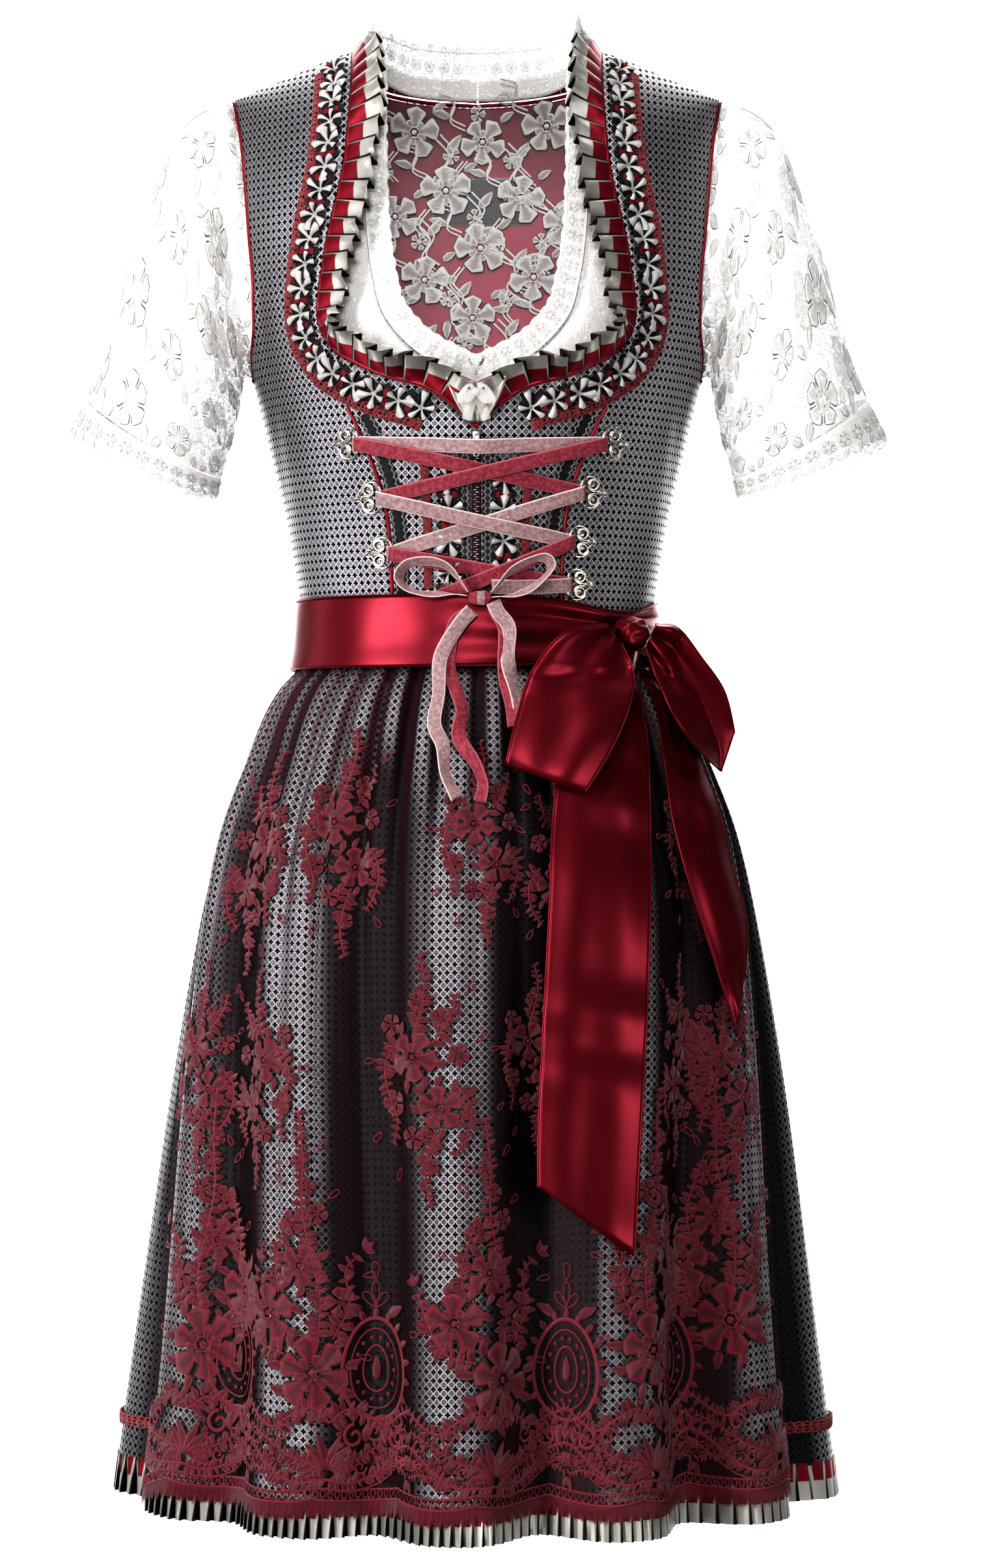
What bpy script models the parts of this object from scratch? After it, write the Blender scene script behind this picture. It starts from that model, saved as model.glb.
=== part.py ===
# A dirndl: laced bodice and pleated skirt, lace blouse and tied apron, filled out as when worn.
# Metres, +Z up, front towards -Y, +X to the right as seen from the front.
# The origin lies midway between the shoulders, where the wearer carries the garment.
import math

import bpy
import numpy as np

MM = 0.001

# Driving dimensions of the cloth and its layers
SEAM_GAP = 0.3 * MM
BODICE_WALL = 1.5 * MM
LINING_OUT = -1.8 * MM
LINING_WALL = 1.0 * MM
LABEL_OUT = -3.2 * MM
LABEL_WALL = 0.6 * MM
BLOUSE_OUT = -4.6 * MM
BLOUSE_WALL = 1.0 * MM
SKIRT_WALL = 1.5 * MM
APRON_WALL = 1.0 * MM
RIBBON_WALL = 1.0 * MM

# Levels
NECK_HALF = 0.089
NECK_Z = 0.0135
SHOULDER_SLOPE = -0.41
SHOULDER_ROUNDING = 0.11
SHOULDER_TIP = 0.173
UNDERARM_Z = -0.226
WAIST_Z = -0.402
BELT_TOP_Z = -0.379
BELT_BOTTOM_Z = -0.428
SKIRT_HEM_Z = -0.984
RIBBON_HEM_Z = -1.008
GIMP_HEM_Z = -0.957
GIMP_HEM_HALF = 6 * MM
BLOUSE_HEM_Z = -0.300
ZIP_HALF = 3.5 * MM

# Cords and trims
NECK_PIPING_RADIUS = 1.5 * MM
ARMHOLE_PIPING_RADIUS = 1.3 * MM
PAST_PIPING = 3.9 * MM
ROSETTES_FROM_NECK = 12.5 * MM
GIMP_FROM_NECK = 23.5 * MM
NECK_SAMPLES = 80

# Counts
WAIST_PLEATS = 40
LARGE_FOLDS = 13
HEM_PLEATS = 84
RUFFLE_PITCH = 13 * MM
RUFFLE_HEIGHT = 21 * MM
RUFFLE_RISE = math.radians(32)
FRINGE_STRANDS = 72
ARMHOLE_SPANS = 12
HIDDEN_BACK_ROWS = 2


class Table:
    """Rows of named columns, read along the first one with a smooth curve that never overshoots."""

    def __init__(self, names, rows):
        data = np.array(sorted(rows), dtype=float)
        self.at = data[:, 0]
        self.columns = {name: data[:, i] for i, name in enumerate(names)}
        self.slopes = {name: self.tangents(values) for name, values in self.columns.items()}

    def tangents(self, values):
        steps = np.diff(self.at)
        rates = np.diff(values) / steps
        slopes = np.zeros(len(values))
        slopes[0], slopes[-1] = rates[0], rates[-1]
        for i in range(1, len(values) - 1):
            if rates[i - 1] * rates[i] > 0:
                slopes[i] = 2 / (1 / rates[i - 1] + 1 / rates[i])
        return slopes

    def read(self, name, at):
        at = min(max(at, self.at[0]), self.at[-1])
        i = min(max(int(np.searchsorted(self.at, at)) - 1, 0), len(self.at) - 2)
        step = self.at[i + 1] - self.at[i]
        t = (at - self.at[i]) / step
        low, high = self.columns[name][i], self.columns[name][i + 1]
        low_slope, high_slope = self.slopes[name][i] * step, self.slopes[name][i + 1] * step
        return ((1 + 2 * t) * (1 - t) ** 2 * low + t * (1 - t) ** 2 * low_slope
                + t * t * (3 - 2 * t) * high + t * t * (t - 1) * high_slope)


# Sections of the filled bodice: half width, and how far the front and the back reach
TORSO = Table(("z", "half_width", "front", "back"), (
    (0.030, 0.1750, 0.100, 0.085),
    (-0.060, 0.1755, 0.107, 0.095),
    (-0.150, 0.1750, 0.121, 0.100),
    (-0.190, 0.1685, 0.127, 0.100),
    (-0.226, 0.1590, 0.128, 0.098),
    (-0.256, 0.1520, 0.125, 0.095),
    (-0.289, 0.1440, 0.118, 0.091),
    (-0.317, 0.1370, 0.110, 0.088),
    (-0.344, 0.1320, 0.103, 0.086),
    (-0.372, 0.1275, 0.097, 0.085),
    (-0.402, 0.1235, 0.093, 0.084),
))

# The armhole's distance from the middle, seen from the front
ARMHOLE = Table(("z", "x"), (
    (-0.2260, 0.1590), (-0.2120, 0.1590), (-0.1900, 0.1560), (-0.1630, 0.1558), (-0.1258, 0.1590),
    (-0.0886, 0.1623), (-0.0514, 0.1665), (-0.0210, 0.1730),
))

# Sections of the skirt at its outermost folds, and how deep pleats and folds cut in
SKIRT = Table(("z", "half_width", "half_depth", "pleat", "fold"), (
    (-0.4020, 0.1225, 0.092, 1.6 * MM, 0.0),
    (-0.4150, 0.1240, 0.094, 2.4 * MM, 0.0),
    (-0.4280, 0.1290, 0.100, 5.0 * MM, 0.5 * MM),
    (-0.4400, 0.1405, 0.110, 6.5 * MM, 1.5 * MM),
    (-0.4610, 0.1535, 0.121, 7.0 * MM, 3.5 * MM),
    (-0.4890, 0.1655, 0.132, 6.5 * MM, 6.0 * MM),
    (-0.5440, 0.1870, 0.148, 5.0 * MM, 10.0 * MM),
    (-0.6000, 0.2000, 0.159, 3.5 * MM, 14.0 * MM),
    (-0.7120, 0.2180, 0.176, 2.0 * MM, 21.0 * MM),
    (-0.8230, 0.2330, 0.192, 1.0 * MM, 28.0 * MM),
    (-0.9350, 0.2480, 0.208, 0.4 * MM, 33.0 * MM),
    (-1.0200, 0.2590, 0.219, 0.0, 35.0 * MM),
))
SKIRT_COLUMNS = 2 * WAIST_PLEATS
SKIRT_ROWS = (-0.4023, -0.430, -0.452, -0.500, -0.590, -0.730, -0.890, SKIRT_HEM_Z)
FOLD_LEAN = math.radians(18)
FOLD_START = math.radians(10.7)
APRON_REACH = 19

# Outer face of the waistband, which stands off the lacing in front
BELT = Table(("z", "half_width", "half_depth"), (
    (-0.4280, 0.1345, 0.1075),
    (-0.4120, 0.1310, 0.1050),
    (-0.3950, 0.1297, 0.1040),
    (-0.3790, 0.1292, 0.1035),
))

# Neckline of the bodice, from the point of the V over the heart-shaped corner to the shoulder
NECK_CORNER = 5
NECK_FRONT = (
    (0.0000, -0.2680), (0.0164, -0.2529), (0.0359, -0.2405), (0.0651, -0.2316),
    (0.0930, -0.2170), (0.1035, -0.2060), (0.1085, -0.1960), (0.1104, -0.1810), (0.1068, -0.1520),
    (0.1023, -0.1267), (0.0927, -0.0830), (0.0883, -0.0262), (NECK_HALF, NECK_Z),
)
NECK_BACK = (
    (NECK_HALF, NECK_Z), (0.0865, 0.0010), (0.0700, -0.0070), (0.0400, -0.0105), (0.0, -0.0115),
)
# Princess seam between the stomacher and the side front, from the waist to the neckline's corner
PRINCESS = (
    (0.0570, -0.4020), (0.0583, -0.3750), (0.0598, -0.3390), (0.0652, -0.3070),
    (0.0797, -0.2687), (0.0915, -0.2440), (0.1035, -0.2060),
)
# Where the lace edging is sewn to the blouse
BLOUSE_NECK_FRONT = (
    (0.0000, -0.2375), (0.0235, -0.2263), (0.0455, -0.2125), (0.0650, -0.1890), (0.0727, -0.1610),
    (0.0770, -0.1310), (0.0790, -0.0905), (0.0800, -0.0238), (0.0795, 0.0174),
)
BLOUSE_NECK_BACK = (
    (0.0795, 0.0174), (0.0740, 0.0060), (0.0550, -0.0030), (0.0300, -0.0055), (0.0, -0.0060),
)

COLOURS = {
    "jacquard": (0.30, 0.29, 0.36, 0.55, 0.0),
    "piping": (0.30, 0.02, 0.05, 0.40, 0.0),
    "two_tone_ribbon": (0.45, 0.20, 0.22, 0.35, 0.0),
    "rosette_ribbon": (0.50, 0.48, 0.44, 0.35, 0.0),
    "gimp": (0.35, 0.02, 0.04, 0.60, 0.0),
    "lining": (0.25, 0.02, 0.07, 0.50, 0.0),
    "label": (0.05, 0.04, 0.05, 0.50, 0.0),
    "metal": (0.60, 0.58, 0.54, 0.30, 1.0),
    "lacing": (0.40, 0.12, 0.16, 0.60, 0.0),
    "lace": (0.85, 0.82, 0.78, 0.70, 0.0),
    "apron": (0.18, 0.02, 0.05, 0.60, 0.0),
    "satin": (0.35, 0.02, 0.06, 0.25, 0.0),
}


def finish(name):
    """Principled material of one slot: colour, roughness and metallic value."""
    material = bpy.data.materials.get(name)
    if material is None:
        red, green, blue, roughness, metallic = COLOURS[name]
        material = bpy.data.materials.new(name)
        material.use_nodes = True
        shader = material.node_tree.nodes["Principled BSDF"]
        shader.inputs["Base Color"].default_value = (red, green, blue, 1)
        shader.inputs["Roughness"].default_value = roughness
        shader.inputs["Metallic"].default_value = metallic
    return material


def solid(name, points, faces, slot):
    """One closed object, its faces turned outwards."""
    points = np.array(points, dtype=float)
    triangles = []
    for face in faces:
        triangles += [(face[0], face[i], face[i + 1]) for i in range(1, len(face) - 1)]
    triangles = np.array(triangles)
    a, b, c = (points[triangles[:, i]] for i in range(3))
    if np.einsum("ij,ij->i", a, np.cross(b, c)).sum() < 0:
        triangles = triangles[:, ::-1]
    mesh = bpy.data.meshes.new(name)
    mesh.from_pydata([tuple(p) for p in points], [], [tuple(int(i) for i in t) for t in triangles])
    mesh.shade_smooth()
    mesh.set_sharp_from_angle(angle=math.radians(40))
    mesh.materials.append(finish(slot))
    thing = bpy.data.objects.new(name, mesh)
    bpy.context.scene.collection.objects.link(thing)
    return thing


def shell(name, outer, inner, slot, closed=False):
    """A wall between two matching grids of rows of points; closed joins each row's ends."""
    rows, across = len(outer), len(outer[0])
    count = rows * across
    points = [p for row in outer for p in row] + [p for row in inner for p in row]
    spans = across if closed else across - 1

    def at(row, column, side):
        return side * count + row * across + column % across

    faces = []
    for r in range(rows - 1):
        for c in range(spans):
            faces.append((at(r, c, 0), at(r, c + 1, 0), at(r + 1, c + 1, 0), at(r + 1, c, 0)))
            faces.append((at(r, c, 1), at(r + 1, c, 1), at(r + 1, c + 1, 1), at(r, c + 1, 1)))
            faces[-1] = faces[-1][2:] + faces[-1][:2]
    for c in range(spans):
        faces.append((at(0, c + 1, 0), at(0, c, 0), at(0, c, 1), at(0, c + 1, 1)))
        faces.append((at(rows - 1, c, 0), at(rows - 1, c + 1, 0),
                      at(rows - 1, c + 1, 1), at(rows - 1, c, 1)))
    if not closed:
        last = across - 1
        for r in range(rows - 1):
            faces.append((at(r, 0, 0), at(r + 1, 0, 0), at(r + 1, 0, 1), at(r, 0, 1)))
            faces.append((at(r + 1, last, 0), at(r, last, 0), at(r, last, 1), at(r + 1, last, 1)))
    return solid(name, points, faces, slot)


def sweep(name, rings, slot, closed=False):
    """A bar through rings of points; its ends are capped unless it closes on itself."""
    sides = len(rings[0])
    points = [p for ring in rings for p in ring]
    faces = []
    for i in range(len(rings) if closed else len(rings) - 1):
        j = (i + 1) % len(rings)
        for k in range(sides):
            m = (k + 1) % sides
            faces.append((i * sides + k, i * sides + m, j * sides + m, j * sides + k))
    if not closed:
        faces.append(tuple(range(sides))[::-1])
        faces.append(tuple((len(rings) - 1) * sides + k for k in range(sides)))
    return solid(name, points, faces, slot)


def unit(v):
    return v / max(np.linalg.norm(v), 1e-12)


def mix(a, b, t):
    return a + (b - a) * t


def ease(t):
    t = min(max(t, 0.0), 1.0)
    return t * t * (3 - 2 * t)


def mirrored(grid):
    return [[p * (-1, 1, 1) for p in row] for row in grid]


def through(points, count):
    """A smooth curve through the points, at count + 1 places evenly spaced along it."""
    p = np.array(points, dtype=float)
    p = np.vstack((2 * p[0] - p[1], p, 2 * p[-1] - p[-2]))
    dense = []
    for i in range(1, len(p) - 2):
        for t in np.linspace(0, 1, 24, endpoint=False):
            dense.append(0.5 * (2 * p[i] + (p[i + 1] - p[i - 1]) * t
                                + (2 * p[i - 1] - 5 * p[i] + 4 * p[i + 1] - p[i + 2]) * t ** 2
                                + (3 * p[i] - p[i - 1] - 3 * p[i + 1] + p[i + 2]) * t ** 3))
    dense.append(p[-2])
    dense = np.array(dense)
    run = np.concatenate(([0], np.cumsum(np.linalg.norm(np.diff(dense, axis=0), axis=1))))
    wanted = np.linspace(0, run[-1], count + 1)
    return np.array([np.interp(wanted, run, dense[:, i]) for i in range(dense.shape[1])]).T


# The filled form of the bodice

def ridge(x):
    """Height of the shoulder line at a distance from the middle."""
    return NECK_Z + (abs(x) - NECK_HALF) * SHOULDER_SLOPE


def turn(x, z):
    """Angle round the torso at which the front view shows this x."""
    return math.asin(max(-1.0, min(1.0, x / TORSO.read("half_width", z))))


def torso_at(angle, z, side):
    """Point of the outer face; side is -1 in front and 1 behind."""
    x = TORSO.read("half_width", z) * math.sin(angle)
    drop = min(max(ridge(x) - z, 0.0) / SHOULDER_ROUNDING, 1.0)
    rounding = math.sqrt(1 - (1 - drop) ** 2)
    reach = TORSO.read("front" if side < 0 else "back", z)
    depth = reach * math.cos(angle) * rounding
    if side < 0:
        bust = 6 * MM * math.exp(-((abs(x) - 0.075) / 0.04) ** 2 - ((z + 0.195) / 0.05) ** 2)
        depth += bust * math.cos(angle)
    return np.array((x, side * max(depth, SEAM_GAP / 2), z))


def torso_normal(angle, z, side):
    x = TORSO.read("half_width", z) * math.sin(angle)
    level = min(z, ridge(x) - 4 * MM)
    step = 0.5 * MM
    wide = torso_at(angle + 0.004, level, side) - torso_at(angle - 0.004, level, side)
    high = torso_at(angle, level + step, side) - torso_at(angle, level - step, side)
    normal = unit(np.cross(wide, high) * -side)
    normal[1] *= min(1.0, max(ridge(x) - z, 0.0) / (4 * MM))
    return unit(normal)


def torso(x, z, side, off=0.0, angle=None):
    angle = turn(x, z) if angle is None else angle
    point = torso_at(angle, z, side)
    return point + torso_normal(angle, z, side) * off if off else point


def grid_on_torso(plan, side, off):
    """Rows of (angle, z) pairs laid on the torso."""
    return [[torso(0, z, side, off, angle) for angle, z in row] for row in plan]


def side_then_armhole(below, above, crowded=1.0):
    """Outer edge of a body panel: side seam up to the underarm, then round the armhole.

    Crowded 1 sets the rows closer together at the underarm, 0 spaces them evenly there."""
    top = ridge(SHOULDER_TIP)
    edge = [(math.pi / 2, mix(WAIST_Z, UNDERARM_Z, i / below)) for i in range(below)]
    for i in range(above + 1):
        even, rounded = i / above, 0.5 - 0.5 * math.cos(math.pi * i / above)
        level = mix(UNDERARM_Z, top, mix(even, rounded, max(crowded, even)))
        edge.append((math.pi / 2 if i == 0 else turn(ARMHOLE.read("x", level), level), level))
    return edge


def fan(outer, top, start=0.0):
    """Plan of a panel from its inner edge to its outer edge, its last row on the top curve."""
    rows = len(outer) - 1
    bottom = outer[0][1]
    plan = []
    for k, (edge_angle, edge_z) in enumerate(outer):
        rise = (edge_z - bottom) / (outer[-1][1] - bottom)
        row = []
        for j, (top_angle, top_z) in enumerate(top):
            low = mix(start, outer[0][0], j / (len(top) - 1))
            share_low = (low - start) / (outer[0][0] - start)
            share_top = (top_angle - start) / (outer[-1][0] - start)
            share = mix(share_low, share_top, ease(k / rows))
            row.append((mix(start, edge_angle, share), mix(bottom, top_z, rise)))
        plan.append(row)
    return plan


def neck_points(count_lower=8, count_upper=13):
    lower = through(NECK_FRONT[:NECK_CORNER + 1], count_lower)
    upper = through(NECK_FRONT[NECK_CORNER:], count_upper)
    return lower, upper


def shoulder_points(x_from, x_to, count):
    return [(mix(x_from, x_to, i / count), ridge(mix(x_from, x_to, i / count)))
            for i in range(count + 1)]


def angles(points):
    return [(turn(x, z), z) for x, z in points]


def make_bodice():
    lower, upper = neck_points()
    seam = through(PRINCESS, 6)
    gap = SEAM_GAP / 2
    inner = [(x + gap, z) for x, z in seam] + [(x, z) for x, z in upper[1:]]
    outer = side_then_armhole(7, len(inner) - 8, crowded=0.0)
    plan = []
    for (x, z), (edge_angle, edge_z) in zip(inner, outer):
        start = turn(x, z)
        start_drop = ridge(x) - z
        edge_x = TORSO.read("half_width", edge_z) * math.sin(edge_angle)
        edge_drop = ridge(edge_x) - edge_z
        row = []
        for j in range(6):
            t = j / 5
            angle = mix(start, edge_angle, t)
            level = mix(z, edge_z, t)
            across = TORSO.read("half_width", level) * math.sin(angle)
            strap_level = ridge(across) - mix(start_drop, edge_drop, t)
            row.append((angle, mix(level, strap_level, ease((len(plan) - 7) / 5))))
        plan.append(row)
    front = [grid_on_torso(plan, -1, off) for off in (0.0, -BODICE_WALL)]
    shell("bodice_front_right", *front, "jacquard")
    shell("bodice_front_left", *map(mirrored, front), "jacquard")

    edge = [(turn(x - gap, z), z) for x, z in seam]
    top = angles([(max(x, ZIP_HALF), z) for x, z in lower])
    top[-1] = edge[-1]
    zip_edge = turn(ZIP_HALF, WAIST_Z)
    centre = [grid_on_torso(fan(edge, top, zip_edge), -1, off) for off in (0.0, -BODICE_WALL)]
    shell("stomacher_right", *centre, "jacquard")
    shell("stomacher_left", *map(mirrored, centre), "jacquard")

    plan = back_plan()
    back = [grid_on_torso(plan, 1, off) for off in (0.0, -BODICE_WALL)]
    shell("bodice_back", *back, "jacquard")
    shell("bodice_lining_back", *lining_grids(), "lining")


def back_plan():
    """Rows of the back from the waist up, out to the side seams and the armholes."""
    neck = [tuple(p) for p in through(NECK_BACK, 5)][::-1]
    top = angles(neck + shoulder_points(NECK_HALF, SHOULDER_TIP, 2)[1:])
    half = fan(side_then_armhole(4, ARMHOLE_SPANS // 2), top)
    return [[(-a, z) for a, z in row[:0:-1]] + row for row in half]


def lining_grids():
    """Outer and inner face of the back lining, built only where the neck shows it."""
    plan = back_plan()[HIDDEN_BACK_ROWS:]
    return [grid_on_torso(plan, 1, off) for off in (LINING_OUT, LINING_OUT - LINING_WALL)]


LABEL_HALF = 34 * MM
LABEL_LEVELS = (-0.096, -0.061)


def make_label():
    """Bare woven label on the lining below the back neck, following the lining's facets."""
    face = lining_grids()[1]
    middle = len(face[0]) // 2
    heights = [row[middle][2] for row in face]
    rows = []
    for z in LABEL_LEVELS:
        k = int(np.searchsorted(heights, z)) - 1
        t = (z - heights[k]) / (heights[k + 1] - heights[k])
        line = np.array([mix(low, high, t) for low, high in zip(face[k], face[k + 1])])
        inside = [x for x in line[:, 0] if abs(x) < LABEL_HALF - 2 * MM]
        rows.append([np.array([np.interp(x, line[:, 0], line[:, i]) for i in range(3)])
                     for x in (-LABEL_HALF, *inside, LABEL_HALF)])
    into = np.array((0, -1, 0))
    gap = LINING_OUT - LINING_WALL - LABEL_OUT
    grids = [[[point + into * depth for point in row] for row in rows]
             for depth in (gap, gap + LABEL_WALL)]
    shell("label", *grids, "label")


# Curves on the bodice, each a list of (point, outward side, normal)

def frames(points, normals, closed=False):
    count = len(points)
    result = []
    for i in range(count):
        if closed:
            ahead, behind = points[(i + 1) % count], points[i - 1]
        else:
            ahead, behind = points[min(i + 1, count - 1)], points[max(i - 1, 0)]
        normal = normals[i]
        side = unit(np.cross(unit(ahead - behind), normal))
        result.append((points[i], side, normal))
    return result


def neck_frames(front, back):
    """Frames from the point of the V over the right shoulder to the centre back."""
    points, normals = [], []
    for x, z in front:
        points.append(torso(x, z, -1))
        normals.append(torso_normal(turn(x, z), z, -1))
    for x, z in back[1:]:
        points.append(torso(x, z, 1))
        normals.append(torso_normal(turn(x, z), z, 1))
    points[len(front) - 1][1] = 0.0
    return frames(points, normals)


def neck_line(count):
    return neck_frames(through(NECK_FRONT, count), through(NECK_BACK, max(count // 2, 4)))


def flipped(point):
    return point * (-1, 1, 1)


def make_neck_piping():
    lower, upper = neck_points()
    back = through(NECK_BACK, 5)
    line = neck_frames([*lower, *upper[1:]], back)
    radius = NECK_PIPING_RADIUS
    inward = SEAM_GAP + radius

    def ring(frame):
        point, side, normal = frame
        centre = point - side * inward - normal * BODICE_WALL / 2
        return [centre + side * radius * math.cos(a) + normal * radius * math.sin(a)
                for a in (0, math.pi / 2, math.pi, 3 * math.pi / 2)]

    right = [ring(frame) for frame in line]
    for ring_at_middle in (right[0], right[-1]):
        for point in ring_at_middle:
            point[0] = 0.0
    left = [[flipped(p) for p in ring_points] for ring_points in right[-2:0:-1]]
    sweep("piping_neck", right + left, "piping", closed=True)


def armhole_frames(count):
    """Frames round the right armhole: top, front, underarm, back; side points into the hole."""
    points, normals = [], []
    top = ridge(SHOULDER_TIP)
    for i in range(count):
        phase = 2 * math.pi * i / count
        z = mix(UNDERARM_Z, top, 0.5 + 0.5 * math.cos(phase))
        side = -1 if phase <= math.pi else 1
        x = ARMHOLE.read("x", z)
        angle = math.pi / 2 if 2 * i == count else turn(x, z)
        point = torso(0, z, side, 0.0, angle)
        if i == 0 or 2 * i == count:
            point[1] = 0.0
        points.append(point)
        normals.append(torso_normal(angle, z, side) if i else unit(np.array((-SHOULDER_SLOPE, 0, 1))))
    return [(p, -s, n) for p, s, n in frames(points, normals, closed=True)]


def make_armhole_piping():
    radius = ARMHOLE_PIPING_RADIUS
    rings = []
    for point, side, normal in armhole_frames(ARMHOLE_SPANS):
        centre = point + side * (3 * SEAM_GAP + radius) - normal * BODICE_WALL / 2
        rings.append([centre + side * radius * math.cos(a) + normal * radius * math.sin(a)
                      for a in (0, math.pi / 2, math.pi, 3 * math.pi / 2)])
    sweep("piping_armhole_right", rings, "piping", closed=True)
    sweep("piping_armhole_left", mirrored(rings), "piping", closed=True)


def strip(name, line, shape, slot):
    """A bar of three sides along a line of frames; shape gives (half width, height) at each."""
    rings = []
    for i, (point, side, normal) in enumerate(line):
        half, height = shape(i)
        base = point + normal * SEAM_GAP
        rings.append([base - side * half, base + side * half, base + normal * height])
    sweep(name + "_right", rings, slot)
    sweep(name + "_left", mirrored(rings), slot)


def line_on_front(points, count):
    """Frames along a line drawn on the right front of the bodice."""
    spots = through(points, count)
    return frames([torso(x, z, -1) for x, z in spots],
                  [torso_normal(turn(x, z), z, -1) for x, z in spots])


def offset_line(distance, first, last, count):
    """Frames beside the neckline, at a distance outside it, between two shares of its run."""
    dense = [point + side * distance for point, side, _ in neck_frames(
        through(NECK_FRONT, NECK_SAMPLES), [NECK_BACK[0]])]
    keep = dense[int(first * NECK_SAMPLES):int(last * NECK_SAMPLES) + 1]
    spots = through([(p[0], min(p[2], ridge(p[0]) - 1.5 * MM)) for p in keep], count)
    return frames([torso(x, z, -1) for x, z in spots],
                  [torso_normal(turn(x, z), z, -1) for x, z in spots])


def make_bodice_trims():
    seam = line_on_front((*PRINCESS[:-2], (0.0885, -0.2510)), 7)
    strip("piping_seam", seam, lambda i: (1.3 * MM, 1.7 * MM), "piping")

    run = offset_line(ROSETTES_FROM_NECK, 0.09, 0.965, 37)
    strip("rosettes_neck", run,
          lambda i: (8.2 * MM, 2.6 * MM) if i % 2 else (4.5 * MM, 1.2 * MM), "rosette_ribbon")
    run = offset_line(GIMP_FROM_NECK, 0.10, 0.955, 28)
    strip("gimp_neck", run, lambda i: (2.4 * MM if i % 2 else 1.8 * MM, 1.4 * MM), "gimp")

    column = line_on_front(((0.0185, -0.290), (0.0185, -0.330), (0.0190, -0.374)), 9)
    strip("rosettes_front", column,
          lambda i: (8.6 * MM, 2.2 * MM) if i % 2 else (4.5 * MM, 1.1 * MM), "rosette_ribbon")
    column = line_on_front(((0.0365, -0.276), (0.0340, -0.320), (0.0330, -0.374)), 10)
    strip("gimp_front", column, lambda i: (3.2 * MM if i % 2 else 2.4 * MM, 1.3 * MM), "gimp")


def make_neck_ruffle():
    """Knife-pleated ribbon that stands up along the inside of the neck piping."""
    line = neck_line(240)
    run = np.concatenate(([0], np.cumsum([np.linalg.norm(b[0] - a[0])
                                          for a, b in zip(line, line[1:])])))
    total = run[-1]
    places = []
    pleat = RUFFLE_PITCH
    start = 5 * MM
    while start + pleat < total - 1 * MM:
        places += [(start, 1.0), (start + 0.72 * pleat, 0.0)]
        start += pleat
    places.append((min(start, total - 1 * MM), 1.0))
    outer, inner = [[], []], [[], []]
    for place, out in places:
        point, side, normal = (np.array([np.interp(place, run, [f[k][i] for f in line])
                                         for i in range(3)]) for k in range(3))
        side, normal = unit(side), unit(normal)
        height = min(RUFFLE_HEIGHT, 0.85 * place)
        along = -side * math.cos(RUFFLE_RISE) + normal * math.sin(RUFFLE_RISE)
        lift = side * math.sin(RUFFLE_RISE) + normal * math.cos(RUFFLE_RISE)
        base = point - side * PAST_PIPING + normal * 1.0 * MM
        for row, (reach, wave) in enumerate(((0.0, 1.6 * MM), (height, 4.5 * MM))):
            spot = base + along * reach + lift * wave * out
            spot[0] = max(spot[0], 0.6 * MM + row * 0.3 * MM)
            outer[row].append(spot + lift * RIBBON_WALL / 2)
            inner[row].append(spot - lift * RIBBON_WALL / 2)
    shell("ruffle_neck_right", outer, inner, "two_tone_ribbon")
    shell("ruffle_neck_left", mirrored(outer), mirrored(inner), "two_tone_ribbon")


# Centre-front zip

ZIP_TOP_Z = -0.2690
ZIP_DEEP = 1.4 * MM
SLIDER_Z = -0.2715
SLIDER_HALF = 3.0 * MM
SLIDER_OUT = 2.4 * MM
PULL_PIVOT_OUT = 3.4 * MM
PULL_THICK = 1.0 * MM


def make_zip():
    half = ZIP_HALF - SEAM_GAP
    levels = [mix(ZIP_TOP_Z, WAIST_Z, i / 8) for i in range(9)]
    rings = []
    for z in levels:
        y = torso(0, z, -1)[1]
        rings.append([np.array((x, y - out, z)) for x, out in
                      ((-half, 0.0), (0, 0.7 * MM), (half, 0.0), (half, -ZIP_DEEP), (-half, -ZIP_DEEP))])
    teeth = sweep("zip", rings, "metal")
    y = torso(0, SLIDER_Z, -1)[1]
    body = box_between("zip_slider", (-SLIDER_HALF, y - SLIDER_OUT, SLIDER_Z - 5 * MM),
                       (SLIDER_HALF, y + 0.8 * MM, SLIDER_Z + 2 * MM), "metal")
    join = teeth.modifiers.new("slider", "BOOLEAN")
    join.operation = "UNION"
    join.object = body
    body.hide_render = True
    body.display_type = "WIRE"


def box_between(name, low, high, slot):
    corners = [np.array((x, y, z)) for z in (low[2], high[2])
               for x, y in ((low[0], low[1]), (high[0], low[1]), (high[0], high[1]), (low[0], high[1]))]
    return sweep(name, [corners[:4], corners[4:]], slot)


def make_zip_pull():
    """Pull tab that hangs from the slider, its origin on the pivot."""
    profile = ((-1.4, 0), (-2.3, -4), (-2.3, -12), (-1.2, -15), (1.2, -15), (2.3, -12), (2.3, -4), (1.4, 0))
    rings = [[np.array((x * MM, y, z * MM)) for x, z in profile] for y in (-PULL_THICK / 2, PULL_THICK / 2)]
    pull = sweep("zip_pull", rings, "metal")
    pull.location = (0, torso(0, SLIDER_Z, -1)[1] - PULL_PIVOT_OUT, SLIDER_Z)


# Hooks and lacing

FOLDS = {
    "right_1": (0.0856, -0.2750), "right_2": (0.0709, -0.3080), "right_3": (0.0638, -0.3415),
    "right_4": (0.0620, -0.3710),
    "left_1": (-0.0807, -0.2750), "left_2": (-0.0651, -0.3120), "left_3": (-0.0580, -0.3495),
}
BAR_OUT = 4.8 * MM
HOOK_THICK = 1.0 * MM


def spot_on_front(x, z, off):
    point = torso(abs(x), z, -1, off)
    return point if x >= 0 else flipped(point)


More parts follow.
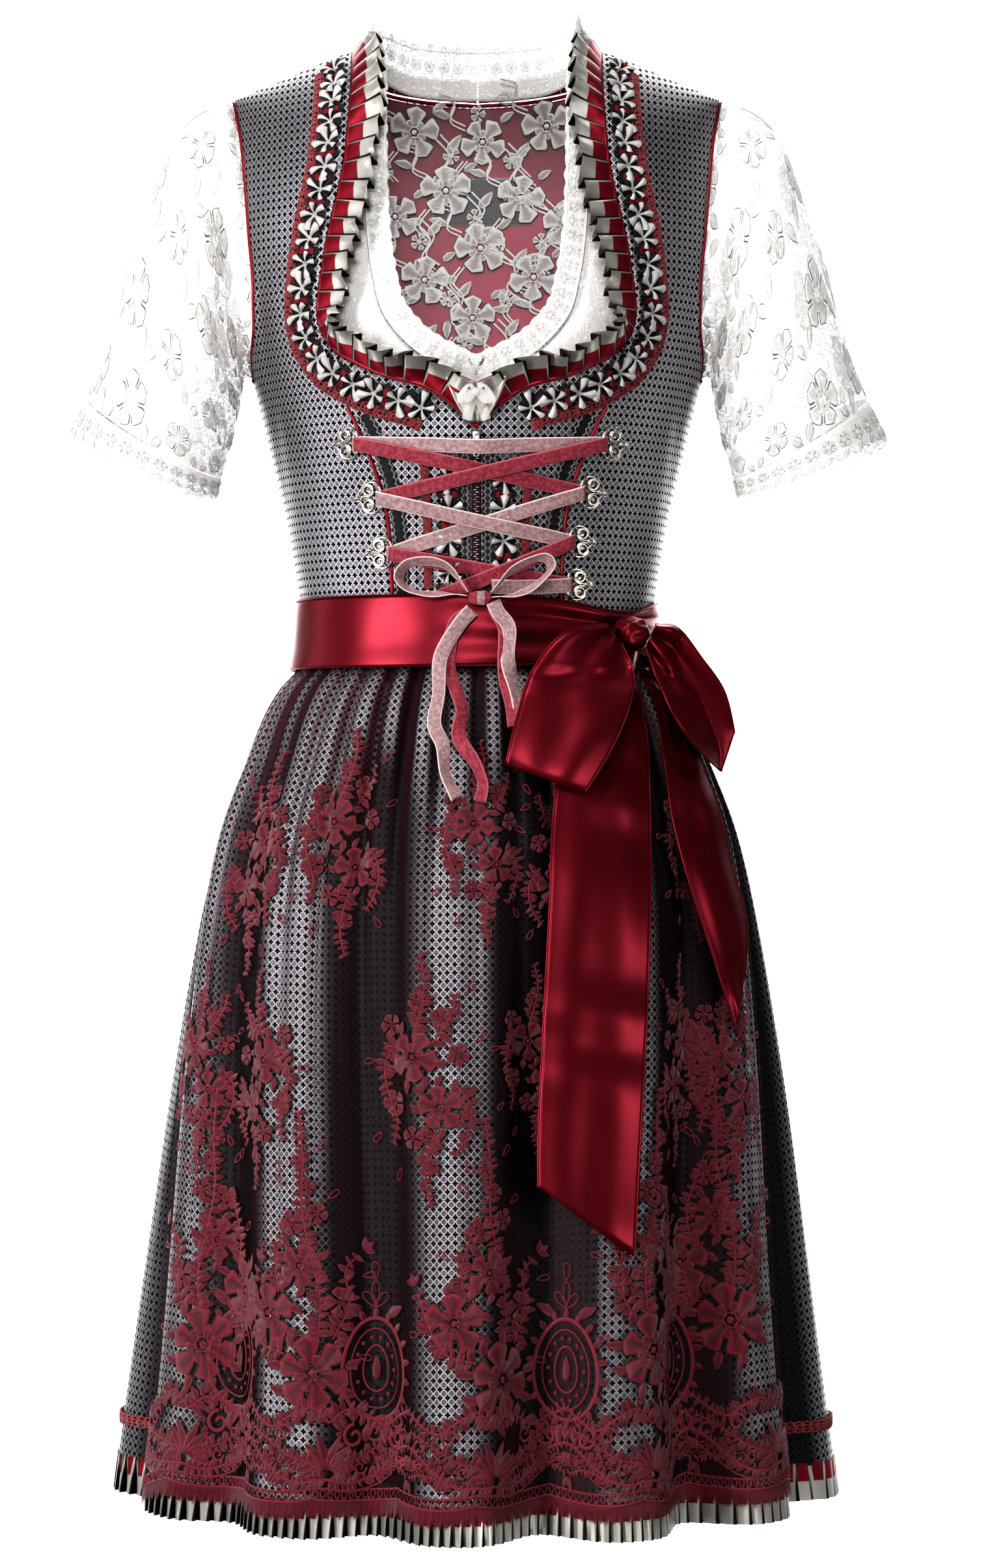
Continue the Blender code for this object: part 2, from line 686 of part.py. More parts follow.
def make_hooks():
    """Filigree hooks: a pierced plate with two scrolls and the bar that the ribbon folds round."""
    outline = ((-1.8, -6.6), (3.5, -9.5), (8.5, -11), (13.5, -8), (19, 0),
               (13.5, 8), (8.5, 11), (3.5, 9.5), (-1.8, 6.6))
    slot_hole = ((-0.2, -5.9), (3.4, -5.9), (3.4, 5.9), (-0.2, 5.9))
    scroll_middle, scroll_side, scroll_radius = 8.6, 5.6, 2.6
    scrolls = [[(scroll_middle + scroll_radius * math.cos(a), y + scroll_radius * math.sin(a))
                for a in [math.tau * k / 4 for k in range(4)]] for y in (-scroll_side, scroll_side)]
    for name, (x, z) in FOLDS.items():
        hand = 1 if x > 0 else -1

        def place(u, v, out):
            rise = BAR_OUT - HOOK_THICK / 2 if u < 4 else SEAM_GAP + 0.2 * MM
            return spot_on_front(x + hand * u * MM, z + v * MM, rise + out)

        pierced("hook_" + name, outline, [slot_hole, *scrolls], place, HOOK_THICK)


def pierced(name, outline, holes, place, thick):
    """A plate of one thickness with holes, its outline filled by a curve and then put in place."""
    curve = bpy.data.curves.new(name, "CURVE")
    curve.dimensions = "2D"
    curve.fill_mode = "BOTH"
    curve.extrude = 0.5
    for loop in (outline, *holes):
        spline = curve.splines.new("POLY")
        spline.points.add(len(loop) - 1)
        for point, (u, v) in zip(spline.points, loop):
            point.co = (u, v, 0, 1)
        spline.use_cyclic_u = True
    helper = bpy.data.objects.new(name + "_outline", curve)
    bpy.context.scene.collection.objects.link(helper)
    mesh = bpy.data.meshes.new_from_object(helper.evaluated_get(
        bpy.context.evaluated_depsgraph_get()))
    bpy.data.objects.remove(helper)
    places = {}
    points, remap = [], []
    for vertex in mesh.vertices:
        key = tuple(round(c, 4) for c in vertex.co)
        if key not in places:
            places[key] = len(points)
            points.append(place(key[0], key[1], thick * (0.5 + key[2])))
        remap.append(places[key])
    faces = [tuple(remap[i] for i in polygon.vertices) for polygon in mesh.polygons]
    bpy.data.meshes.remove(mesh)
    return solid(name, points, faces, "metal")


LACING_WIDTH = 10 * MM
LACING_KNOT = (0.0020, -0.3800, 12.6 * MM)
TOP_SHARES = (0.0, 0.2, 0.36, 0.44, 0.5, 0.56, 0.64, 0.8, 1.0)


def upright_ribbon(name, stations, slot):
    """A flat bar through (centre, width direction) stations, its face following the path."""
    rings = []
    for i, (centre, across) in enumerate(stations):
        ahead = stations[min(i + 1, len(stations) - 1)][0] - stations[max(i - 1, 0)][0]
        lift = unit(np.cross(ahead, across)) * RIBBON_WALL / 2
        half = across * LACING_WIDTH / 2
        rings.append([centre - half - lift, centre + half - lift,
                      centre + half + lift, centre - half + lift])
    return sweep(name, rings, slot)


def upwards(x, z):
    """Direction up the cloth of the front."""
    return unit(spot_on_front(x, z + MM, 0.0) - spot_on_front(x, z - MM, 0.0))


def make_lacing():
    """One double ribbon: from the knot up through the hooks and down again behind the band."""
    route = ("knot", "right_4", "left_3", "right_2", "left_1", "right_1", "left_2", "right_3", "end")
    spots = dict(FOLDS, knot=(0.010, -0.3725), end=(-0.040, -0.3860))
    # Distance off the cloth, in mm, where each stretch starts, crosses the middle and ends
    lifts = ((9.2, 7.8, 6.2), (3.4, 4.3, 6.2), (3.4, 4.3, 6.2), (3.4, 5.2, 6.2),
             (3.4, 9.2, 3.4), (6.2, 7.3, 3.4), (6.2, 7.3, 3.4), (6.2, 6.2, 2.6))
    top_stretch = 4
    stations = []
    for i, (first, last) in enumerate(zip(route, route[1:])):
        (x0, z0), (x1, z1) = spots[first], spots[last]
        start, middle, end = lifts[i]
        shares = TOP_SHARES if i == top_stretch else [k / 5 for k in range(6)]
        for k, t in enumerate(shares):
            if i == top_stretch:
                lift = mix(start, middle, ease((0.14 - abs(t - 0.5)) / 0.09))
                sag = 3 * MM * math.sin(math.pi * t)
            else:
                lift = mix(start if t < 0.5 else end, middle, min(1.0, min(t, 1 - t) / 0.36))
                sag = 0.0
            x, z = mix(x0, x1, t), mix(z0, z1, t) - sag
            out = unit(spot_on_front(x, z, MM) - spot_on_front(x, z, 0.0))
            across = unit(np.cross(out, (x1 - x0, 0, z1 - z0)))
            across = across if across[2] > 0 else -across
            if (k == 0 and first in FOLDS) or (k == len(shares) - 1 and last in FOLDS):
                across = upwards(x, z)
            stations.append((spot_on_front(x, z, lift * MM), across))
        if last in FOLDS:
            hand = 1 if x1 > 0 else -1
            level = mix(end, lifts[i + 1][0], 0.5) * MM
            out = unit(spot_on_front(x1, z1, MM) - spot_on_front(x1, z1, 0.0))
            up = upwards(x1, z1)
            away = unit(np.cross(up, out)) * hand
            away = away if away[0] * hand > 0 else -away
            stations.append((spot_on_front(x1, z1, level) + away * 2.3 * MM, up))
    upright_ribbon("lacing", stations, "lacing")


def loop_of_lacing(name, route, lift):
    """A bow loop: a ribbon round the route, tilted so that its face shows from the front."""
    spots = through(route, 12)
    middle = spots.mean(axis=0)
    near, far = [], []
    for i, (x, z) in enumerate(spots):
        share = math.sin(math.pi * i / (len(spots) - 1))
        base = spot_on_front(x, z, lift)
        outward = np.array((x - middle[0], 0, z - middle[1]))
        across = unit(np.array((0, -0.75, 0)) + unit(outward) * 0.65 * share) * LACING_WIDTH
        near.append(base)
        far.append(base + across * mix(0.5, 1.0, share))
    outer, inner = [], []
    for row, points in enumerate((near, far)):
        outer.append([])
        inner.append([])
        for i, point in enumerate(points):
            ahead = points[min(i + 1, len(points) - 1)] - points[max(i - 1, 0)]
            lift_to = unit(np.cross(ahead, far[i] - near[i])) * RIBBON_WALL / 2
            outer[-1].append(point + lift_to)
            inner[-1].append(point - lift_to)
    shell(name, outer, inner, "lacing")


def make_lacing_bow():
    loop_of_lacing("lacing_loop_left", (
        (-0.0053, -0.3765), (-0.0200, -0.3600), (-0.0400, -0.3575), (-0.0475, -0.3660),
        (-0.0400, -0.3740), (-0.0200, -0.3765), (-0.0058, -0.3790)), 9.4 * MM)
    loop_of_lacing("lacing_loop_right", (
        (0.0093, -0.3765), (0.0220, -0.3640), (0.0400, -0.3540), (0.0455, -0.3600),
        (0.0360, -0.3700), (0.0240, -0.3770), (0.0098, -0.3800)), 10.4 * MM)
    centre = spot_on_front(*LACING_KNOT)
    deep, high = 4.0 * MM, 5.0 * MM
    rings = []
    for x, size in ((-8, 0.45), (-5.5, 0.85), (0, 1.0), (5.5, 0.85), (8, 0.45)):
        rings.append([centre + np.array((x * MM, -deep * size * math.cos(a),
                                         high * size * math.sin(a)))
                      for a in [math.tau * k / 8 for k in range(8)]])
    sweep("lacing_knot", rings, "lacing")
    # Each end hangs over the band and the apron: its lift in mm, then height and middle of each row
    ends = {
        "pale_left": (3.4, ((-0.3900, -0.003), (-0.4002, -0.012), (-0.4221, -0.0244), (-0.4476, -0.0257),
                            (-0.4682, -0.0286), (-0.4829, -0.0228), (-0.5019, -0.0210),
                            (-0.5187, -0.0130))),
        "red_left": (1.0, ((-0.3915, -0.004), (-0.4002, -0.0150), (-0.4265, -0.0195), (-0.4445, -0.0141),
                           (-0.4593, -0.0096), (-0.4771, -0.0118), (-0.4948, -0.0007),
                           (-0.5094, 0.0046), (-0.5209, 0.0025))),
        "pale_right": (4.0, ((-0.3844, 0.0114), (-0.3920, 0.0150), (-0.4029, 0.0224), (-0.4238, 0.0215),
                             (-0.4414, 0.0250), (-0.4606, 0.0308))),
        "red_right": (1.4, ((-0.3844, 0.0114), (-0.3920, 0.0140), (-0.4029, 0.0195), (-0.4238, 0.0190),
                            (-0.4414, 0.0205), (-0.4695, 0.0262))),
    }
    for name, (lift, route) in ends.items():
        stations = []
        for i, (z, x) in enumerate(route):
            ahead, behind = route[min(i + 1, len(route) - 1)], route[max(i - 1, 0)]
            run = unit(np.array((ahead[1] - behind[1], 0, ahead[0] - behind[0])))
            across = np.array((-run[2], 0, run[0]))
            stations.append((over_all(x, z, lift * MM), across))
        upright_ribbon("lacing_end_" + name, stations, "lacing")


# Blouse

def blouse_rim(side, off):
    """Armhole edge of the blouse's body from the underarm to the shoulder, under the bodice."""
    line = armhole_frames(ARMHOLE_SPANS)
    half = ARMHOLE_SPANS // 2
    picked = [line[(half + side * i) % ARMHOLE_SPANS] for i in range(half + 1)]
    rim = [point + across * -BLOUSE_TUCK + normal * off for point, across, normal in picked]
    for end in (0, -1):
        rim[end][1] = side * SEAM_GAP / 2
    return rim


def make_blouse_back():
    """Back of the blouse, on the same rows as the lining that it lies against."""
    grids = []
    for off in (BLOUSE_OUT, BLOUSE_OUT - BLOUSE_WALL):
        grid = grid_on_torso(back_plan()[HIDDEN_BACK_ROWS:], 1, off)
        rim = blouse_rim(1, off - 1.0 * MM)
        for row, point in zip(grid[-len(rim):], rim):
            row[-1] = point
            row[0] = flipped(point)
        grids.append(grid)
    shell("blouse_back", *grids, "lace")


def make_blouse_front():
    """Front of the blouse, ruled from its neck edge out to hem, side seam and armhole."""
    neck = through(BLOUSE_NECK_FRONT, 9)
    hem_spans = len(neck) - 1 - ARMHOLE_SPANS // 2
    grids = []
    for off in (BLOUSE_OUT, BLOUSE_OUT - BLOUSE_WALL):
        rim = blouse_rim(-1, off)
        half = []
        for i, (x, z) in enumerate(neck):
            if i < hem_spans:
                edge_angle, edge_z = math.pi / 2 * i / (hem_spans - 1), BLOUSE_HEM_Z
            else:
                edge_z = rim[i - hem_spans][2]
                edge_angle = turn(ARMHOLE.read("x", edge_z) - BLOUSE_TUCK, edge_z)
            if i == hem_spans:
                edge_angle = math.pi / 2
            bend = {hem_spans: 0.4, hem_spans + 1: 0.6}.get(i, 1.0)
            ray = []
            for j in range(BLOUSE_SPANS + 1):
                angle = mix(turn(x, z), edge_angle, j / BLOUSE_SPANS)
                level = mix(z, edge_z, (j / BLOUSE_SPANS) ** bend)
                top = ridge(TORSO.read("half_width", level) * math.sin(angle))
                level = top if i == len(neck) - 1 else min(level, top)
                ray.append(torso(0, level, -1, off, angle))
            if i >= hem_spans:
                ray[-1] = rim[i - hem_spans]
            half.append(ray)
        half[0] = [point * (0, 1, 1) for point in half[0]]
        grids.append(mirrored(half[:0:-1]) + half)
    shell("blouse_front", *grids, "lace")


BLOUSE_TUCK = 2.2 * MM
BLOUSE_SPANS = 3
SLEEVE = Table(("share", "outer_x", "outer_z", "inner_x", "inner_z", "depth"), (
    (0.00, 0.1840, -0.0250, 0.1660, -0.2190, 0.043),
    (0.14, 0.2110, -0.0420, 0.1690, -0.2310, 0.056),
    (0.30, 0.2279, -0.0789, 0.1710, -0.2430, 0.061),
    (0.55, 0.2470, -0.1351, 0.1755, -0.2620, 0.061),
    (0.78, 0.2605, -0.1830, 0.1795, -0.2760, 0.059),
    (1.00, 0.2777, -0.2333, 0.1830, -0.2890, 0.055),
    (1.35, 0.2935, -0.2649, 0.1865, -0.3053, 0.055),
))
SLEEVE_SHARES = (0.0, 0.14, 0.30, 0.55, 0.78, 1.0)
SLEEVE_DIP = 10 * MM
SLEEVE_OUT = 4.6 * MM
SLEEVE_TOP_HALF = 7.2 * MM
CUFF_SHARES = (1.01, 1.18, 1.35)
CUFF_OUT = 0.6 * MM


def sleeve_ring(share, shrink=0.0):
    """Ring of the right sleeve: outer edge, front, inner edge, back."""
    outer = np.array((SLEEVE.read("outer_x", share), 0, SLEEVE.read("outer_z", share)))
    inner = np.array((SLEEVE.read("inner_x", share), 0, SLEEVE.read("inner_z", share)))
    centre, reach = (outer + inner) / 2, (outer - inner) / 2
    size = np.linalg.norm(reach) - shrink
    depth = SLEEVE.read("depth", share) - shrink
    dip = SLEEVE_DIP * ease(share)
    ring = []
    for i in range(ARMHOLE_SPANS):
        phase = math.tau * i / ARMHOLE_SPANS
        ring.append(centre + unit(reach) * size * math.cos(phase)
                    + np.array((0, -depth * math.sin(phase), -dip * math.sin(phase))))
    return ring


def make_sleeves():
    line = armhole_frames(ARMHOLE_SPANS)

    def start(inset, deeper):
        ring = []
        for point, side, normal in line:
            ring.append(point + side * inset + normal * (BLOUSE_OUT - deeper))
        for i in (1, -1):
            ring[i][1] = math.copysign(max(abs(ring[i][1]), SLEEVE_TOP_HALF), ring[i][1])
        return ring

    tucked = SEAM_GAP - BLOUSE_TUCK
    outer = [start(tucked, 0), start(SLEEVE_OUT, 0)]
    inner = [start(tucked, BLOUSE_WALL), start(SLEEVE_OUT + BLOUSE_WALL, BLOUSE_WALL)]
    for share in SLEEVE_SHARES:
        outer.append(sleeve_ring(share))
        inner.append(sleeve_ring(share, BLOUSE_WALL))
    shell("sleeve_right", outer, inner, "lace", closed=True)
    shell("sleeve_left", mirrored(outer), mirrored(inner), "lace", closed=True)
    cuff = [sleeve_ring(share, -CUFF_OUT) for share in CUFF_SHARES]
    inside = [sleeve_ring(share, BLOUSE_WALL) for share in CUFF_SHARES]
    shell("cuff_right", cuff, inside, "lace", closed=True)
    shell("cuff_left", mirrored(cuff), mirrored(inside), "lace", closed=True)


LACE_FRONT = 18 * MM
LACE_WALL = 1.0 * MM
COLLAR_HEIGHT = 40 * MM
COLLAR_LEAN = -0.12


def make_neck_lace():
    """Lace edging: flat along the front opening, and a standing band behind the neck."""
    front = through(BLOUSE_NECK_FRONT, 12)
    back = through(BLOUSE_NECK_BACK, 5)
    points, normals = [], []
    for x, z in front:
        points.append(torso(x, z, -1, BLOUSE_OUT + 1.3 * MM))
        normals.append(torso_normal(turn(x, z), z, -1))
    for x, z in back[1:]:
        points.append(torso(x, z, 1, BLOUSE_OUT - 1.6 * MM))
        normals.append(torso_normal(turn(x, z), z, 1))
    outer, inner = [[], []], [[], []]
    for i, (point, side, normal) in enumerate(frames(points, normals)):
        behind = ease((i - len(front) + 2) / (len(back) * 0.6))
        reach = mix(-side * LACE_FRONT, np.array((0, COLLAR_LEAN, 1.0)) * COLLAR_HEIGHT, behind)
        start = point - side * 0.8 * MM
        if i in (0, len(points) - 1):
            start[0] = reach[0] = 0.0
        face = unit(np.cross(reach, np.cross(normal, reach)))
        if i in (0, len(points) - 1):
            face = unit(face * (0, 1, 1))
        for row, share in enumerate((0.0, 1.0)):
            spot = start + reach * share
            outer[row].append(spot)
            inner[row].append(spot - face * LACE_WALL)
    grids = []
    for grid in (outer, inner):
        grids.append([row + [flipped(p) for p in row[-2:0:-1]] for row in grid])
    shell("blouse_neck_lace", *grids, "lace", closed=True)


# Skirt and apron

def skirt_base(heading, z, off):
    """Point off the smooth envelope of the skirt, at a heading from the centre front."""
    x, y = SKIRT.read("half_width", z) * math.sin(heading), -SKIRT.read("half_depth", z) * math.cos(heading)
    normal = unit(np.array((math.sin(heading) * SKIRT.read("half_depth", z),
                            -math.cos(heading) * SKIRT.read("half_width", z), 0)))
    return np.array((x, y, z)) + normal * off


def skirt(column, z, off):
    """Point of the skirt at a column of its cloth: small pleats at the waist, large folds below."""
    cut = math.tau * column / SKIRT_COLUMNS
    drop = ease((SKIRT_ROWS[0] - z) / (SKIRT_ROWS[0] - SKIRT_HEM_Z))
    heading = cut - FOLD_LEAN * drop * math.sin(cut)
    at_hem = cut - FOLD_LEAN * math.sin(cut)
    turn_of_fold = LARGE_FOLDS * (at_hem - FOLD_START)
    strength = 0.85 + 0.25 * math.sin(2 * at_hem + 0.6)
    valley = (0.5 + 0.5 * math.cos(turn_of_fold)) ** 1.7 * strength
    pleat = column % 2
    depth = (SKIRT.read("fold", z) * valley + SKIRT.read("pleat", z) * (1 - pleat))
    return skirt_base(heading, z, off - depth)


def skirt_rows(columns, levels, off):
    return [[skirt(c, z, off) for c in columns] for z in levels]


def make_skirt():
    quarter = SKIRT_COLUMNS // 4
    front, back = range(-quarter, quarter + 1), range(quarter, 3 * quarter + 1)
    for name, columns in (("skirt_front", front), ("skirt_back", back)):
        grids = [skirt_rows(columns, SKIRT_ROWS, off) for off in (0.0, -SKIRT_WALL)]
        for grid in grids:
            for row in grid:
                for end in (0, -1):
                    row[end][1] += SEAM_GAP / 2 * (-1 if name == "skirt_front" else 1)
        shell(name, *grids, "jacquard")
    rings = []
    for c in range(SKIRT_COLUMNS):
        rings.append([on_last_row(c, GIMP_HEM_Z + GIMP_HEM_HALF, 0.8 * MM),
                      on_last_row(c, GIMP_HEM_Z - GIMP_HEM_HALF, 0.8 * MM),
                      on_last_row(c, GIMP_HEM_Z, 2.0 * MM)])
    sweep("gimp_hem", rings, "gimp", closed=True)
    half = HEM_PLEATS // 2
    for name, start in (("hem_pleats_front", -quarter), ("hem_pleats_back", quarter)):
        outer, inner = [[], []], [[], []]
        for i in range(2 * half + 1):
            column = start + (i + (0.15 if i % 2 else 0)) * SKIRT_COLUMNS / (4 * half)
            for row, (z, tuck) in enumerate(((SKIRT_HEM_Z - SEAM_GAP, 1.5 * MM),
                                             (RIBBON_HEM_Z, 5.0 * MM))):
                depth = tuck if i % 2 else 0.0
                outer[row].append(between_columns(column, z, -depth))
                inner[row].append(between_columns(column, z, -depth - RIBBON_WALL))
        for grid in (outer, inner):
            for row in grid:
                for end in (0, -1):
                    row[end][1] += SEAM_GAP / 2 * (-1 if start < 0 else 1)
        shell(name, outer, inner, "two_tone_ribbon")


def on_last_row(column, z, off):
    """Point off the straight facets between the skirt's last two rows."""
    upper, lower = SKIRT_ROWS[-2:]
    return mix(skirt(column, upper, off), skirt(column, lower, off), (upper - z) / (upper - lower))


def between_columns(column, z, off):
    low = math.floor(column)
    return mix(skirt(low, z, off), skirt(low + 1, z, off), column - low)


APRON_LIFT = Table(("z", "lift"), (
    (-0.4285, 1.0 * MM), (-0.600, 1.4 * MM), (-0.900, 2.9 * MM), (-1.020, 3.0 * MM)))
APRON_ROWS = (-0.4285, -0.452, -0.500, -0.590, -0.730, -0.890)
SCALLOP = (0.0, 2.6 * MM, 3.6 * MM, 2.6 * MM)
FRINGE_DROP = 9 * MM
FRINGE_STRIP = 2 * MM


def apron_edge(column):
    """Height of the scalloped lower edge; both corners hang lower, the left one most."""
    side = abs(column) / APRON_REACH
    corner = (15 * MM if column < 0 else 5 * MM) * max(0.0, (side - 0.86) / 0.14) ** 1.5
    return SKIRT_HEM_Z + 3 * MM - SCALLOP[column % len(SCALLOP)] - corner


def make_apron():
    columns = range(-APRON_REACH, APRON_REACH + 1)
    grids = []
    for off in (APRON_WALL, 0.0):
        rows = [[skirt(c, z, APRON_LIFT.read("lift", z) + off) for c in columns] for z in APRON_ROWS]
        rows.append([skirt(c, apron_edge(c), APRON_LIFT.read("lift", apron_edge(c)) + off)
                     for c in columns])
        grids.append(rows)
    shell("apron_panel", *grids, "apron")
    make_fringe(columns)


def make_fringe(columns):
    """Strands hanging from a narrow strip just under the apron's scalloped edge."""
    places = []
    spans = len(columns) - 1
    count = 2 * FRINGE_STRANDS + 1
    for i in range(count):
        places.append(columns[0] + spans * i / (count - 1))

    def on_edge(place, drop, off):
        low = min(math.floor(place), columns[-1] - 1)
        z = mix(apron_edge(low), apron_edge(low + 1), place - low) - drop
        lift = APRON_LIFT.read("lift", z) + off
        return mix(skirt(low, z, lift), skirt(low + 1, z, lift), place - low)

    rows = []
    for off in (APRON_WALL, 0.0):
        for drop in (SEAM_GAP, SEAM_GAP + FRINGE_STRIP):
            rows.append([on_edge(place, drop, off) for place in places])
    points = [p for row in rows for p in row]
    top_out, low_out, top_in, low_in = (i * count for i in range(4))
    faces = []
    for i in range(count - 1):
        j = i + 1
        faces.append((top_out + i, low_out + i, low_out + j, top_out + j))
        faces.append((top_in + j, low_in + j, low_in + i, top_in + i))
        faces.append((top_in + i, top_out + i, top_out + j, top_in + j))
        if i % 2:
            faces.append((low_out + i, low_in + i, low_in + j, low_out + j))
        else:
            tip = len(points)
            points.append(on_edge((places[i] + places[j]) / 2, SEAM_GAP + FRINGE_DROP, APRON_WALL / 2))
            loop = (low_out + i, low_in + i, low_in + j, low_out + j)
            faces += [(loop[k], loop[(k + 1) % 4], tip) for k in range(4)]
    last = count - 1
    faces.append((top_out, top_in, low_in, low_out))
    faces.append((top_out + last, low_out + last, low_in + last, top_in + last))
    solid("apron_fringe", points, faces, "apron")


def belt_at(heading, z, off):
    x = BELT.read("half_width", z) * math.sin(heading)
    rise = (z - BELT_BOTTOM_Z) / (BELT_TOP_Z - BELT_BOTTOM_Z)
    depth = BELT.read("half_depth", z) * (1.0 if math.cos(heading) > 0 else mix(1.0, 0.90, rise))
    return np.array((x, -depth * math.cos(heading), z)) + off * unit(
        np.array((math.sin(heading), -math.cos(heading), 0)))


BELT_WALL = 1.2 * MM
BELT_COLUMNS = 40
BELT_FOLD = 1.6 * MM
KNOT_HEADING = math.radians(52)
KNOT_Z = -0.4035
BESIDE_HIP_Y = -0.058


def make_band():
    """Waistband of the apron, its folds gathered into the knot at the right front."""
    levels = (BELT_BOTTOM_Z, -0.412, -0.395, BELT_TOP_Z)
    outer, inner = [], []
    for row, z in enumerate(levels):
        outer.append([])
        inner.append([])
        for i in range(BELT_COLUMNS):
            heading = math.tau * i / BELT_COLUMNS
            near = math.exp(-((heading - KNOT_HEADING) / 0.40) ** 2)
            fold = BELT_FOLD * near * (1 if row % 2 else -0.2)
            pinch = mix(z, KNOT_Z, 0.35 * near * (heading > KNOT_HEADING - 0.9))
            outer[-1].append(belt_at(heading, pinch, fold))
            inner[-1].append(belt_at(heading, pinch, fold - BELT_WALL))
    shell("apron_band", outer, inner, "satin", closed=True)


def over_all(x, z, lift):
    """Point in front of band, apron and skirt, at a lift over their outermost folds."""
    if z > BELT_BOTTOM_Z:
        half, depth = BELT.read("half_width", z), BELT.read("half_depth", z)
        lift = lift + 2.0 * MM
    else:
        half, depth = SKIRT.read("half_width", z), SKIRT.read("half_depth", z)
        lift = lift + APRON_LIFT.read("lift", z) + APRON_WALL + 0.8 * MM
        blend = ease((BELT_BOTTOM_Z - z) / 0.02)
        half = mix(BELT.read("half_width", BELT_BOTTOM_Z), half, blend)
        depth = mix(BELT.read("half_depth", BELT_BOTTOM_Z), depth, blend)
    half, depth = half + lift, depth + lift
    share = min(abs(x) / half, 0.985)
    return np.array((x, -depth * math.sqrt(1 - share ** 2), z))


# Bow of the apron, by rows across each piece of ribbon: its two edges and its lift
TAIL_FRONT = (
    # left x, left z, right x, right z, lift
    (0.1000, -0.4168, 0.1120, -0.4168, 8.0), (0.0880, -0.4310, 0.1110, -0.4310, 2.5),
    (0.0740, -0.4600, 0.1150, -0.4600, 0.6),
    (0.0580, -0.4900, 0.1180, -0.4880, 1.4), (0.0515, -0.5355, 0.1185, -0.5355, 1.4),
    (0.0494, -0.5874, 0.1180, -0.5874, 1.4), (0.0450, -0.6650, 0.1150, -0.6650, 1.4),
    (0.0413, -0.7420, 0.1100, -0.7450, 1.4), (0.0412, -0.7751, 0.1052, -0.8230, 1.4),
)
TAIL_BACK = (
    (0.1130, -0.4290, 0.1260, -0.4270, 3.0), (0.1235, -0.4520, 0.1410, -0.4480, 3.0),
    (0.1284, -0.4874, 0.1516, -0.4817, 3.0), (0.1349, -0.5357, 0.1676, -0.5252, 3.0),
    (0.1493, -0.5893, 0.1781, -0.5686, 3.0), (0.1654, -0.6375, 0.1873, -0.6065, 3.0),
    (0.1777, -0.6756, 0.1850, -0.6439, 3.0),
)
LOOP_LEFT = (
    (0.0890, -0.3990, 0.1000, -0.4125, 13.0), (0.0600, -0.4060, 0.1080, -0.4340, 22.0),
    (0.0380, -0.4320, 0.1030, -0.4600, 24.0), (0.0280, -0.4620, 0.0905, -0.4870, 22.0),
    (0.0207, -0.4920, 0.0752, -0.5116, 17.0), (0.0207, -0.4920, 0.0752, -0.5116, 10.0),
    (0.0300, -0.4600, 0.0890, -0.4850, 8.5), (0.0480, -0.4260, 0.0990, -0.4580, 8.5),
    (0.0880, -0.4030, 0.0974, -0.4112, 9.5),
)
LOOP_RIGHT = (
    (0.1238, -0.3980, 0.1168, -0.4160, 14.0), (0.1400, -0.4010, 0.1250, -0.4400, 20.0),
    (0.1560, -0.4210, 0.1370, -0.4660, 20.0), (0.1720, -0.4440, 0.1520, -0.4850, 16.0),
    (0.1790, -0.4700, 0.1690, -0.4980, 10.0), (0.1780, -0.4700, 0.1680, -0.4980, 2.0),
    (0.1680, -0.4430, 0.1500, -0.4800, 2.0), (0.1480, -0.4180, 0.1340, -0.4550, 3.0),
    (0.1290, -0.4060, 0.1240, -0.4180, 5.0),
)
BOW_ACROSS = 4
BOW_WALL = 1.2 * MM
KNOT_SUNK = 3.3 * MM
KNOT_DEEP = 11.3 * MM
KNOT_HIGH = 12 * MM


def bow_piece(name, table, sag, beside=False):
    """A stretch of wide ribbon through the table's rows, hollowed a little along its length.

    Beside lets it stand off forwards where it hangs past the side of the hip."""
    middle = []
    for left_x, left_z, right_x, right_z, lift in table:
        row = []
        for k in range(BOW_ACROSS + 1):
            t = k / BOW_ACROSS
            x, z = mix(left_x, right_x, t), mix(left_z, right_z, t)
            bulge = sag * (0.5 - 0.5 * math.cos(math.tau * 2 * t)) * MM
            point = over_all(x, z, lift * MM + bulge)
            if beside:
                point[1] = min(point[1], BESIDE_HIP_Y) - 0.55 * lift * MM
                point[1] = min(point[1], over_all(x, z, 5 * MM)[1])
            row.append(point)
        middle.append(row)
    outer, inner = [], []
    for r, row in enumerate(middle):
        outer.append([])
        inner.append([])
        for k, point in enumerate(row):
            along = middle[min(r + 1, len(middle) - 1)][k] - middle[max(r - 1, 0)][k]
            across = row[min(k + 1, BOW_ACROSS)] - row[max(k - 1, 0)]
            face = unit(np.cross(along, across)) * BOW_WALL / 2
            outer[-1].append(point + face)
            inner[-1].append(point - face)
    shell(name, outer, inner, "satin")


def make_bow():
    bow_piece("bow_tail_front", TAIL_FRONT, 1.5)
    bow_piece("bow_tail_back", TAIL_BACK, 0.8)
    bow_piece("bow_loop_left", LOOP_LEFT, 1.5)
    bow_piece("bow_loop_right", LOOP_RIGHT, 0.8, beside=True)
    out = unit(np.array((0.62, -0.78, 0.0)))
    centre = np.array((0.1090, -0.0800, -0.4050)) - out * KNOT_SUNK
    wide = np.array((-out[1], out[0], 0.0))
    rings = []
    for step, size in ((-12, 0.5), (-8, 0.85), (0, 1.0), (8, 0.85), (12, 0.5)):
        rings.append([centre + wide * step * MM + out * KNOT_DEEP * size * math.cos(a)
                      + np.array((0, 0, KNOT_HIGH * size * math.sin(a)))
                      for a in [math.tau * k / 10 for k in range(10)]])
    sweep("bow_knot", rings, "satin")


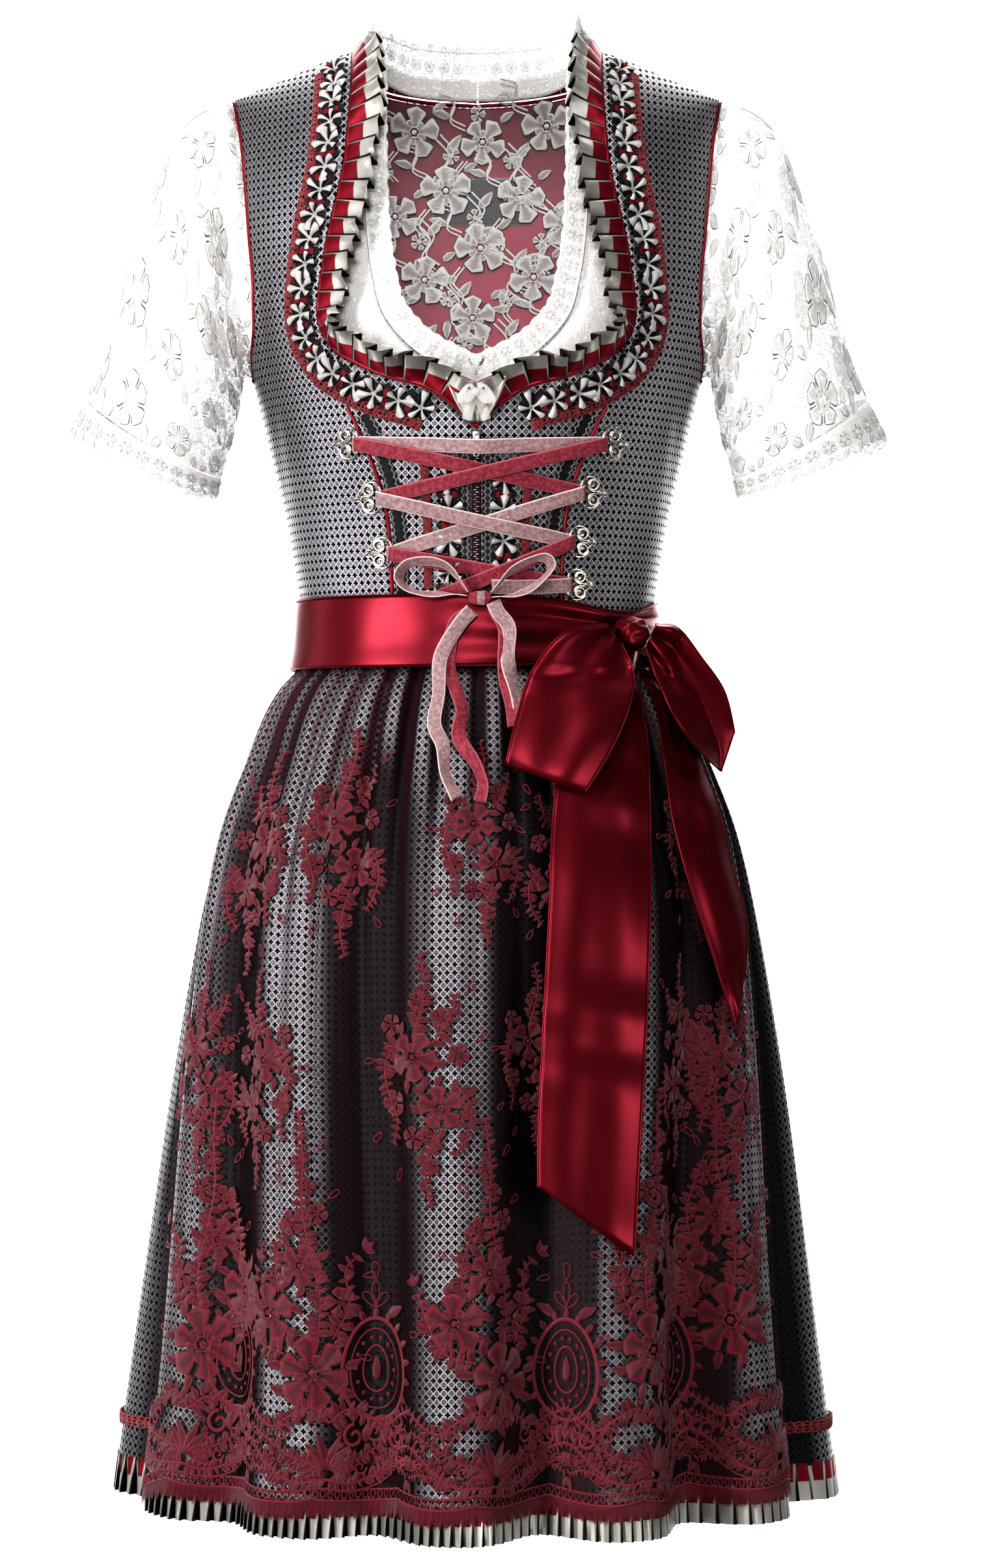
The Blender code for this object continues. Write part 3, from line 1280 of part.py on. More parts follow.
def make_everything():
    make_bodice()
    make_label()
    make_neck_piping()
    make_armhole_piping()
    make_bodice_trims()
    make_neck_ruffle()
    make_zip()
    make_zip_pull()
    make_hooks()
    make_lacing()
    make_lacing_bow()
    make_blouse_front()
    make_blouse_back()
    make_sleeves()
    make_neck_lace()
    make_skirt()
    make_apron()
    make_band()
    make_bow()


for leftover in list(bpy.data.objects):
    bpy.data.objects.remove(leftover)
make_everything()
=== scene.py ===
import math

import bpy
import numpy as np
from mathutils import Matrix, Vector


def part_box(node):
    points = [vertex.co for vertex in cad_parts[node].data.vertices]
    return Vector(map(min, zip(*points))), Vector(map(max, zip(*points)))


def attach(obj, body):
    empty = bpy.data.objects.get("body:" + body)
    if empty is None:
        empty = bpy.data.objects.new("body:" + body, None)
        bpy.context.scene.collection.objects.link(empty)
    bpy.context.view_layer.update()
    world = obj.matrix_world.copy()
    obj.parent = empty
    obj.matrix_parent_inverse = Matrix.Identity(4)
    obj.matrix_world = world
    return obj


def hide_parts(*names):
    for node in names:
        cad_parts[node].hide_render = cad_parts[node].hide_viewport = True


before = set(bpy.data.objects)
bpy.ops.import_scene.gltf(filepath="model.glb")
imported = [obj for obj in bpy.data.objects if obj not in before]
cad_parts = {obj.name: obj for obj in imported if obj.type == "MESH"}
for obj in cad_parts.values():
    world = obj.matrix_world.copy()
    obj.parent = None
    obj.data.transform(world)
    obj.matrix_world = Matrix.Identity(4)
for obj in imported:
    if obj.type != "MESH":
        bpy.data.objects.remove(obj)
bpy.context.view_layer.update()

MM = 0.001


# Camera, light and floor

def look_from(place, target, kind):
    """Object of a kind at a place, its -Z axis towards the target."""
    thing = bpy.data.objects.new(kind.name, kind)
    bpy.context.scene.collection.objects.link(thing)
    thing.location = place
    ahead = np.array(target, float) - np.array(place, float)
    flat = math.hypot(ahead[0], ahead[1])
    thing.rotation_euler = (math.pi / 2 + math.atan2(ahead[2], flat), 0, math.atan2(-ahead[0], ahead[1]))
    return thing


EYE, TARGET = (0.012, -2.55, -0.509), (0.012, 0.0, -0.509)
LENS, SENSOR_WIDTH = 82, 36
# Height of the floor, its front edge, the wall behind and the radius of the bend between them
FLOOR = (-1.45, 0.9, 8.0, 2.4)


def make_studio():
    eye = bpy.data.cameras.new("eye")
    eye.lens, eye.sensor_width = LENS, SENSOR_WIDTH
    camera = look_from(EYE, TARGET, eye)
    bpy.context.scene.camera = camera
    # Name, place, target, width, height and watts of each lamp
    lamps = (
        ("key", (-1.90, -1.75, -0.50), (0, 0, -0.60), 0.50, 1.9, 38),
        ("front", (-0.25, -2.7, 0.30), (0, 0, -0.6), 0.5, 0.5, 11),
        ("fill", (1.95, -1.45, -0.95), (0, 0, -0.75), 0.4, 1.3, 9),
        ("neck", (0.0, -0.95, 0.95), (0, 0.03, -0.12), 0.35, 0.25, 7),
        ("rim_left", (-1.9, 0.5, 0.0), (0, 0, -0.5), 0.8, 1.8, 4),
        ("wall_left", (-3.2, 4.6, 1.6), (-0.6, 8.0, -0.2), 2.5, 2.5, 330),
        ("wall_right", (3.2, 4.6, 1.6), (0.6, 8.0, -0.2), 2.5, 2.5, 330),
        ("floor_far", (0.0, 4.4, 3.0), (0.0, 5.0, -1.4), 4.0, 2.5, 260),
        ("floor_near", (0.0, 2.2, 2.6), (0.0, 2.6, -1.4), 3.0, 1.2, 90),
    )
    for name, place, target, wide, high, watts in lamps:
        lamp = bpy.data.lights.new(name, "AREA")
        lamp.shape = "RECTANGLE"
        lamp.size, lamp.size_y, lamp.energy = wide, high, watts
        lamp.spread = math.radians(150)
        look_from(place, target, lamp)
    world = bpy.data.worlds.new("studio")
    world.use_nodes = True
    background = world.node_tree.nodes["Background"]
    background.inputs["Color"].default_value = (1.0, 0.995, 0.99, 1)
    background.inputs["Strength"].default_value = 0.06
    bpy.context.scene.world = world
    bpy.context.scene.view_settings.view_transform = "Standard"
    bpy.context.scene.view_settings.look = "High Contrast"
    floor_z, front_y, back_y, bend = FLOOR
    profile = [(front_y, floor_z), (back_y - bend, floor_z)]
    profile += [(back_y - bend + bend * math.sin(a), floor_z + bend * (1 - math.cos(a)))
                for a in np.linspace(0, math.pi / 2, 17)]
    profile += [(back_y, 5.0)]
    grid = np.array([[(x, y, z) for x in (-7.0, 7.0)] for y, z in profile])
    floor = surface("floor", grid, paper(), None)


# Building meshes

def unit(v):
    return v / np.maximum(np.linalg.norm(v, axis=-1, keepdims=True), 1e-12)


def mix(a, b, t):
    return a + (b - a) * t


def ease(t):
    t = np.clip(t, 0.0, 1.0)
    return t * t * (3 - 2 * t)


def bell(x, centre, width):
    return np.exp(-((x - centre) / width) ** 2)


def noise(x, y, seed):
    """Smooth irregular waves between about -1 and 1."""
    total = 0.0
    for k in range(1, 6):
        total = total + np.sin(x * (0.7 + 0.53 * k) + y * (0.9 - 0.31 * k) + seed * 1.7 * k + k * k) / 3.2
    return total


def flip(points):
    return points * np.array((-1.0, 1.0, 1.0))


def measured(grid):
    """Cloth coordinates of a grid of points, in metres: across the rows and down the columns."""
    across = np.linalg.norm(np.diff(grid, axis=1), axis=-1)
    down = np.linalg.norm(np.diff(grid, axis=0), axis=-1)
    u = np.concatenate((np.zeros((len(grid), 1)), np.cumsum(across, axis=1)), axis=1)
    v = np.concatenate((np.zeros((1, grid.shape[1])), np.cumsum(down, axis=0)), axis=0)
    return np.stack((u, v), axis=-1)


class Pile:
    """Grids of points gathered into one mesh, with cloth coordinates and a tint for each point."""

    def __init__(self):
        self.points, self.uvs, self.tints, self.faces, self.count = [], [], [], [], 0
        self.grids = []

    def add(self, grid, uv=None, tint=0.0, about=None, turn_faces=False):
        grid = np.asarray(grid, float)
        rows, across = grid.shape[:2]
        uv = measured(grid) if uv is None else uv
        index = np.arange(rows * across).reshape(rows, across) + self.count
        self.grids.append(grid)
        quads = np.stack((index[:-1, :-1], index[:-1, 1:], index[1:, 1:], index[1:, :-1]), axis=-1)
        quads = quads.reshape(-1, 4)
        if about is not None:
            flat = grid.reshape(-1, 3)
            local = quads - self.count
            normal = np.cross(flat[local[:, 2]] - flat[local[:, 0]], flat[local[:, 3]] - flat[local[:, 1]])
            centre = flat[local].mean(axis=1)
            if np.sum(normal * (centre - np.asarray(about))) < 0:
                quads = quads[:, ::-1]
        if turn_faces:
            quads = quads[:, ::-1]
        self.points.append(grid.reshape(-1, 3))
        self.uvs.append(np.asarray(uv, float).reshape(-1, 2))
        self.tints.append(np.broadcast_to(tint, (rows, across)).reshape(-1))
        self.faces.append(quads)
        self.count += rows * across
        return self

    def take(self, other):
        """Adds all that another pile holds."""
        self.points += other.points
        self.uvs += other.uvs
        self.tints += other.tints
        self.faces += [f + self.count for f in other.faces]
        self.count += other.count

    def build(self, name, material, slot, thick=0.0, offset=-1):
        points, uvs, tints, faces = map(np.concatenate, (self.points, self.uvs, self.tints, self.faces))
        mesh = bpy.data.meshes.new(name)
        mesh.vertices.add(len(points))
        mesh.vertices.foreach_set("co", points.ravel())
        mesh.loops.add(faces.size)
        mesh.loops.foreach_set("vertex_index", faces.ravel().astype(np.int32))
        mesh.polygons.add(len(faces))
        mesh.polygons.foreach_set("loop_start", np.arange(0, faces.size, 4, dtype=np.int32))
        mesh.update(calc_edges=True)
        layer = mesh.uv_layers.new(name="cloth")
        layer.data.foreach_set("uv", uvs[faces.ravel()].ravel())
        attribute = mesh.attributes.new("tint", "FLOAT", "POINT")
        attribute.data.foreach_set("value", tints.astype(np.float32))
        mesh.shade_smooth()
        mesh.materials.append(material)
        thing = bpy.data.objects.new(name, mesh)
        bpy.context.scene.collection.objects.link(thing)
        if thick:
            wall = thing.modifiers.new("wall", "SOLIDIFY")
            wall.thickness = thick
            wall.offset = offset
        return thing


def surface(name, grid, material, slot, uv=None, thick=0.0, about=(0, 0, None), tint=0.0):
    """Sheet through a grid of points, its face away from the line or point about."""
    if about is not None and about[2] is None:
        about = (about[0], about[1], float(np.mean(grid[..., 2])))
    return Pile().add(grid, uv, tint, about).build(name, material, slot, thick)


def dress(thing, *nodes, body="garment"):
    """Put a piece on its body in place of CAD nodes."""
    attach(thing, body)
    if nodes:
        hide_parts(*nodes)
    return thing


def tube_grid(points, radius, sides=8, normal=(0.0, -1.0, 0.0)):
    """Rings of a radius round a path."""
    points = np.asarray(points, float)
    ahead = unit(np.gradient(points, axis=0))
    side = unit(np.cross(ahead, np.broadcast_to(normal, points.shape)))
    lift = np.cross(side, ahead)
    phase = np.linspace(0, math.tau, sides + 1)[None, :, None]
    return points[:, None] + radius * (side[:, None] * np.cos(phase) + lift[:, None] * np.sin(phase))


def smooth_rows(table, per_row):
    """Rows of a table joined by smooth curves, per_row rows between two of them."""
    rows = np.array(table, float)
    p = np.vstack((2 * rows[0] - rows[1], rows, 2 * rows[-1] - rows[-2]))
    t = np.linspace(0, 1, per_row, endpoint=False)[:, None]
    dense = [0.5 * (2 * p[i] + (p[i + 1] - p[i - 1]) * t
                    + (2 * p[i - 1] - 5 * p[i] + 4 * p[i + 1] - p[i + 2]) * t ** 2
                    + (3 * p[i] - p[i - 1] - 3 * p[i + 1] + p[i + 2]) * t ** 3)
             for i in range(1, len(p) - 2)]
    return np.vstack(dense + [rows[-1:]])


def spread(at, run, rows):
    """Rows of numbers at distances along a run, joined by straight lines."""
    return np.stack([np.interp(at, run, rows[:, i]) for i in range(rows.shape[1])], axis=-1)


def through(points, count, smooth=24):
    """A smooth curve through the points, at count + 1 places evenly spaced along it."""
    path = smooth_rows(points, smooth)
    run = arc(path)
    return spread(np.linspace(0, run[-1], count + 1), run, path)


def arc(path):
    return np.concatenate(([0], np.cumsum(np.linalg.norm(np.diff(path, axis=0), axis=1))))


# Shader nodes

class Net:
    """Nodes of one material, added by short calls that return sockets."""

    def __init__(self, name, **settings):
        self.material = bpy.data.materials.new(name)
        self.material.use_nodes = True
        self.tree = self.material.node_tree
        self.shader = self.tree.nodes["Principled BSDF"]
        for key, value in settings.items():
            self.shader.inputs[key.replace("_", " ")].default_value = value

    def node(self, kind, *values, **settings):
        made = self.tree.nodes.new("ShaderNode" + kind)
        for key, value in settings.items():
            setattr(made, key, value)
        for socket, value in zip(made.inputs, values):
            self.give(socket, value)
        return made

    def give(self, socket, value):
        if value is None:
            return
        if isinstance(value, bpy.types.NodeSocket):
            self.tree.links.new(value, socket)
        else:
            socket.default_value = value

    def math(self, operation, a, b=None, c=None):
        return self.node("Math", a, b, c, operation=operation).outputs[0]

    def step(self, value, low, high, to_low=0.0, to_high=1.0):
        made = self.node("MapRange", value, low, high, to_low, to_high, interpolation_type="SMOOTHSTEP")
        return made.outputs[0]

    def colour(self, share, a, b):
        made = self.node("Mix", data_type="RGBA")
        self.give(made.inputs["Factor"], share)
        self.give(made.inputs[6], (*a, 1) if isinstance(a, tuple) else a)
        self.give(made.inputs[7], (*b, 1) if isinstance(b, tuple) else b)
        return made.outputs[2]

    def uv(self):
        split = self.node("SeparateXYZ", self.node("UVMap", uv_map="cloth").outputs[0])
        return split.outputs[0], split.outputs[1]

    def tint(self):
        return self.node("Attribute", attribute_name="tint").outputs["Fac"]

    def grain(self, scale, detail=2.0):
        made = self.node("TexNoise")
        made.inputs["Scale"].default_value = scale
        made.inputs["Detail"].default_value = detail
        self.give(made.inputs["Vector"], self.node("TexCoord").outputs["Object"])
        return made.outputs["Fac"]

    def weave(self, pitch_u, pitch_v):
        """Height of over and under threads at the given pitches."""
        u, v = self.uv()
        a = self.math("SINE", self.math("MULTIPLY", u, math.tau / pitch_u))
        b = self.math("SINE", self.math("MULTIPLY", v, math.tau / pitch_v))
        return self.math("MULTIPLY", a, b)

    def bump(self, height, distance, strength):
        made = self.node("Bump")
        made.inputs["Strength"].default_value = strength
        made.inputs["Distance"].default_value = distance
        self.give(made.inputs["Height"], height)
        self.give(self.shader.inputs["Normal"], made.outputs[0])
        return self

    def done(self, **links):
        for key, value in links.items():
            self.give(self.shader.inputs[key.replace("_", " ")], value)
        return self.material


def paper():
    net = Net("floor_paper", Roughness=0.9)
    shade = net.colour(net.grain(3.0), (0.86, 0.855, 0.85), (0.88, 0.875, 0.87))
    return net.done(Base_Color=shade)


JACQUARD_ACROSS = 5.2 * MM
JACQUARD_DOWN = 5.6 * MM


def jacquard():
    """Rings of pale thread on a lattice, dark hollows between them, both woven."""
    net = Net("jacquard_silk", Metallic=0.75, Specular_IOR_Level=0.5)
    u, v = net.uv()

    def cell(value, pitch):
        share = net.math("FRACT", net.math("DIVIDE", value, pitch))
        return net.math("ABSOLUTE", net.math("SUBTRACT", share, 0.5))

    x, y = cell(u, JACQUARD_ACROSS), cell(v, JACQUARD_DOWN)
    power = 1.45
    reach = net.math("POWER", net.math("ADD", net.math("POWER", x, power), net.math("POWER", y, power)),
                     1 / power)
    pale = net.step(reach, 0.53, 0.47)
    ring = net.math("MULTIPLY", pale, net.step(reach, 0.33, 0.40))
    drift = net.grain(9.0, 3.0)
    heart = net.colour(net.step(drift, 0.35, 0.65), (0.115, 0.105, 0.120), (0.225, 0.208, 0.235))
    thread = net.grain(1400.0, 1.0)
    bright = net.colour(thread, (0.48, 0.47, 0.49), (0.68, 0.67, 0.69))
    shade = net.colour(pale, (0.012, 0.011, 0.013), net.colour(ring, heart, bright))
    rough = net.step(pale, 0.0, 1.0, 0.75, 0.36)
    weave = net.weave(0.5 * MM, 0.5 * MM)
    height = net.math("ADD", net.math("MULTIPLY", weave, 0.25), pale)
    # Painted shade: where the tint (how deep the place lies in the skirt's folds) is high, the silk is
    # painted near black.
    painted_valley_shade = net.step(net.tint(), 0.10, 0.56, 0.0, 0.97)
    shade = net.colour(painted_valley_shade, shade, (0.006, 0.005, 0.007))
    return net.bump(height, 0.25 * MM, 0.6).done(Base_Color=shade, Roughness=rough)


def satin(name, deep, bright, roughness=0.30, pitch=0.35 * MM, metallic=0.5):
    net = Net(name, Roughness=roughness, Metallic=metallic)
    shade = net.colour(net.grain(22.0, 2.0), deep, bright)
    return net.bump(net.weave(pitch, pitch * 1.6), 0.02 * MM, 0.2).done(Base_Color=shade)


def ribbon_two_tone():
    """Satin ribbon, red along its sewn half and silver along its free half, with painted shade in the folds
    of its pleats.
    """
    net = Net("ribbon_two_tone", Roughness=0.32, Metallic=0.7)
    # Painted shade: where the tint passes 1, in the folded-back parts of the pleats, the ribbon is painted
    # near black.
    painted_pleat_shade = net.step(net.tint(), 1.0, 1.9)
    split = net.step(net.math("MODULO", net.tint(), 2.0), 0.47, 0.50)
    red = net.colour(net.grain(30.0), (0.20, 0.006, 0.018), (0.32, 0.010, 0.028))
    silver = net.colour(net.grain(30.0), (0.50, 0.48, 0.44), (0.66, 0.64, 0.59))
    height = net.math("ADD", net.weave(0.4 * MM, 0.9 * MM), net.math("MULTIPLY", net.grain(80.0), 2.0))
    shade = net.colour(painted_pleat_shade, net.colour(split, red, silver), (0.010, 0.006, 0.007))
    return net.bump(height, 0.12 * MM, 0.5).done(Base_Color=shade)


def ribbon_by_tint(name, colours, roughness=0.36):
    """Satin ribbon whose tint 0, 1, 2 … picks a colour."""
    net = Net(name, Roughness=roughness, Metallic=0.3)
    shade = colours[0]
    for k, colour in enumerate(colours[1:]):
        shade = net.colour(net.step(net.tint(), k + 0.4, k + 0.6), shade, colour)
    height = net.math("ADD", net.weave(0.4 * MM, 0.7 * MM), net.math("MULTIPLY", net.grain(90.0), 2.0))
    worn = net.colour(net.step(net.grain(160.0), 0.3, 0.75), (0.80, 0.80, 0.80), (1.0, 1.0, 1.0))
    mixed = net.node("Mix", data_type="RGBA", blend_type="MULTIPLY")
    net.give(mixed.inputs["Factor"], 1.0)
    net.give(mixed.inputs[6], (*shade, 1) if isinstance(shade, tuple) else shade)
    net.give(mixed.inputs[7], worn)
    return net.bump(height, 0.12 * MM, 0.5).done(Base_Color=mixed.outputs[2])


def thread(name, dark, light, roughness=0.55, pitch=0.5 * MM, rim=None, through=1.0):
    """Twisted thread; where the tint is 1 it is a raised cord in the rim's colour, and where it is 2 it is
    painted near black as a painted shadow.
    """
    net = Net(name, Roughness=roughness, Sheen_Weight=0.35, Sheen_Roughness=0.45)
    u, v = net.uv()
    twist = net.math("SINE", net.math("MULTIPLY", net.math("ADD", u, v), math.tau / pitch))
    shade = net.colour(net.step(twist, -1.0, 1.0, 0.15, 0.85), dark, light)
    shade = net.colour(net.step(net.grain(45.0), 0.3, 0.7, 0.0, 0.35), shade, dark)
    corded = net.step(net.tint(), 0.3, 0.9)
    if rim:
        shade = net.colour(corded, shade, rim)
    # Painted shadow: where the tint passes 1.15, round the edges of petals and leaves, the thread is painted
    # near black.
    shade = net.colour(net.step(net.tint(), 1.15, 1.75), shade, tuple(0.08 * c for c in dark))
    if through < 1:
        net.done(Alpha=net.math("MULTIPLY_ADD", corded, 1 - through, through))
    return net.bump(twist, 0.12 * MM, 0.7).done(Base_Color=shade)


NET_PITCH = 1.3 * MM


def lace_sheet(name, ground, cloth, alpha, worked=0.0):
    """Net ground of fine thread with see-through holes, partly filled by worked patches."""
    net = Net(name, Roughness=0.7, Sheen_Weight=0.2)
    u, v = net.uv()
    waves = [net.math("SINE", net.math("MULTIPLY", net.math(way, u, v), math.pi / NET_PITCH))
             for way in ("ADD", "SUBTRACT")]
    strand = net.step(net.math("MINIMUM", *(net.math("ABSOLUTE", wave) for wave in waves)), 0.30, 0.12)
    cover = net.math("MAXIMUM", net.math("MULTIPLY", strand, ground), alpha)
    raised = strand
    if worked:
        cells = net.node("TexVoronoi", feature="DISTANCE_TO_EDGE")
        cells.inputs["Scale"].default_value = worked
        patch = net.step(cells.outputs["Distance"], 0.10, 0.16)
        petals = net.node("TexVoronoi")
        petals.inputs["Scale"].default_value = worked * 3.2
        fill = net.math("MULTIPLY", patch, net.step(petals.outputs["Distance"], 0.55, 0.35))
        outline = net.math("SUBTRACT", net.step(cells.outputs["Distance"], 0.02, 0.05),
                           net.step(cells.outputs["Distance"], 0.07, 0.10))
        solid = net.math("MAXIMUM", fill, outline)
        cover = net.math("MAXIMUM", cover, net.math("MULTIPLY", solid, 0.97))
        raised = net.math("ADD", strand, net.math("MULTIPLY", solid, 2.0))
        coordinates = net.node("TexCoord").outputs["Object"]
        net.give(cells.inputs["Vector"], coordinates)
        net.give(petals.inputs["Vector"], coordinates)
    shade = net.colour(net.grain(30.0), cloth, tuple(min(1.0, c * 1.06) for c in cloth))
    return net.bump(raised, 0.15 * MM, 0.5).done(Base_Color=shade, Alpha=cover)


def metal(name, bright, dark, roughness):
    net = Net(name, Metallic=1.0, Roughness=roughness)
    shade = net.colour(net.step(net.grain(260.0, 3.0), 0.35, 0.65), dark, bright)
    return net.bump(net.grain(700.0), 0.05 * MM, 0.4).done(Base_Color=shade)

# Driving dimensions of the cloth and its layers, as in the part's source
SEAM_GAP = 0.3 * MM
BODICE_WALL = 1.5 * MM
LINING_OUT = -1.8 * MM
LINING_WALL = 1.0 * MM
LABEL_OUT = -3.2 * MM
LABEL_WALL = 0.6 * MM
BLOUSE_OUT = -4.6 * MM
APRON_WALL = 1.0 * MM

# Levels
NECK_HALF = 0.089
NECK_Z = 0.0135
SHOULDER_SLOPE = -0.41
SHOULDER_ROUNDING = 0.11
SHOULDER_TIP = 0.173
UNDERARM_Z = -0.226
WAIST_Z = -0.402
BELT_TOP_Z = -0.379
BELT_BOTTOM_Z = -0.428
SKIRT_HEM_Z = -0.984
RIBBON_HEM_Z = -1.008
GIMP_HEM_Z = -0.957
BLOUSE_HEM_Z = -0.300
ZIP_HALF = 3.5 * MM

# Counts
WAIST_PLEATS = 40
LARGE_FOLDS = 13
RUFFLE_PITCH = 13 * MM
ROSETTE_PITCH = 17 * MM
HIDDEN_BACK_ROWS = 2


class Table:
    """Rows of named columns, read along the first one with a smooth curve that never overshoots."""

    def __init__(self, names, rows):
        data = np.array(sorted(rows), dtype=float)
        self.at = data[:, 0]
        self.columns = {name: data[:, i] for i, name in enumerate(names)}
        self.slopes = {name: self.tangents(values) for name, values in self.columns.items()}

    def tangents(self, values):
        rates = np.diff(values) / np.diff(self.at)
        slopes = np.zeros(len(values))
        slopes[0], slopes[-1] = rates[0], rates[-1]
        for i in range(1, len(values) - 1):
            if rates[i - 1] * rates[i] > 0:
                slopes[i] = 2 / (1 / rates[i - 1] + 1 / rates[i])
        return slopes

    def read(self, name, at):
        at = np.clip(at, self.at[0], self.at[-1])
        i = np.clip(np.searchsorted(self.at, at) - 1, 0, len(self.at) - 2)
        step = self.at[i + 1] - self.at[i]
        t = (at - self.at[i]) / step
        low, high = self.columns[name][i], self.columns[name][i + 1]
        low_slope, high_slope = self.slopes[name][i] * step, self.slopes[name][i + 1] * step
        return ((1 + 2 * t) * (1 - t) ** 2 * low + t * (1 - t) ** 2 * low_slope
                + t * t * (3 - 2 * t) * high + t * t * (t - 1) * high_slope)


# Sections of the filled bodice: half width, and how far the front and the back reach
TORSO = Table(("z", "half_width", "front", "back"), (
    (0.030, 0.1750, 0.100, 0.085),
    (-0.060, 0.1755, 0.107, 0.095),
    (-0.150, 0.1750, 0.121, 0.100),
    (-0.190, 0.1685, 0.127, 0.100),
    (-0.226, 0.1590, 0.128, 0.098),
    (-0.256, 0.1520, 0.125, 0.095),
    (-0.289, 0.1440, 0.118, 0.091),
    (-0.317, 0.1370, 0.110, 0.088),
    (-0.344, 0.1320, 0.103, 0.086),
    (-0.372, 0.1275, 0.097, 0.085),
    (-0.402, 0.1235, 0.093, 0.084),
))

# The armhole's distance from the middle, seen from the front
ARMHOLE = Table(("z", "x"), (
    (-0.2260, 0.1590), (-0.2120, 0.1590), (-0.1900, 0.1560), (-0.1630, 0.1558), (-0.1258, 0.1590),
    (-0.0886, 0.1623), (-0.0514, 0.1665), (-0.0210, 0.1730),
))

# Sections of the skirt at its outermost folds, and how deep pleats and folds cut in
SKIRT = Table(("z", "half_width", "half_depth", "pleat", "fold"), (
    (-0.4020, 0.1225, 0.092, 1.6 * MM, 0.0),
    (-0.4150, 0.1240, 0.094, 2.4 * MM, 0.0),
    (-0.4280, 0.1290, 0.100, 5.0 * MM, 0.5 * MM),
    (-0.4400, 0.1405, 0.110, 6.5 * MM, 1.5 * MM),
    (-0.4610, 0.1535, 0.121, 7.0 * MM, 3.5 * MM),
    (-0.4890, 0.1655, 0.132, 6.5 * MM, 6.0 * MM),
    (-0.5440, 0.1870, 0.148, 5.0 * MM, 10.0 * MM),
    (-0.6000, 0.2000, 0.159, 3.5 * MM, 14.0 * MM),
    (-0.7120, 0.2180, 0.176, 2.0 * MM, 21.0 * MM),
    (-0.8230, 0.2330, 0.192, 1.0 * MM, 28.0 * MM),
    (-0.9350, 0.2480, 0.208, 0.4 * MM, 33.0 * MM),
    (-1.0200, 0.2590, 0.219, 0.0, 35.0 * MM),
))
SKIRT_COLUMNS = 2 * WAIST_PLEATS
SKIRT_ROWS = (-0.4023, -0.430, -0.452, -0.500, -0.590, -0.730, -0.890, SKIRT_HEM_Z)
FOLD_LEAN = math.radians(18)
FOLD_START = math.radians(10.7)
APRON_REACH = 19

# Outer face of the waistband, which stands off the lacing in front
BELT = Table(("z", "half_width", "half_depth"), (
    (-0.4280, 0.1345, 0.1075),
    (-0.4120, 0.1310, 0.1050),
    (-0.3950, 0.1297, 0.1040),
    (-0.3790, 0.1292, 0.1035),
))

# Neckline of the bodice, from the point of the V over the heart-shaped corner to the shoulder
NECK_CORNER = 5
NECK_FRONT = (
    (0.0000, -0.2680), (0.0164, -0.2529), (0.0359, -0.2405), (0.0651, -0.2316),
    (0.0930, -0.2170), (0.1035, -0.2060), (0.1085, -0.1960), (0.1104, -0.1810), (0.1068, -0.1520),
    (0.1023, -0.1267), (0.0927, -0.0830), (0.0883, -0.0262), (NECK_HALF, NECK_Z),
)
NECK_BACK = (
    (NECK_HALF, NECK_Z), (0.0865, 0.0010), (0.0700, -0.0070), (0.0400, -0.0105), (0.0, -0.0115),
)
# Princess seam between the stomacher and the side front, from the waist to the neckline's corner
PRINCESS = (
    (0.0570, -0.4020), (0.0583, -0.3750), (0.0598, -0.3390), (0.0652, -0.3070),
    (0.0797, -0.2687), (0.0915, -0.2440), (0.1035, -0.2060),
)
# Where the lace edging is sewn to the blouse
BLOUSE_NECK_FRONT = (
    (0.0000, -0.2375), (0.0235, -0.2263), (0.0455, -0.2125), (0.0650, -0.1890), (0.0727, -0.1610),
    (0.0770, -0.1310), (0.0790, -0.0905), (0.0800, -0.0238), (0.0795, 0.0174),
)
BLOUSE_NECK_BACK = (
    (0.0795, 0.0174), (0.0740, 0.0060), (0.0550, -0.0030), (0.0300, -0.0055), (0.0, -0.0060),
)

BELT_WALL = 1.2 * MM
KNOT_HEADING = math.radians(52)
KNOT_CENTRE = np.array((0.10695, -0.07743, -0.4050))
BLOUSE_TUCK = 2.2 * MM
APRON_LIFT = Table(("z", "lift"), (
    (-0.4285, 1.0 * MM), (-0.600, 1.4 * MM), (-0.900, 2.9 * MM), (-1.020, 3.0 * MM)))
SLEEVE = Table(("share", "outer_x", "outer_z", "inner_x", "inner_z", "depth"), (
    (0.00, 0.1840, -0.0250, 0.1660, -0.2190, 0.043),
    (0.14, 0.2110, -0.0420, 0.1690, -0.2310, 0.056),
    (0.30, 0.2279, -0.0789, 0.1710, -0.2430, 0.061),
    (0.55, 0.2470, -0.1351, 0.1755, -0.2620, 0.061),
    (0.78, 0.2605, -0.1830, 0.1795, -0.2760, 0.059),
    (1.00, 0.2777, -0.2333, 0.1830, -0.2890, 0.055),
    (1.35, 0.2935, -0.2649, 0.1865, -0.3053, 0.055),
))
SLEEVE_DIP = 10 * MM
CUFF_END = 1.35
BAR_OUT = 4.8 * MM
LACING_WIDTH = 10 * MM
LACING_WALL = 0.6 * MM
LACING_KNOT = (0.0020, -0.3800, 12.6 * MM)
FOLDS = {
    "right_1": (0.0856, -0.2750), "right_2": (0.0709, -0.3080), "right_3": (0.0638, -0.3415),
    "right_4": (0.0620, -0.3710),
    "left_1": (-0.0807, -0.2750), "left_2": (-0.0651, -0.3120), "left_3": (-0.0580, -0.3495),
}
ZIP_TOP_Z = -0.2690
SLIDER_Z = -0.2715

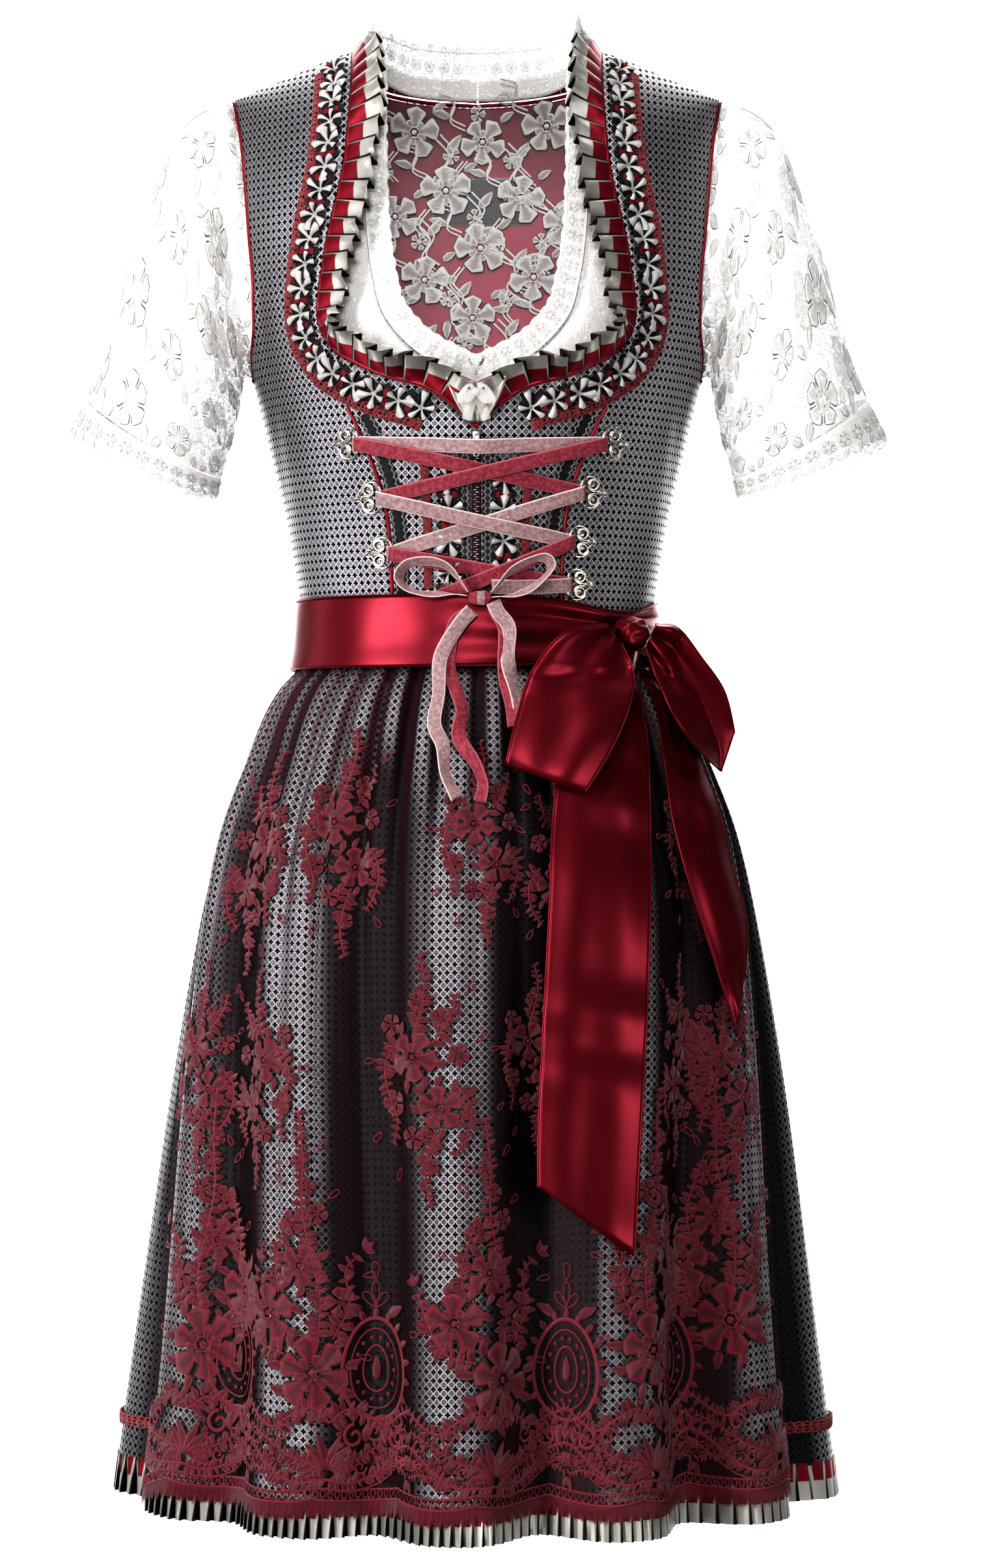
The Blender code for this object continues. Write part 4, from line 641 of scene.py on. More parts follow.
# Bow of the apron, by rows across each piece of ribbon: its two edges and its lift
TAIL_FRONT = (
    # left x, left z, right x, right z, lift
    (0.1000, -0.4168, 0.1120, -0.4168, 8.0), (0.0880, -0.4310, 0.1110, -0.4310, 2.5),
    (0.0740, -0.4600, 0.1150, -0.4600, 0.6),
    (0.0580, -0.4900, 0.1180, -0.4880, 1.4), (0.0515, -0.5355, 0.1185, -0.5355, 1.4),
    (0.0494, -0.5874, 0.1180, -0.5874, 1.4), (0.0450, -0.6650, 0.1150, -0.6650, 1.4),
    (0.0413, -0.7420, 0.1100, -0.7450, 1.4), (0.0412, -0.7751, 0.1052, -0.8230, 1.4),
)
TAIL_BACK = (
    (0.1130, -0.4290, 0.1260, -0.4270, 3.0), (0.1235, -0.4520, 0.1410, -0.4480, 3.0),
    (0.1284, -0.4874, 0.1516, -0.4817, 3.0), (0.1349, -0.5357, 0.1676, -0.5252, 3.0),
    (0.1493, -0.5893, 0.1781, -0.5686, 3.0), (0.1654, -0.6375, 0.1873, -0.6065, 3.0),
    (0.1777, -0.6756, 0.1850, -0.6439, 3.0),
)
LOOP_LEFT = (
    (0.0890, -0.3990, 0.1000, -0.4125, 13.0), (0.0600, -0.4060, 0.1080, -0.4340, 22.0),
    (0.0380, -0.4320, 0.1030, -0.4600, 24.0), (0.0280, -0.4620, 0.0905, -0.4870, 22.0),
    (0.0207, -0.4920, 0.0752, -0.5116, 17.0), (0.0207, -0.4920, 0.0752, -0.5116, 10.0),
    (0.0300, -0.4600, 0.0890, -0.4850, 8.5), (0.0480, -0.4260, 0.0990, -0.4580, 8.5),
    (0.0880, -0.4030, 0.0974, -0.4112, 9.5),
)
LOOP_RIGHT = (
    (0.1238, -0.3980, 0.1168, -0.4160, 14.0), (0.1400, -0.4010, 0.1250, -0.4400, 20.0),
    (0.1560, -0.4210, 0.1370, -0.4660, 20.0), (0.1720, -0.4440, 0.1520, -0.4850, 16.0),
    (0.1790, -0.4700, 0.1690, -0.4980, 10.0), (0.1780, -0.4700, 0.1680, -0.4980, 2.0),
    (0.1680, -0.4430, 0.1500, -0.4800, 2.0), (0.1480, -0.4180, 0.1340, -0.4550, 3.0),
    (0.1290, -0.4060, 0.1240, -0.4180, 5.0),
)


# The filled form of the bodice

def ridge(x):
    """Height of the shoulder line at a distance from the middle."""
    return NECK_Z + (np.abs(x) - NECK_HALF) * SHOULDER_SLOPE


def turn(x, z):
    """Angle round the torso at which the front view shows this x."""
    return np.arcsin(np.clip(x / TORSO.read("half_width", z), -1.0, 1.0))


def torso_at(angle, z, side):
    """Points of the outer face; side is -1 in front and 1 behind."""
    angle, z, side = np.broadcast_arrays(np.asarray(angle, float), z, side)
    x = TORSO.read("half_width", z) * np.sin(angle)
    drop = np.clip((ridge(x) - z) / SHOULDER_ROUNDING, 0.0, 1.0)
    rounding = np.sqrt(1 - (1 - drop) ** 2)
    reach = np.where(side < 0, TORSO.read("front", z), TORSO.read("back", z))
    depth = reach * np.cos(angle) * rounding
    bust = 6 * MM * np.exp(-((np.abs(x) - 0.075) / 0.04) ** 2 - ((z + 0.195) / 0.05) ** 2)
    depth = depth + np.where(side < 0, bust * np.cos(angle), 0.0)
    return np.stack((x, side * np.maximum(depth, SEAM_GAP / 2), z), axis=-1)


def torso_normal(angle, z, side):
    angle, z, side = np.broadcast_arrays(np.asarray(angle, float), z, side)
    x = TORSO.read("half_width", z) * np.sin(angle)
    level = np.minimum(z, ridge(x) - 4 * MM)
    step = 0.5 * MM
    wide = torso_at(angle + 0.004, level, side) - torso_at(angle - 0.004, level, side)
    high = torso_at(angle, level + step, side) - torso_at(angle, level - step, side)
    normal = unit(np.cross(wide, high) * -side[..., None])
    normal[..., 1] *= np.clip((ridge(x) - z) / (4 * MM), 0.0, 1.0)
    return unit(normal)


def torso(angle, z, side, off=0.0):
    return torso_at(angle, z, side) + torso_normal(angle, z, side) * np.asarray(off)[..., None]


def on_side(x, z, side, off):
    """Points off the outer face where the front view shows x and z; side is -1 in front and 1 behind."""
    x = np.asarray(x, float)
    point = torso(turn(np.abs(x), z), z, side, off)
    return point * np.stack((np.where(x < 0, -1.0, 1.0), 1 + 0 * x, 1 + 0 * x), axis=-1)


def on_front(x, z, off=0.0):
    return on_side(x, z, -1, off)


def torso_uv(angle, z, side, reference):
    """Cloth coordinates on the torso, straight along the line at the reference angle."""
    angle, z = np.broadcast_arrays(np.asarray(angle, float), z)
    half = TORSO.read("half_width", z)
    deep = TORSO.read("front" if side < 0 else "back", z)

    def arc_to(a):
        steps = np.linspace(0, 1, 25)
        middle = (steps[1:] + steps[:-1]) / 2
        angles = a[..., None] * middle
        speed = np.sqrt((half[..., None] * np.cos(angles)) ** 2 + (deep[..., None] * np.sin(angles)) ** 2)
        return a * speed.mean(axis=-1)

    return np.stack((arc_to(angle) - arc_to(angle * 0 + reference), -z * 1.03), axis=-1)


def side_then_armhole(below, above, crowded=1.0):
    """Outer edge of a body panel: side seam up to the underarm, then round the armhole."""
    top = ridge(SHOULDER_TIP)
    edge = [(math.pi / 2, mix(WAIST_Z, UNDERARM_Z, i / below)) for i in range(below)]
    for i in range(above + 1):
        even, rounded = i / above, 0.5 - 0.5 * math.cos(math.pi * i / above)
        level = mix(UNDERARM_Z, top, mix(even, rounded, max(crowded, even)))
        edge.append((math.pi / 2 if i == 0 else float(turn(ARMHOLE.read("x", level), level)), level))
    return np.array(edge)


FINE = 5


def neck_points():
    lower = through(NECK_FRONT[:NECK_CORNER + 1], 8 * FINE)
    upper = through(NECK_FRONT[NECK_CORNER:], 13 * FINE)
    return lower, upper


def front_panel_plan():
    """Angles and levels of the side front panel, from its seam and neck edge to side and armhole."""
    _, upper = neck_points()
    seam = through(PRINCESS, 6 * FINE) + (SEAM_GAP / 2, 0)
    inner = np.vstack((seam, upper[1:]))
    outer = side_then_armhole(7 * FINE, len(inner) - 7 * FINE - 1, crowded=0.0)
    t = np.linspace(0, 1, 5 * FINE + 1)
    start = turn(inner[:, 0], inner[:, 1])
    start_drop = ridge(inner[:, 0]) - inner[:, 1]
    edge_x = TORSO.read("half_width", outer[:, 1]) * np.sin(outer[:, 0])
    edge_drop = ridge(edge_x) - outer[:, 1]
    angle = mix(start[:, None], outer[:, :1], t)
    level = mix(inner[:, 1:], outer[:, 1:], t)
    across = TORSO.read("half_width", level) * np.sin(angle)
    strap = ridge(across) - mix(start_drop[:, None], edge_drop[:, None], t)
    share = ease((np.arange(len(inner)) / FINE - 7) / 5)[:, None]
    return angle, mix(level, strap, share)


def fan(outer, top, start):
    """Plan of a panel from its inner edge to its outer edge, its last row on the top curve."""
    rise = ((outer[:, 1] - outer[0, 1]) / (outer[-1, 1] - outer[0, 1]))[:, None]
    share_low = np.linspace(0, 1, len(top))[None]
    share_top = ((top[:, 0] - start) / (outer[-1, 0] - start))[None]
    share = mix(share_low, share_top, ease(np.linspace(0, 1, len(outer)))[:, None])
    return mix(start, outer[:, :1], share), mix(outer[0, 1], top[:, 1][None], rise)


def stomacher_plan():
    lower, _ = neck_points()
    seam = through(PRINCESS, 6 * FINE) - (SEAM_GAP / 2, 0)
    edge = np.stack((turn(seam[:, 0], seam[:, 1]), seam[:, 1]), axis=-1)
    x = np.maximum(lower[:, 0], ZIP_HALF)
    top = np.stack((turn(x, lower[:, 1]), lower[:, 1]), axis=-1)
    top[-1] = edge[-1]
    return fan(edge, top, float(turn(ZIP_HALF, WAIST_Z)))


def back_plan(first=0):
    neck = through(NECK_BACK, 5 * FINE)[::-1]
    shoulder_x = np.linspace(NECK_HALF, SHOULDER_TIP, 2 * FINE + 1)[1:]
    top_x = np.concatenate((neck[:, 0], shoulder_x))
    top_z = np.concatenate((neck[:, 1], ridge(shoulder_x)))
    top = np.stack((turn(top_x, top_z), top_z), axis=-1)
    angle, level = fan(side_then_armhole(4 * FINE, 6 * FINE), top, 0.0)
    angle = np.hstack((-angle[:, :0:-1], angle))
    level = np.hstack((level[:, :0:-1], level))
    return angle[first * FINE:], level[first * FINE:]


PUCKER = 0.5 * MM


def bodice_creases(angle, z):
    """Soft creases of the worn bodice: one from each armhole, some at the waist seam."""
    from_armhole = -1.6 * MM * bell(angle, 1.16 - (z + 0.226) * 1.6, 0.07) * ease((z + 0.345) / 0.1)
    from_armhole = from_armhole * ease((-0.12 - z) / 0.08)
    waist = 0.6 * MM * np.sin(angle * 17 + 2 * noise(z * 20, angle, 3)) * ease((-0.35 - z) / 0.05)
    return from_armhole + waist * bell(np.abs(angle), 1.2, 0.5) + PUCKER * noise(angle * 4, z * 22, 5)


def make_bodice(silk):
    for name, (angle, level), reference in (("bodice_front", front_panel_plan(), 0.9),
                                            ("stomacher", stomacher_plan(), 0.0)):
        crease = bodice_creases(angle, level) * (name == "bodice_front")
        rim = np.ones(angle.shape)
        rim[:, :2] = rim[:, -2:] = 0.0
        grid = torso(angle, level, -1, crease * rim)
        uv = torso_uv(angle, level, -1, reference)
        for side, points in (("right", grid), ("left", flip(grid))):
            node = f"{name}_{side}"
            panel = surface("cloth_" + node, points, silk, "jacquard", uv, BODICE_WALL)
            dress(panel, node)
            cut(grid)
    angle, level = back_plan()
    crease = bodice_creases(np.abs(angle), level)
    grid = torso(angle, level, 1, crease)
    uv = torso_uv(angle, level, 1, 0.0)
    panel = surface("cloth_bodice_back", grid, silk, "jacquard", uv, BODICE_WALL)
    dress(panel, "bodice_back")
    cut(grid)


def patch_area(grid):
    """Area of a grid of points in square metres."""
    a = grid[1:, 1:] - grid[:-1, :-1]
    b = grid[1:, :-1] - grid[:-1, 1:]
    return float(np.linalg.norm(np.cross(a, b), axis=-1).sum() / 2)


def cut(grid):
    """Smallest rectangle of cloth that a sheet's shape is cut from, worked out and not kept."""
    uv = measured(grid)
    wide, long = float(uv[:, -1, 0].max()), float(uv[-1, :, 1].max())
    area = patch_area(grid)
    wide = max(wide, area / long)


def make_lining():
    lining = satin("lining_cloth", (0.30, 0.010, 0.050), (0.42, 0.016, 0.068), 0.5, 0.3 * MM)
    angle, level = back_plan(HIDDEN_BACK_ROWS)
    grid = torso(angle, level, 1, LINING_OUT)
    panel = surface("cloth_lining", grid, lining, "lining", torso_uv(angle, level, 1, 0.0), LINING_WALL)
    dress(panel, "bodice_lining_back")
    cut(grid)
    net = Net("label_weave", Roughness=0.55)
    u, v = net.uv()
    border = net.math("MAXIMUM", net.step(net.math("ABSOLUTE", net.math("SUBTRACT", u, 0.5)), 0.478, 0.483),
                      net.step(net.math("ABSOLUTE", net.math("SUBTRACT", v, 0.5)), 0.455, 0.465))
    weave = net.grain(900.0, 1.0)
    dark = net.colour(weave, (0.010, 0.009, 0.011), (0.030, 0.028, 0.032))
    shade = net.colour(border, dark, (0.25, 0.24, 0.24))
    cloth = net.bump(weave, 0.1 * MM, 0.5).done(Base_Color=shade)
    low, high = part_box("label")
    x = np.linspace(low[0], high[0], 25)[None]
    z = np.linspace(low[2], high[2], 13)[:, None]
    grid = torso(turn(x, z), z, 1, LABEL_OUT)
    uv = np.stack(np.broadcast_arrays((x - low[0]) / (high[0] - low[0]),
                                      (z - low[2]) / (high[2] - low[2])), axis=-1)
    tag = surface("cloth_label", grid, cloth, "label", uv, LABEL_WALL, about=(0, 0.5, None))
    dress(tag, "label")
    cut(grid)


# Skirt and apron

def skirt_base(heading, z, off):
    """Points off the smooth envelope of the skirt, at a heading from the centre front."""
    half, deep = SKIRT.read("half_width", z), SKIRT.read("half_depth", z)
    normal = unit(np.stack((np.sin(heading) * deep, -np.cos(heading) * half, 0 * half * heading), axis=-1))
    point = np.stack((half * np.sin(heading), -deep * np.cos(heading), z + 0 * heading), axis=-1)
    return point + normal * np.asarray(off)[..., None]


def skirt_heading(column, z):
    around = math.tau * column / SKIRT_COLUMNS
    drop = ease((SKIRT_ROWS[0] - z) / (SKIRT_ROWS[0] - SKIRT_HEM_Z))
    return around - FOLD_LEAN * drop * np.sin(around)


def skirt_normal(column, z):
    heading = skirt_heading(column, z)
    return unit(skirt_base(heading, z, 1.0) - skirt_base(heading, z, 0.0))


def large_folds(column, power):
    """Share of a large fold's depth at a column of the cloth."""
    around = math.tau * column / SKIRT_COLUMNS
    at_hem = around - FOLD_LEAN * np.sin(around)
    strength = 0.85 + 0.25 * np.sin(2 * at_hem + 0.6)
    return (0.5 + 0.5 * np.cos(LARGE_FOLDS * (at_hem - FOLD_START))) ** power * strength


def skirt(column, z, off=0.0):
    """Points of the skirt: small pleats at the waist that run out into large folds below."""
    column, z = np.broadcast_arrays(np.asarray(column, float), z)
    valley = large_folds(column, 1.7)
    uneven = 1 + 0.35 * noise(column * 0.21, z * 3, 2)
    lean = 0.16 * np.sin(math.pi * column) * ease((z + 0.7) / 0.3)
    pleat = (0.5 + 0.5 * np.cos(math.pi * (column + lean))) ** 1.5 * uneven
    ripple = 0.8 * MM * noise(column * 0.5, z * 26, 7) * ease((-0.43 - z) / 0.1)
    depth = SKIRT.read("fold", z) * valley + SKIRT.read("pleat", z) * np.clip(pleat, 0, 1.25) - ripple
    return skirt_base(skirt_heading(column, z), z, off - np.maximum(depth, -1 * MM))


def fold_depth(column, z):
    """How deep a place lies in the folds, from 0 on a ridge to about 1 in a valley; the silk is painted
    darker by it, as painted shade.
    """
    valley = large_folds(column, 0.8)
    deep = 0.62 + 0.55 * np.sin(column * 0.9 + 1.5 * np.sin(column * 0.37))
    pleat = (0.5 + 0.5 * np.cos(math.pi * column)) ** 0.9 * np.maximum(deep, 0.2)
    return np.maximum(valley * ease((-0.43 - z) / 0.12), pleat * ease((z + 0.63) / 0.15))


def skirt_uv(column, grid):
    """Cloth coordinates: spare width disappears in the valleys of the waist pleats."""
    uv = measured(grid)
    crest = np.clip(np.round((column - 1) / 2) * 2 + 1, math.ceil(column[0] - 1), math.floor(column[-1] + 1))
    crest_run = np.stack([np.interp(crest, column, row) for row in uv[..., 0]])
    uv[..., 0] = crest_run[-1] + uv[..., 0] - crest_run
    return uv


def make_skirt(silk):
    quarter = SKIRT_COLUMNS // 4
    levels = mix(SKIRT_ROWS[0], SKIRT_HEM_Z, np.linspace(0, 1, 63))
    for name, first, fine in (("skirt_front", -quarter, 8), ("skirt_back", quarter, 6)):
        column = first + np.linspace(0, 2 * quarter, 2 * quarter * fine + 1)
        grid = skirt(column[None], levels[:, None])
        uv = skirt_uv(column, grid)
        # The tint is the fold depth, which the silk turns into painted shade in the valleys and between the
        # waist pleats.
        cloth = surface("cloth_" + name, grid, silk, "jacquard", uv,
                        tint=fold_depth(column[None], levels[:, None]))
        dress(cloth, name)


HEM_RIBBON_PLEATS = 79


def knife(share, spill=0.30):
    """Cross-section of one knife pleat: how far along and how far out at a share of its cloth."""
    share = np.asarray(share, float)
    along = np.where(share < 0.7, share / 0.7 * (1 + spill), 1 + spill - (share - 0.7) / 0.3 * spill)
    out = np.where(share < 0.7, ease(share / 0.55), 1 - ease((share - 0.72) / 0.26))
    return along, out


def make_hem_ribbon(ribbon):
    quarter = SKIRT_COLUMNS // 4
    shares = np.array((0.0, 0.12, 0.25, 0.40, 0.55, 0.66, 0.70, 0.74, 0.86, 0.96))
    along, out = knife(shares)
    depth = np.linspace(0, 1, 9)
    for name, first in (("hem_pleats_front", -quarter), ("hem_pleats_back", quarter)):
        pitch = 2 * quarter / HEM_RIBBON_PLEATS
        column = np.concatenate([first + pitch * (k + along) for k in range(HEM_RIBBON_PLEATS)])
        column = np.clip(column, first, first + 2 * quarter)
        lift = np.tile(out, HEM_RIBBON_PLEATS)[None]
        z = mix(SKIRT_HEM_Z + 2 * MM, RIBBON_HEM_Z, depth)[:, None]
        flare = mix(0.6, 4.2, depth[:, None] ** 0.8) * MM
        rise = (lift - 1) * flare + 0.8 * MM * ease(lift)
        grid = skirt(column[None], z, 0.0) + skirt_normal(column[None], z) * rise[..., None]
        # Painted shade: the folded-back parts of each pleat get a tint above 1, which the ribbon paints near
        # black.
        folded = np.tile((shares > 0.65) | (shares < 0.13), HEM_RIBBON_PLEATS)[None]
        tint = depth[:, None] + 2.0 * (folded * mix(0.4, 1.0, depth[:, None]))
        cloth = surface("cloth_" + name, grid, ribbon, "two_tone_ribbon", tint=tint)
        dress(cloth, name)


APRON_FINE = 9
APRON_TOP_Z = -0.4265
APRON_SPAN = (-0.425, -1.012)


def apron_edge(column):
    """Height of the scalloped lower edge; both corners hang lower, the left one most."""
    side = np.abs(column) / APRON_REACH
    drop = np.where(column < 0, 15 * MM, 5 * MM) * np.maximum(0.0, (side - 0.86) / 0.14) ** 1.5
    scallop = 3.6 * MM * np.abs(np.sin(math.pi * column / 4)) ** 0.7
    return SKIRT_HEM_Z + 3 * MM - scallop - drop


def apron_at(column, z, off=0.0):
    """Points of the apron, which drifts over the skirt's folds without sinking all the way in."""
    return skirt(column, z, APRON_LIFT.read("lift", z) + 0.4 * MM + off)


def make_apron(net_cloth):
    column = np.linspace(-APRON_REACH, APRON_REACH, 2 * APRON_REACH * APRON_FINE + 1)
    share = np.linspace(0, 1, 65)[:, None]
    levels = mix(APRON_TOP_Z, apron_edge(column)[None], share)
    grid = apron_at(column[None], levels)
    flat = np.gradient(grid, axis=1)
    facing = unit(np.cross(flat, np.gradient(grid, axis=0))) * skirt_normal(column[None], levels)
    facing = np.abs(np.sum(facing, axis=-1))
    cloth = surface("apron_net", grid, net_cloth, "apron", skirt_uv(column, grid), tint=1 - facing)
    dress(cloth, "apron_panel")
    return cloth, float(np.linalg.norm(np.diff(grid[-1], axis=0), axis=-1).sum())


def apron_material():
    """Sheer net: see-through where it lies flat, denser where it turns away into a fold."""
    net = Net("apron_net", Roughness=0.6, Sheen_Weight=0.2, Sheen_Roughness=0.4,
              Sheen_Tint=(0.55, 0.08, 0.14, 1))
    dense = net.step(net.tint(), 0.10, 0.85)
    shade = net.colour(dense, (0.030, 0.003, 0.007), (0.16, 0.008, 0.028))
    veil = net.math("ADD", net.math("MULTIPLY", dense, 0.45), 0.17)
    speck = net.step(net.grain(700.0, 1.0), 0.3, 0.7, -0.07, 0.07)
    alpha = net.math("ADD", veil, speck)
    return net.done(Base_Color=shade, Alpha=alpha)


FRINGE_THREADS = 1900
FRINGE_DROP = 10 * MM


def make_fringe(yarn):
    """Eyelash fringe below the scalloped edge."""
    pile = Pile()
    place = np.linspace(-APRON_REACH, APRON_REACH, FRINGE_THREADS)
    wobble = noise(place * 9, place * 0, 4)
    length = FRINGE_DROP + 1.8 * MM * wobble
    drop = np.linspace(0, 1, 4)
    top = apron_edge(place)
    for k in range(2):
        sway = 0.05 * drop[:, None] * (wobble if k else noise(place * 7, place * 0, 8))
        z = top[None] - 0.3 * MM - length[None] * drop[:, None] * (1.0 - 0.25 * k)
        out = (0.1 + 1.0 * k) * MM * drop[:, None]
        middle = apron_at(place[None] + sway, z, out)
        half = 0.25 * MM * (1 - 0.5 * drop[:, None, None])
        side = unit(np.gradient(middle, axis=1)) * half
        for i in range(k, FRINGE_THREADS, 2 if k else 1):
            pile.add(np.stack((middle[:, i] - side[:, i], middle[:, i] + side[:, i]), axis=1))
    dress(pile.build("apron_fringe_threads", yarn, "apron"), "apron_fringe")


# Waistband and bow

def belt_at(heading, z, off):
    half, deep = BELT.read("half_width", z), BELT.read("half_depth", z)
    rise = (z - BELT_BOTTOM_Z) / (BELT_TOP_Z - BELT_BOTTOM_Z)
    deep = deep * np.where(np.cos(heading) > 0, 1.0, mix(1.0, 0.90, rise))
    out = np.stack((np.sin(heading), -np.cos(heading), 0 * heading), axis=-1)
    point = np.stack((half * np.sin(heading), -deep * np.cos(heading), z + 0 * heading), axis=-1)
    return point + out * np.asarray(off)[..., None]


KNOT_Z = -0.4035
BESIDE_HIP_Y = -0.058
BOW_WALL = 0.9 * MM


def make_band(cloth):
    heading = KNOT_HEADING - math.pi + np.linspace(0, math.tau, 211)[None]
    share = np.linspace(0, 1, 25)[:, None]
    z = mix(BELT_BOTTOM_Z, BELT_TOP_Z, share)
    near = bell(heading, KNOT_HEADING, 0.42)
    waves = np.sin(share * math.pi * 5 + 0.6 + 1.6 * (heading - KNOT_HEADING))
    fold = 3.4 * MM * bell(heading, KNOT_HEADING, 0.62) * waves
    soft = 0.5 * MM * noise(heading * 5, share * 2, 3) * np.sin(math.pi * share)
    pinch = mix(z, KNOT_Z, 0.42 * near)
    grid = belt_at(heading, pinch, fold + soft - 0.6 * MM * (1 - np.sin(math.pi * share)) ** 3)
    uv = np.stack(np.broadcast_arrays(heading * 0.12, z), axis=-1)
    band = surface("apron_band_satin", grid, cloth, "satin", uv, BELT_WALL)
    dress(band, "apron_band")
    pile = Pile()
    for level in (0.0, 1.0):
        path = belt_at(heading[0], mix(z[0, 0], z[-1, 0], level) + 0 * heading[0], 0.35 * MM)
        path[:, 2] = mix(path[:, 2], KNOT_Z, 0.42 * near[0])
        pile.add(tube_grid(path, 0.7 * MM, 6, normal=(0, 0, 1.0)))
    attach(pile.build("apron_band_edges", cloth, "satin"), "garment")


def over_all(x, z, lift):
    """Points in front of band, apron and skirt, at a lift over their outermost folds."""
    x, z, lift = np.broadcast_arrays(np.asarray(x, float), z, lift)
    on_band = z > BELT_BOTTOM_Z
    blend = ease((BELT_BOTTOM_Z - z) / 0.02)
    half = np.where(on_band, BELT.read("half_width", z),
                    mix(BELT.read("half_width", BELT_BOTTOM_Z), SKIRT.read("half_width", z), blend))
    deep = np.where(on_band, BELT.read("half_depth", z),
                    mix(BELT.read("half_depth", BELT_BOTTOM_Z), SKIRT.read("half_depth", z), blend))
    lift = lift + np.where(on_band, 2.0 * MM, APRON_LIFT.read("lift", z) + APRON_WALL + 0.8 * MM)
    half, deep = half + lift, deep + lift
    share = np.minimum(np.abs(x) / half, 0.985)
    return np.stack((x, -deep * np.sqrt(1 - share ** 2), z), axis=-1)


def bow_piece(node, table, sag, waves, cloth, beside=False, across=25):
    """A stretch of wide ribbon through the table's rows, hollowed along its length and softly buckled."""
    rows = smooth_rows(table, 12)
    t = np.linspace(0, 1, across)[None]
    x = mix(rows[:, 0:1], rows[:, 2:3], t)
    z = mix(rows[:, 1:2], rows[:, 3:4], t)
    lift = rows[:, 4:5]
    bulge = sag * (0.5 - 0.5 * np.cos(math.tau * 2 * t))
    run = np.linspace(0, len(table) - 1, len(rows))[:, None]
    bulge = bulge + waves(run, t, z)
    grid = over_all(x, z, (lift + bulge) * MM)
    if beside:
        grid[..., 1] = np.minimum(grid[..., 1], BESIDE_HIP_Y) - 0.55 * lift * MM
        grid[..., 1] = np.minimum(grid[..., 1], over_all(x, z, 5 * MM)[..., 1])
        grid[..., 1] -= waves(run, t, z) * 0.6 * MM
    about = (float(np.mean(grid[..., 0])), 0.0, -0.5)
    thing = Pile().add(grid, about=about).build("satin_" + node, cloth, "satin", BOW_WALL, 0)
    dress(thing, node)
    seams = Pile()
    for column in (0, -1):
        seams.add(tube_grid(grid[:, column], 0.75 * MM, 6, normal=(0, -1.0, 0.05)))
    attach(seams.build("satin_seams_" + node, cloth, "satin"), "garment")
    cut(grid)


def make_bow(cloth):
    def tail_waves(run, t, z):
        bands = 1 + np.sin(z * 95 + 1.7 * t + 1.3 * np.sin(z * 37))
        return (1.9 * bands * (0.4 + 0.6 * bell(t, 0.6, 0.45)) * ease((-0.448 - z) / 0.05)
                + 2.0 * np.sin(t * 13 + z * 20) * ease((z + 0.52) / 0.09) + 0.4 * np.sin(t * 7 + run))

    def loop_waves(run, t, z):
        pinch = ease(1 - run / 3.4) + ease((run - 4.4) / 2.6)
        gathers = 3.4 * pinch * np.sin(t * math.tau * 2.1 + 0.5 * run)
        return gathers + 1.3 * np.sin(t * math.tau * 1.1 + run * 0.9) + 1.6

    bow_piece("bow_tail_front", TAIL_FRONT, 1.0, tail_waves, cloth, across=31)
    bow_piece("bow_tail_back", TAIL_BACK, 0.8, tail_waves, cloth)
    bow_piece("bow_loop_left", LOOP_LEFT, 1.5, loop_waves, cloth)
    bow_piece("bow_loop_right", LOOP_RIGHT, 0.8, loop_waves, cloth, beside=True)
    out = unit(np.array((0.62, -0.78, 0.0)))
    wide = np.array((-out[1], out[0], 0.0))
    centre = KNOT_CENTRE
    steps = np.linspace(-1, 1, 41)[:, None]
    phase = np.linspace(0, math.tau, 61)[None]
    size = 0.62 + 0.38 * np.sqrt(np.clip(1 - steps ** 2, 0, 1)) - 0.30 * steps ** 8
    folds = 1 + 0.055 * np.sin(phase * 5 + steps * 2.2) + 0.03 * np.sin(phase * 9 - steps * 3)
    grid = (centre + wide * (steps * 12 * MM)[..., None]
            + out * (10.6 * MM * size * folds * np.cos(phase))[..., None]
            + np.array((0, 0, 1.0)) * (11.4 * MM * size * folds * np.sin(phase))[..., None])
    knot = Pile().add(grid, measured(grid), 0.0, about=centre).build("satin_bow_knot", cloth, "satin")
    dress(knot, "bow_knot")
    cut(grid)


# Curves on the bodice, each as rows of points, sideways directions and normals

class Line:
    def __init__(self, points, normals, closed=False):
        self.points, self.normals = np.asarray(points, float), np.asarray(normals, float)
        ahead = np.gradient(self.points, axis=0)
        if closed:
            ahead = np.roll(self.points, -1, axis=0) - np.roll(self.points, 1, axis=0)
        self.sides = unit(np.cross(unit(ahead), self.normals))
        self.run = arc(self.points)

    def at(self, run):
        """Points, sideways directions and normals at distances along the line."""
        points, sides, normals = (spread(run, self.run, rows)
                                  for rows in (self.points, self.sides, self.normals))
        return points, unit(sides), unit(normals)


def line_on_front(spots):
    x, z = spots[:, 0], spots[:, 1]
    return Line(torso(turn(x, z), z, -1), torso_normal(turn(x, z), z, -1))


def neck_line():
    """From the point of the V over the right shoulder to the centre back."""
    front, back = through(NECK_FRONT, 240), through(NECK_BACK, 120)[1:]
    x, z = np.concatenate((front[:, 0], back[:, 0])), np.concatenate((front[:, 1], back[:, 1]))
    side = np.concatenate((-np.ones(len(front)), np.ones(len(back))))
    points = torso(turn(x, z), z, side)
    points[len(front) - 1, 1] = 0.0
    normals = torso_normal(turn(x, z), z, side)
    for _ in range(3):
        normals[1:-1] = unit(normals[:-2] + normals[1:-1] * 2 + normals[2:])
    return Line(points, normals)


def offset_line(distance, first, last, count):
    """A line beside the neckline, at a distance outside it, between two shares of its run."""
    line = line_on_front(through(NECK_FRONT, 160))
    beside = line.points + line.sides * distance
    keep = beside[int(first * 160):int(last * 160) + 1]
    level = np.minimum(keep[:, 2], ridge(keep[:, 0]) - 1.5 * MM)
    return line_on_front(through(np.stack((keep[:, 0], level), axis=-1)[::4], count))


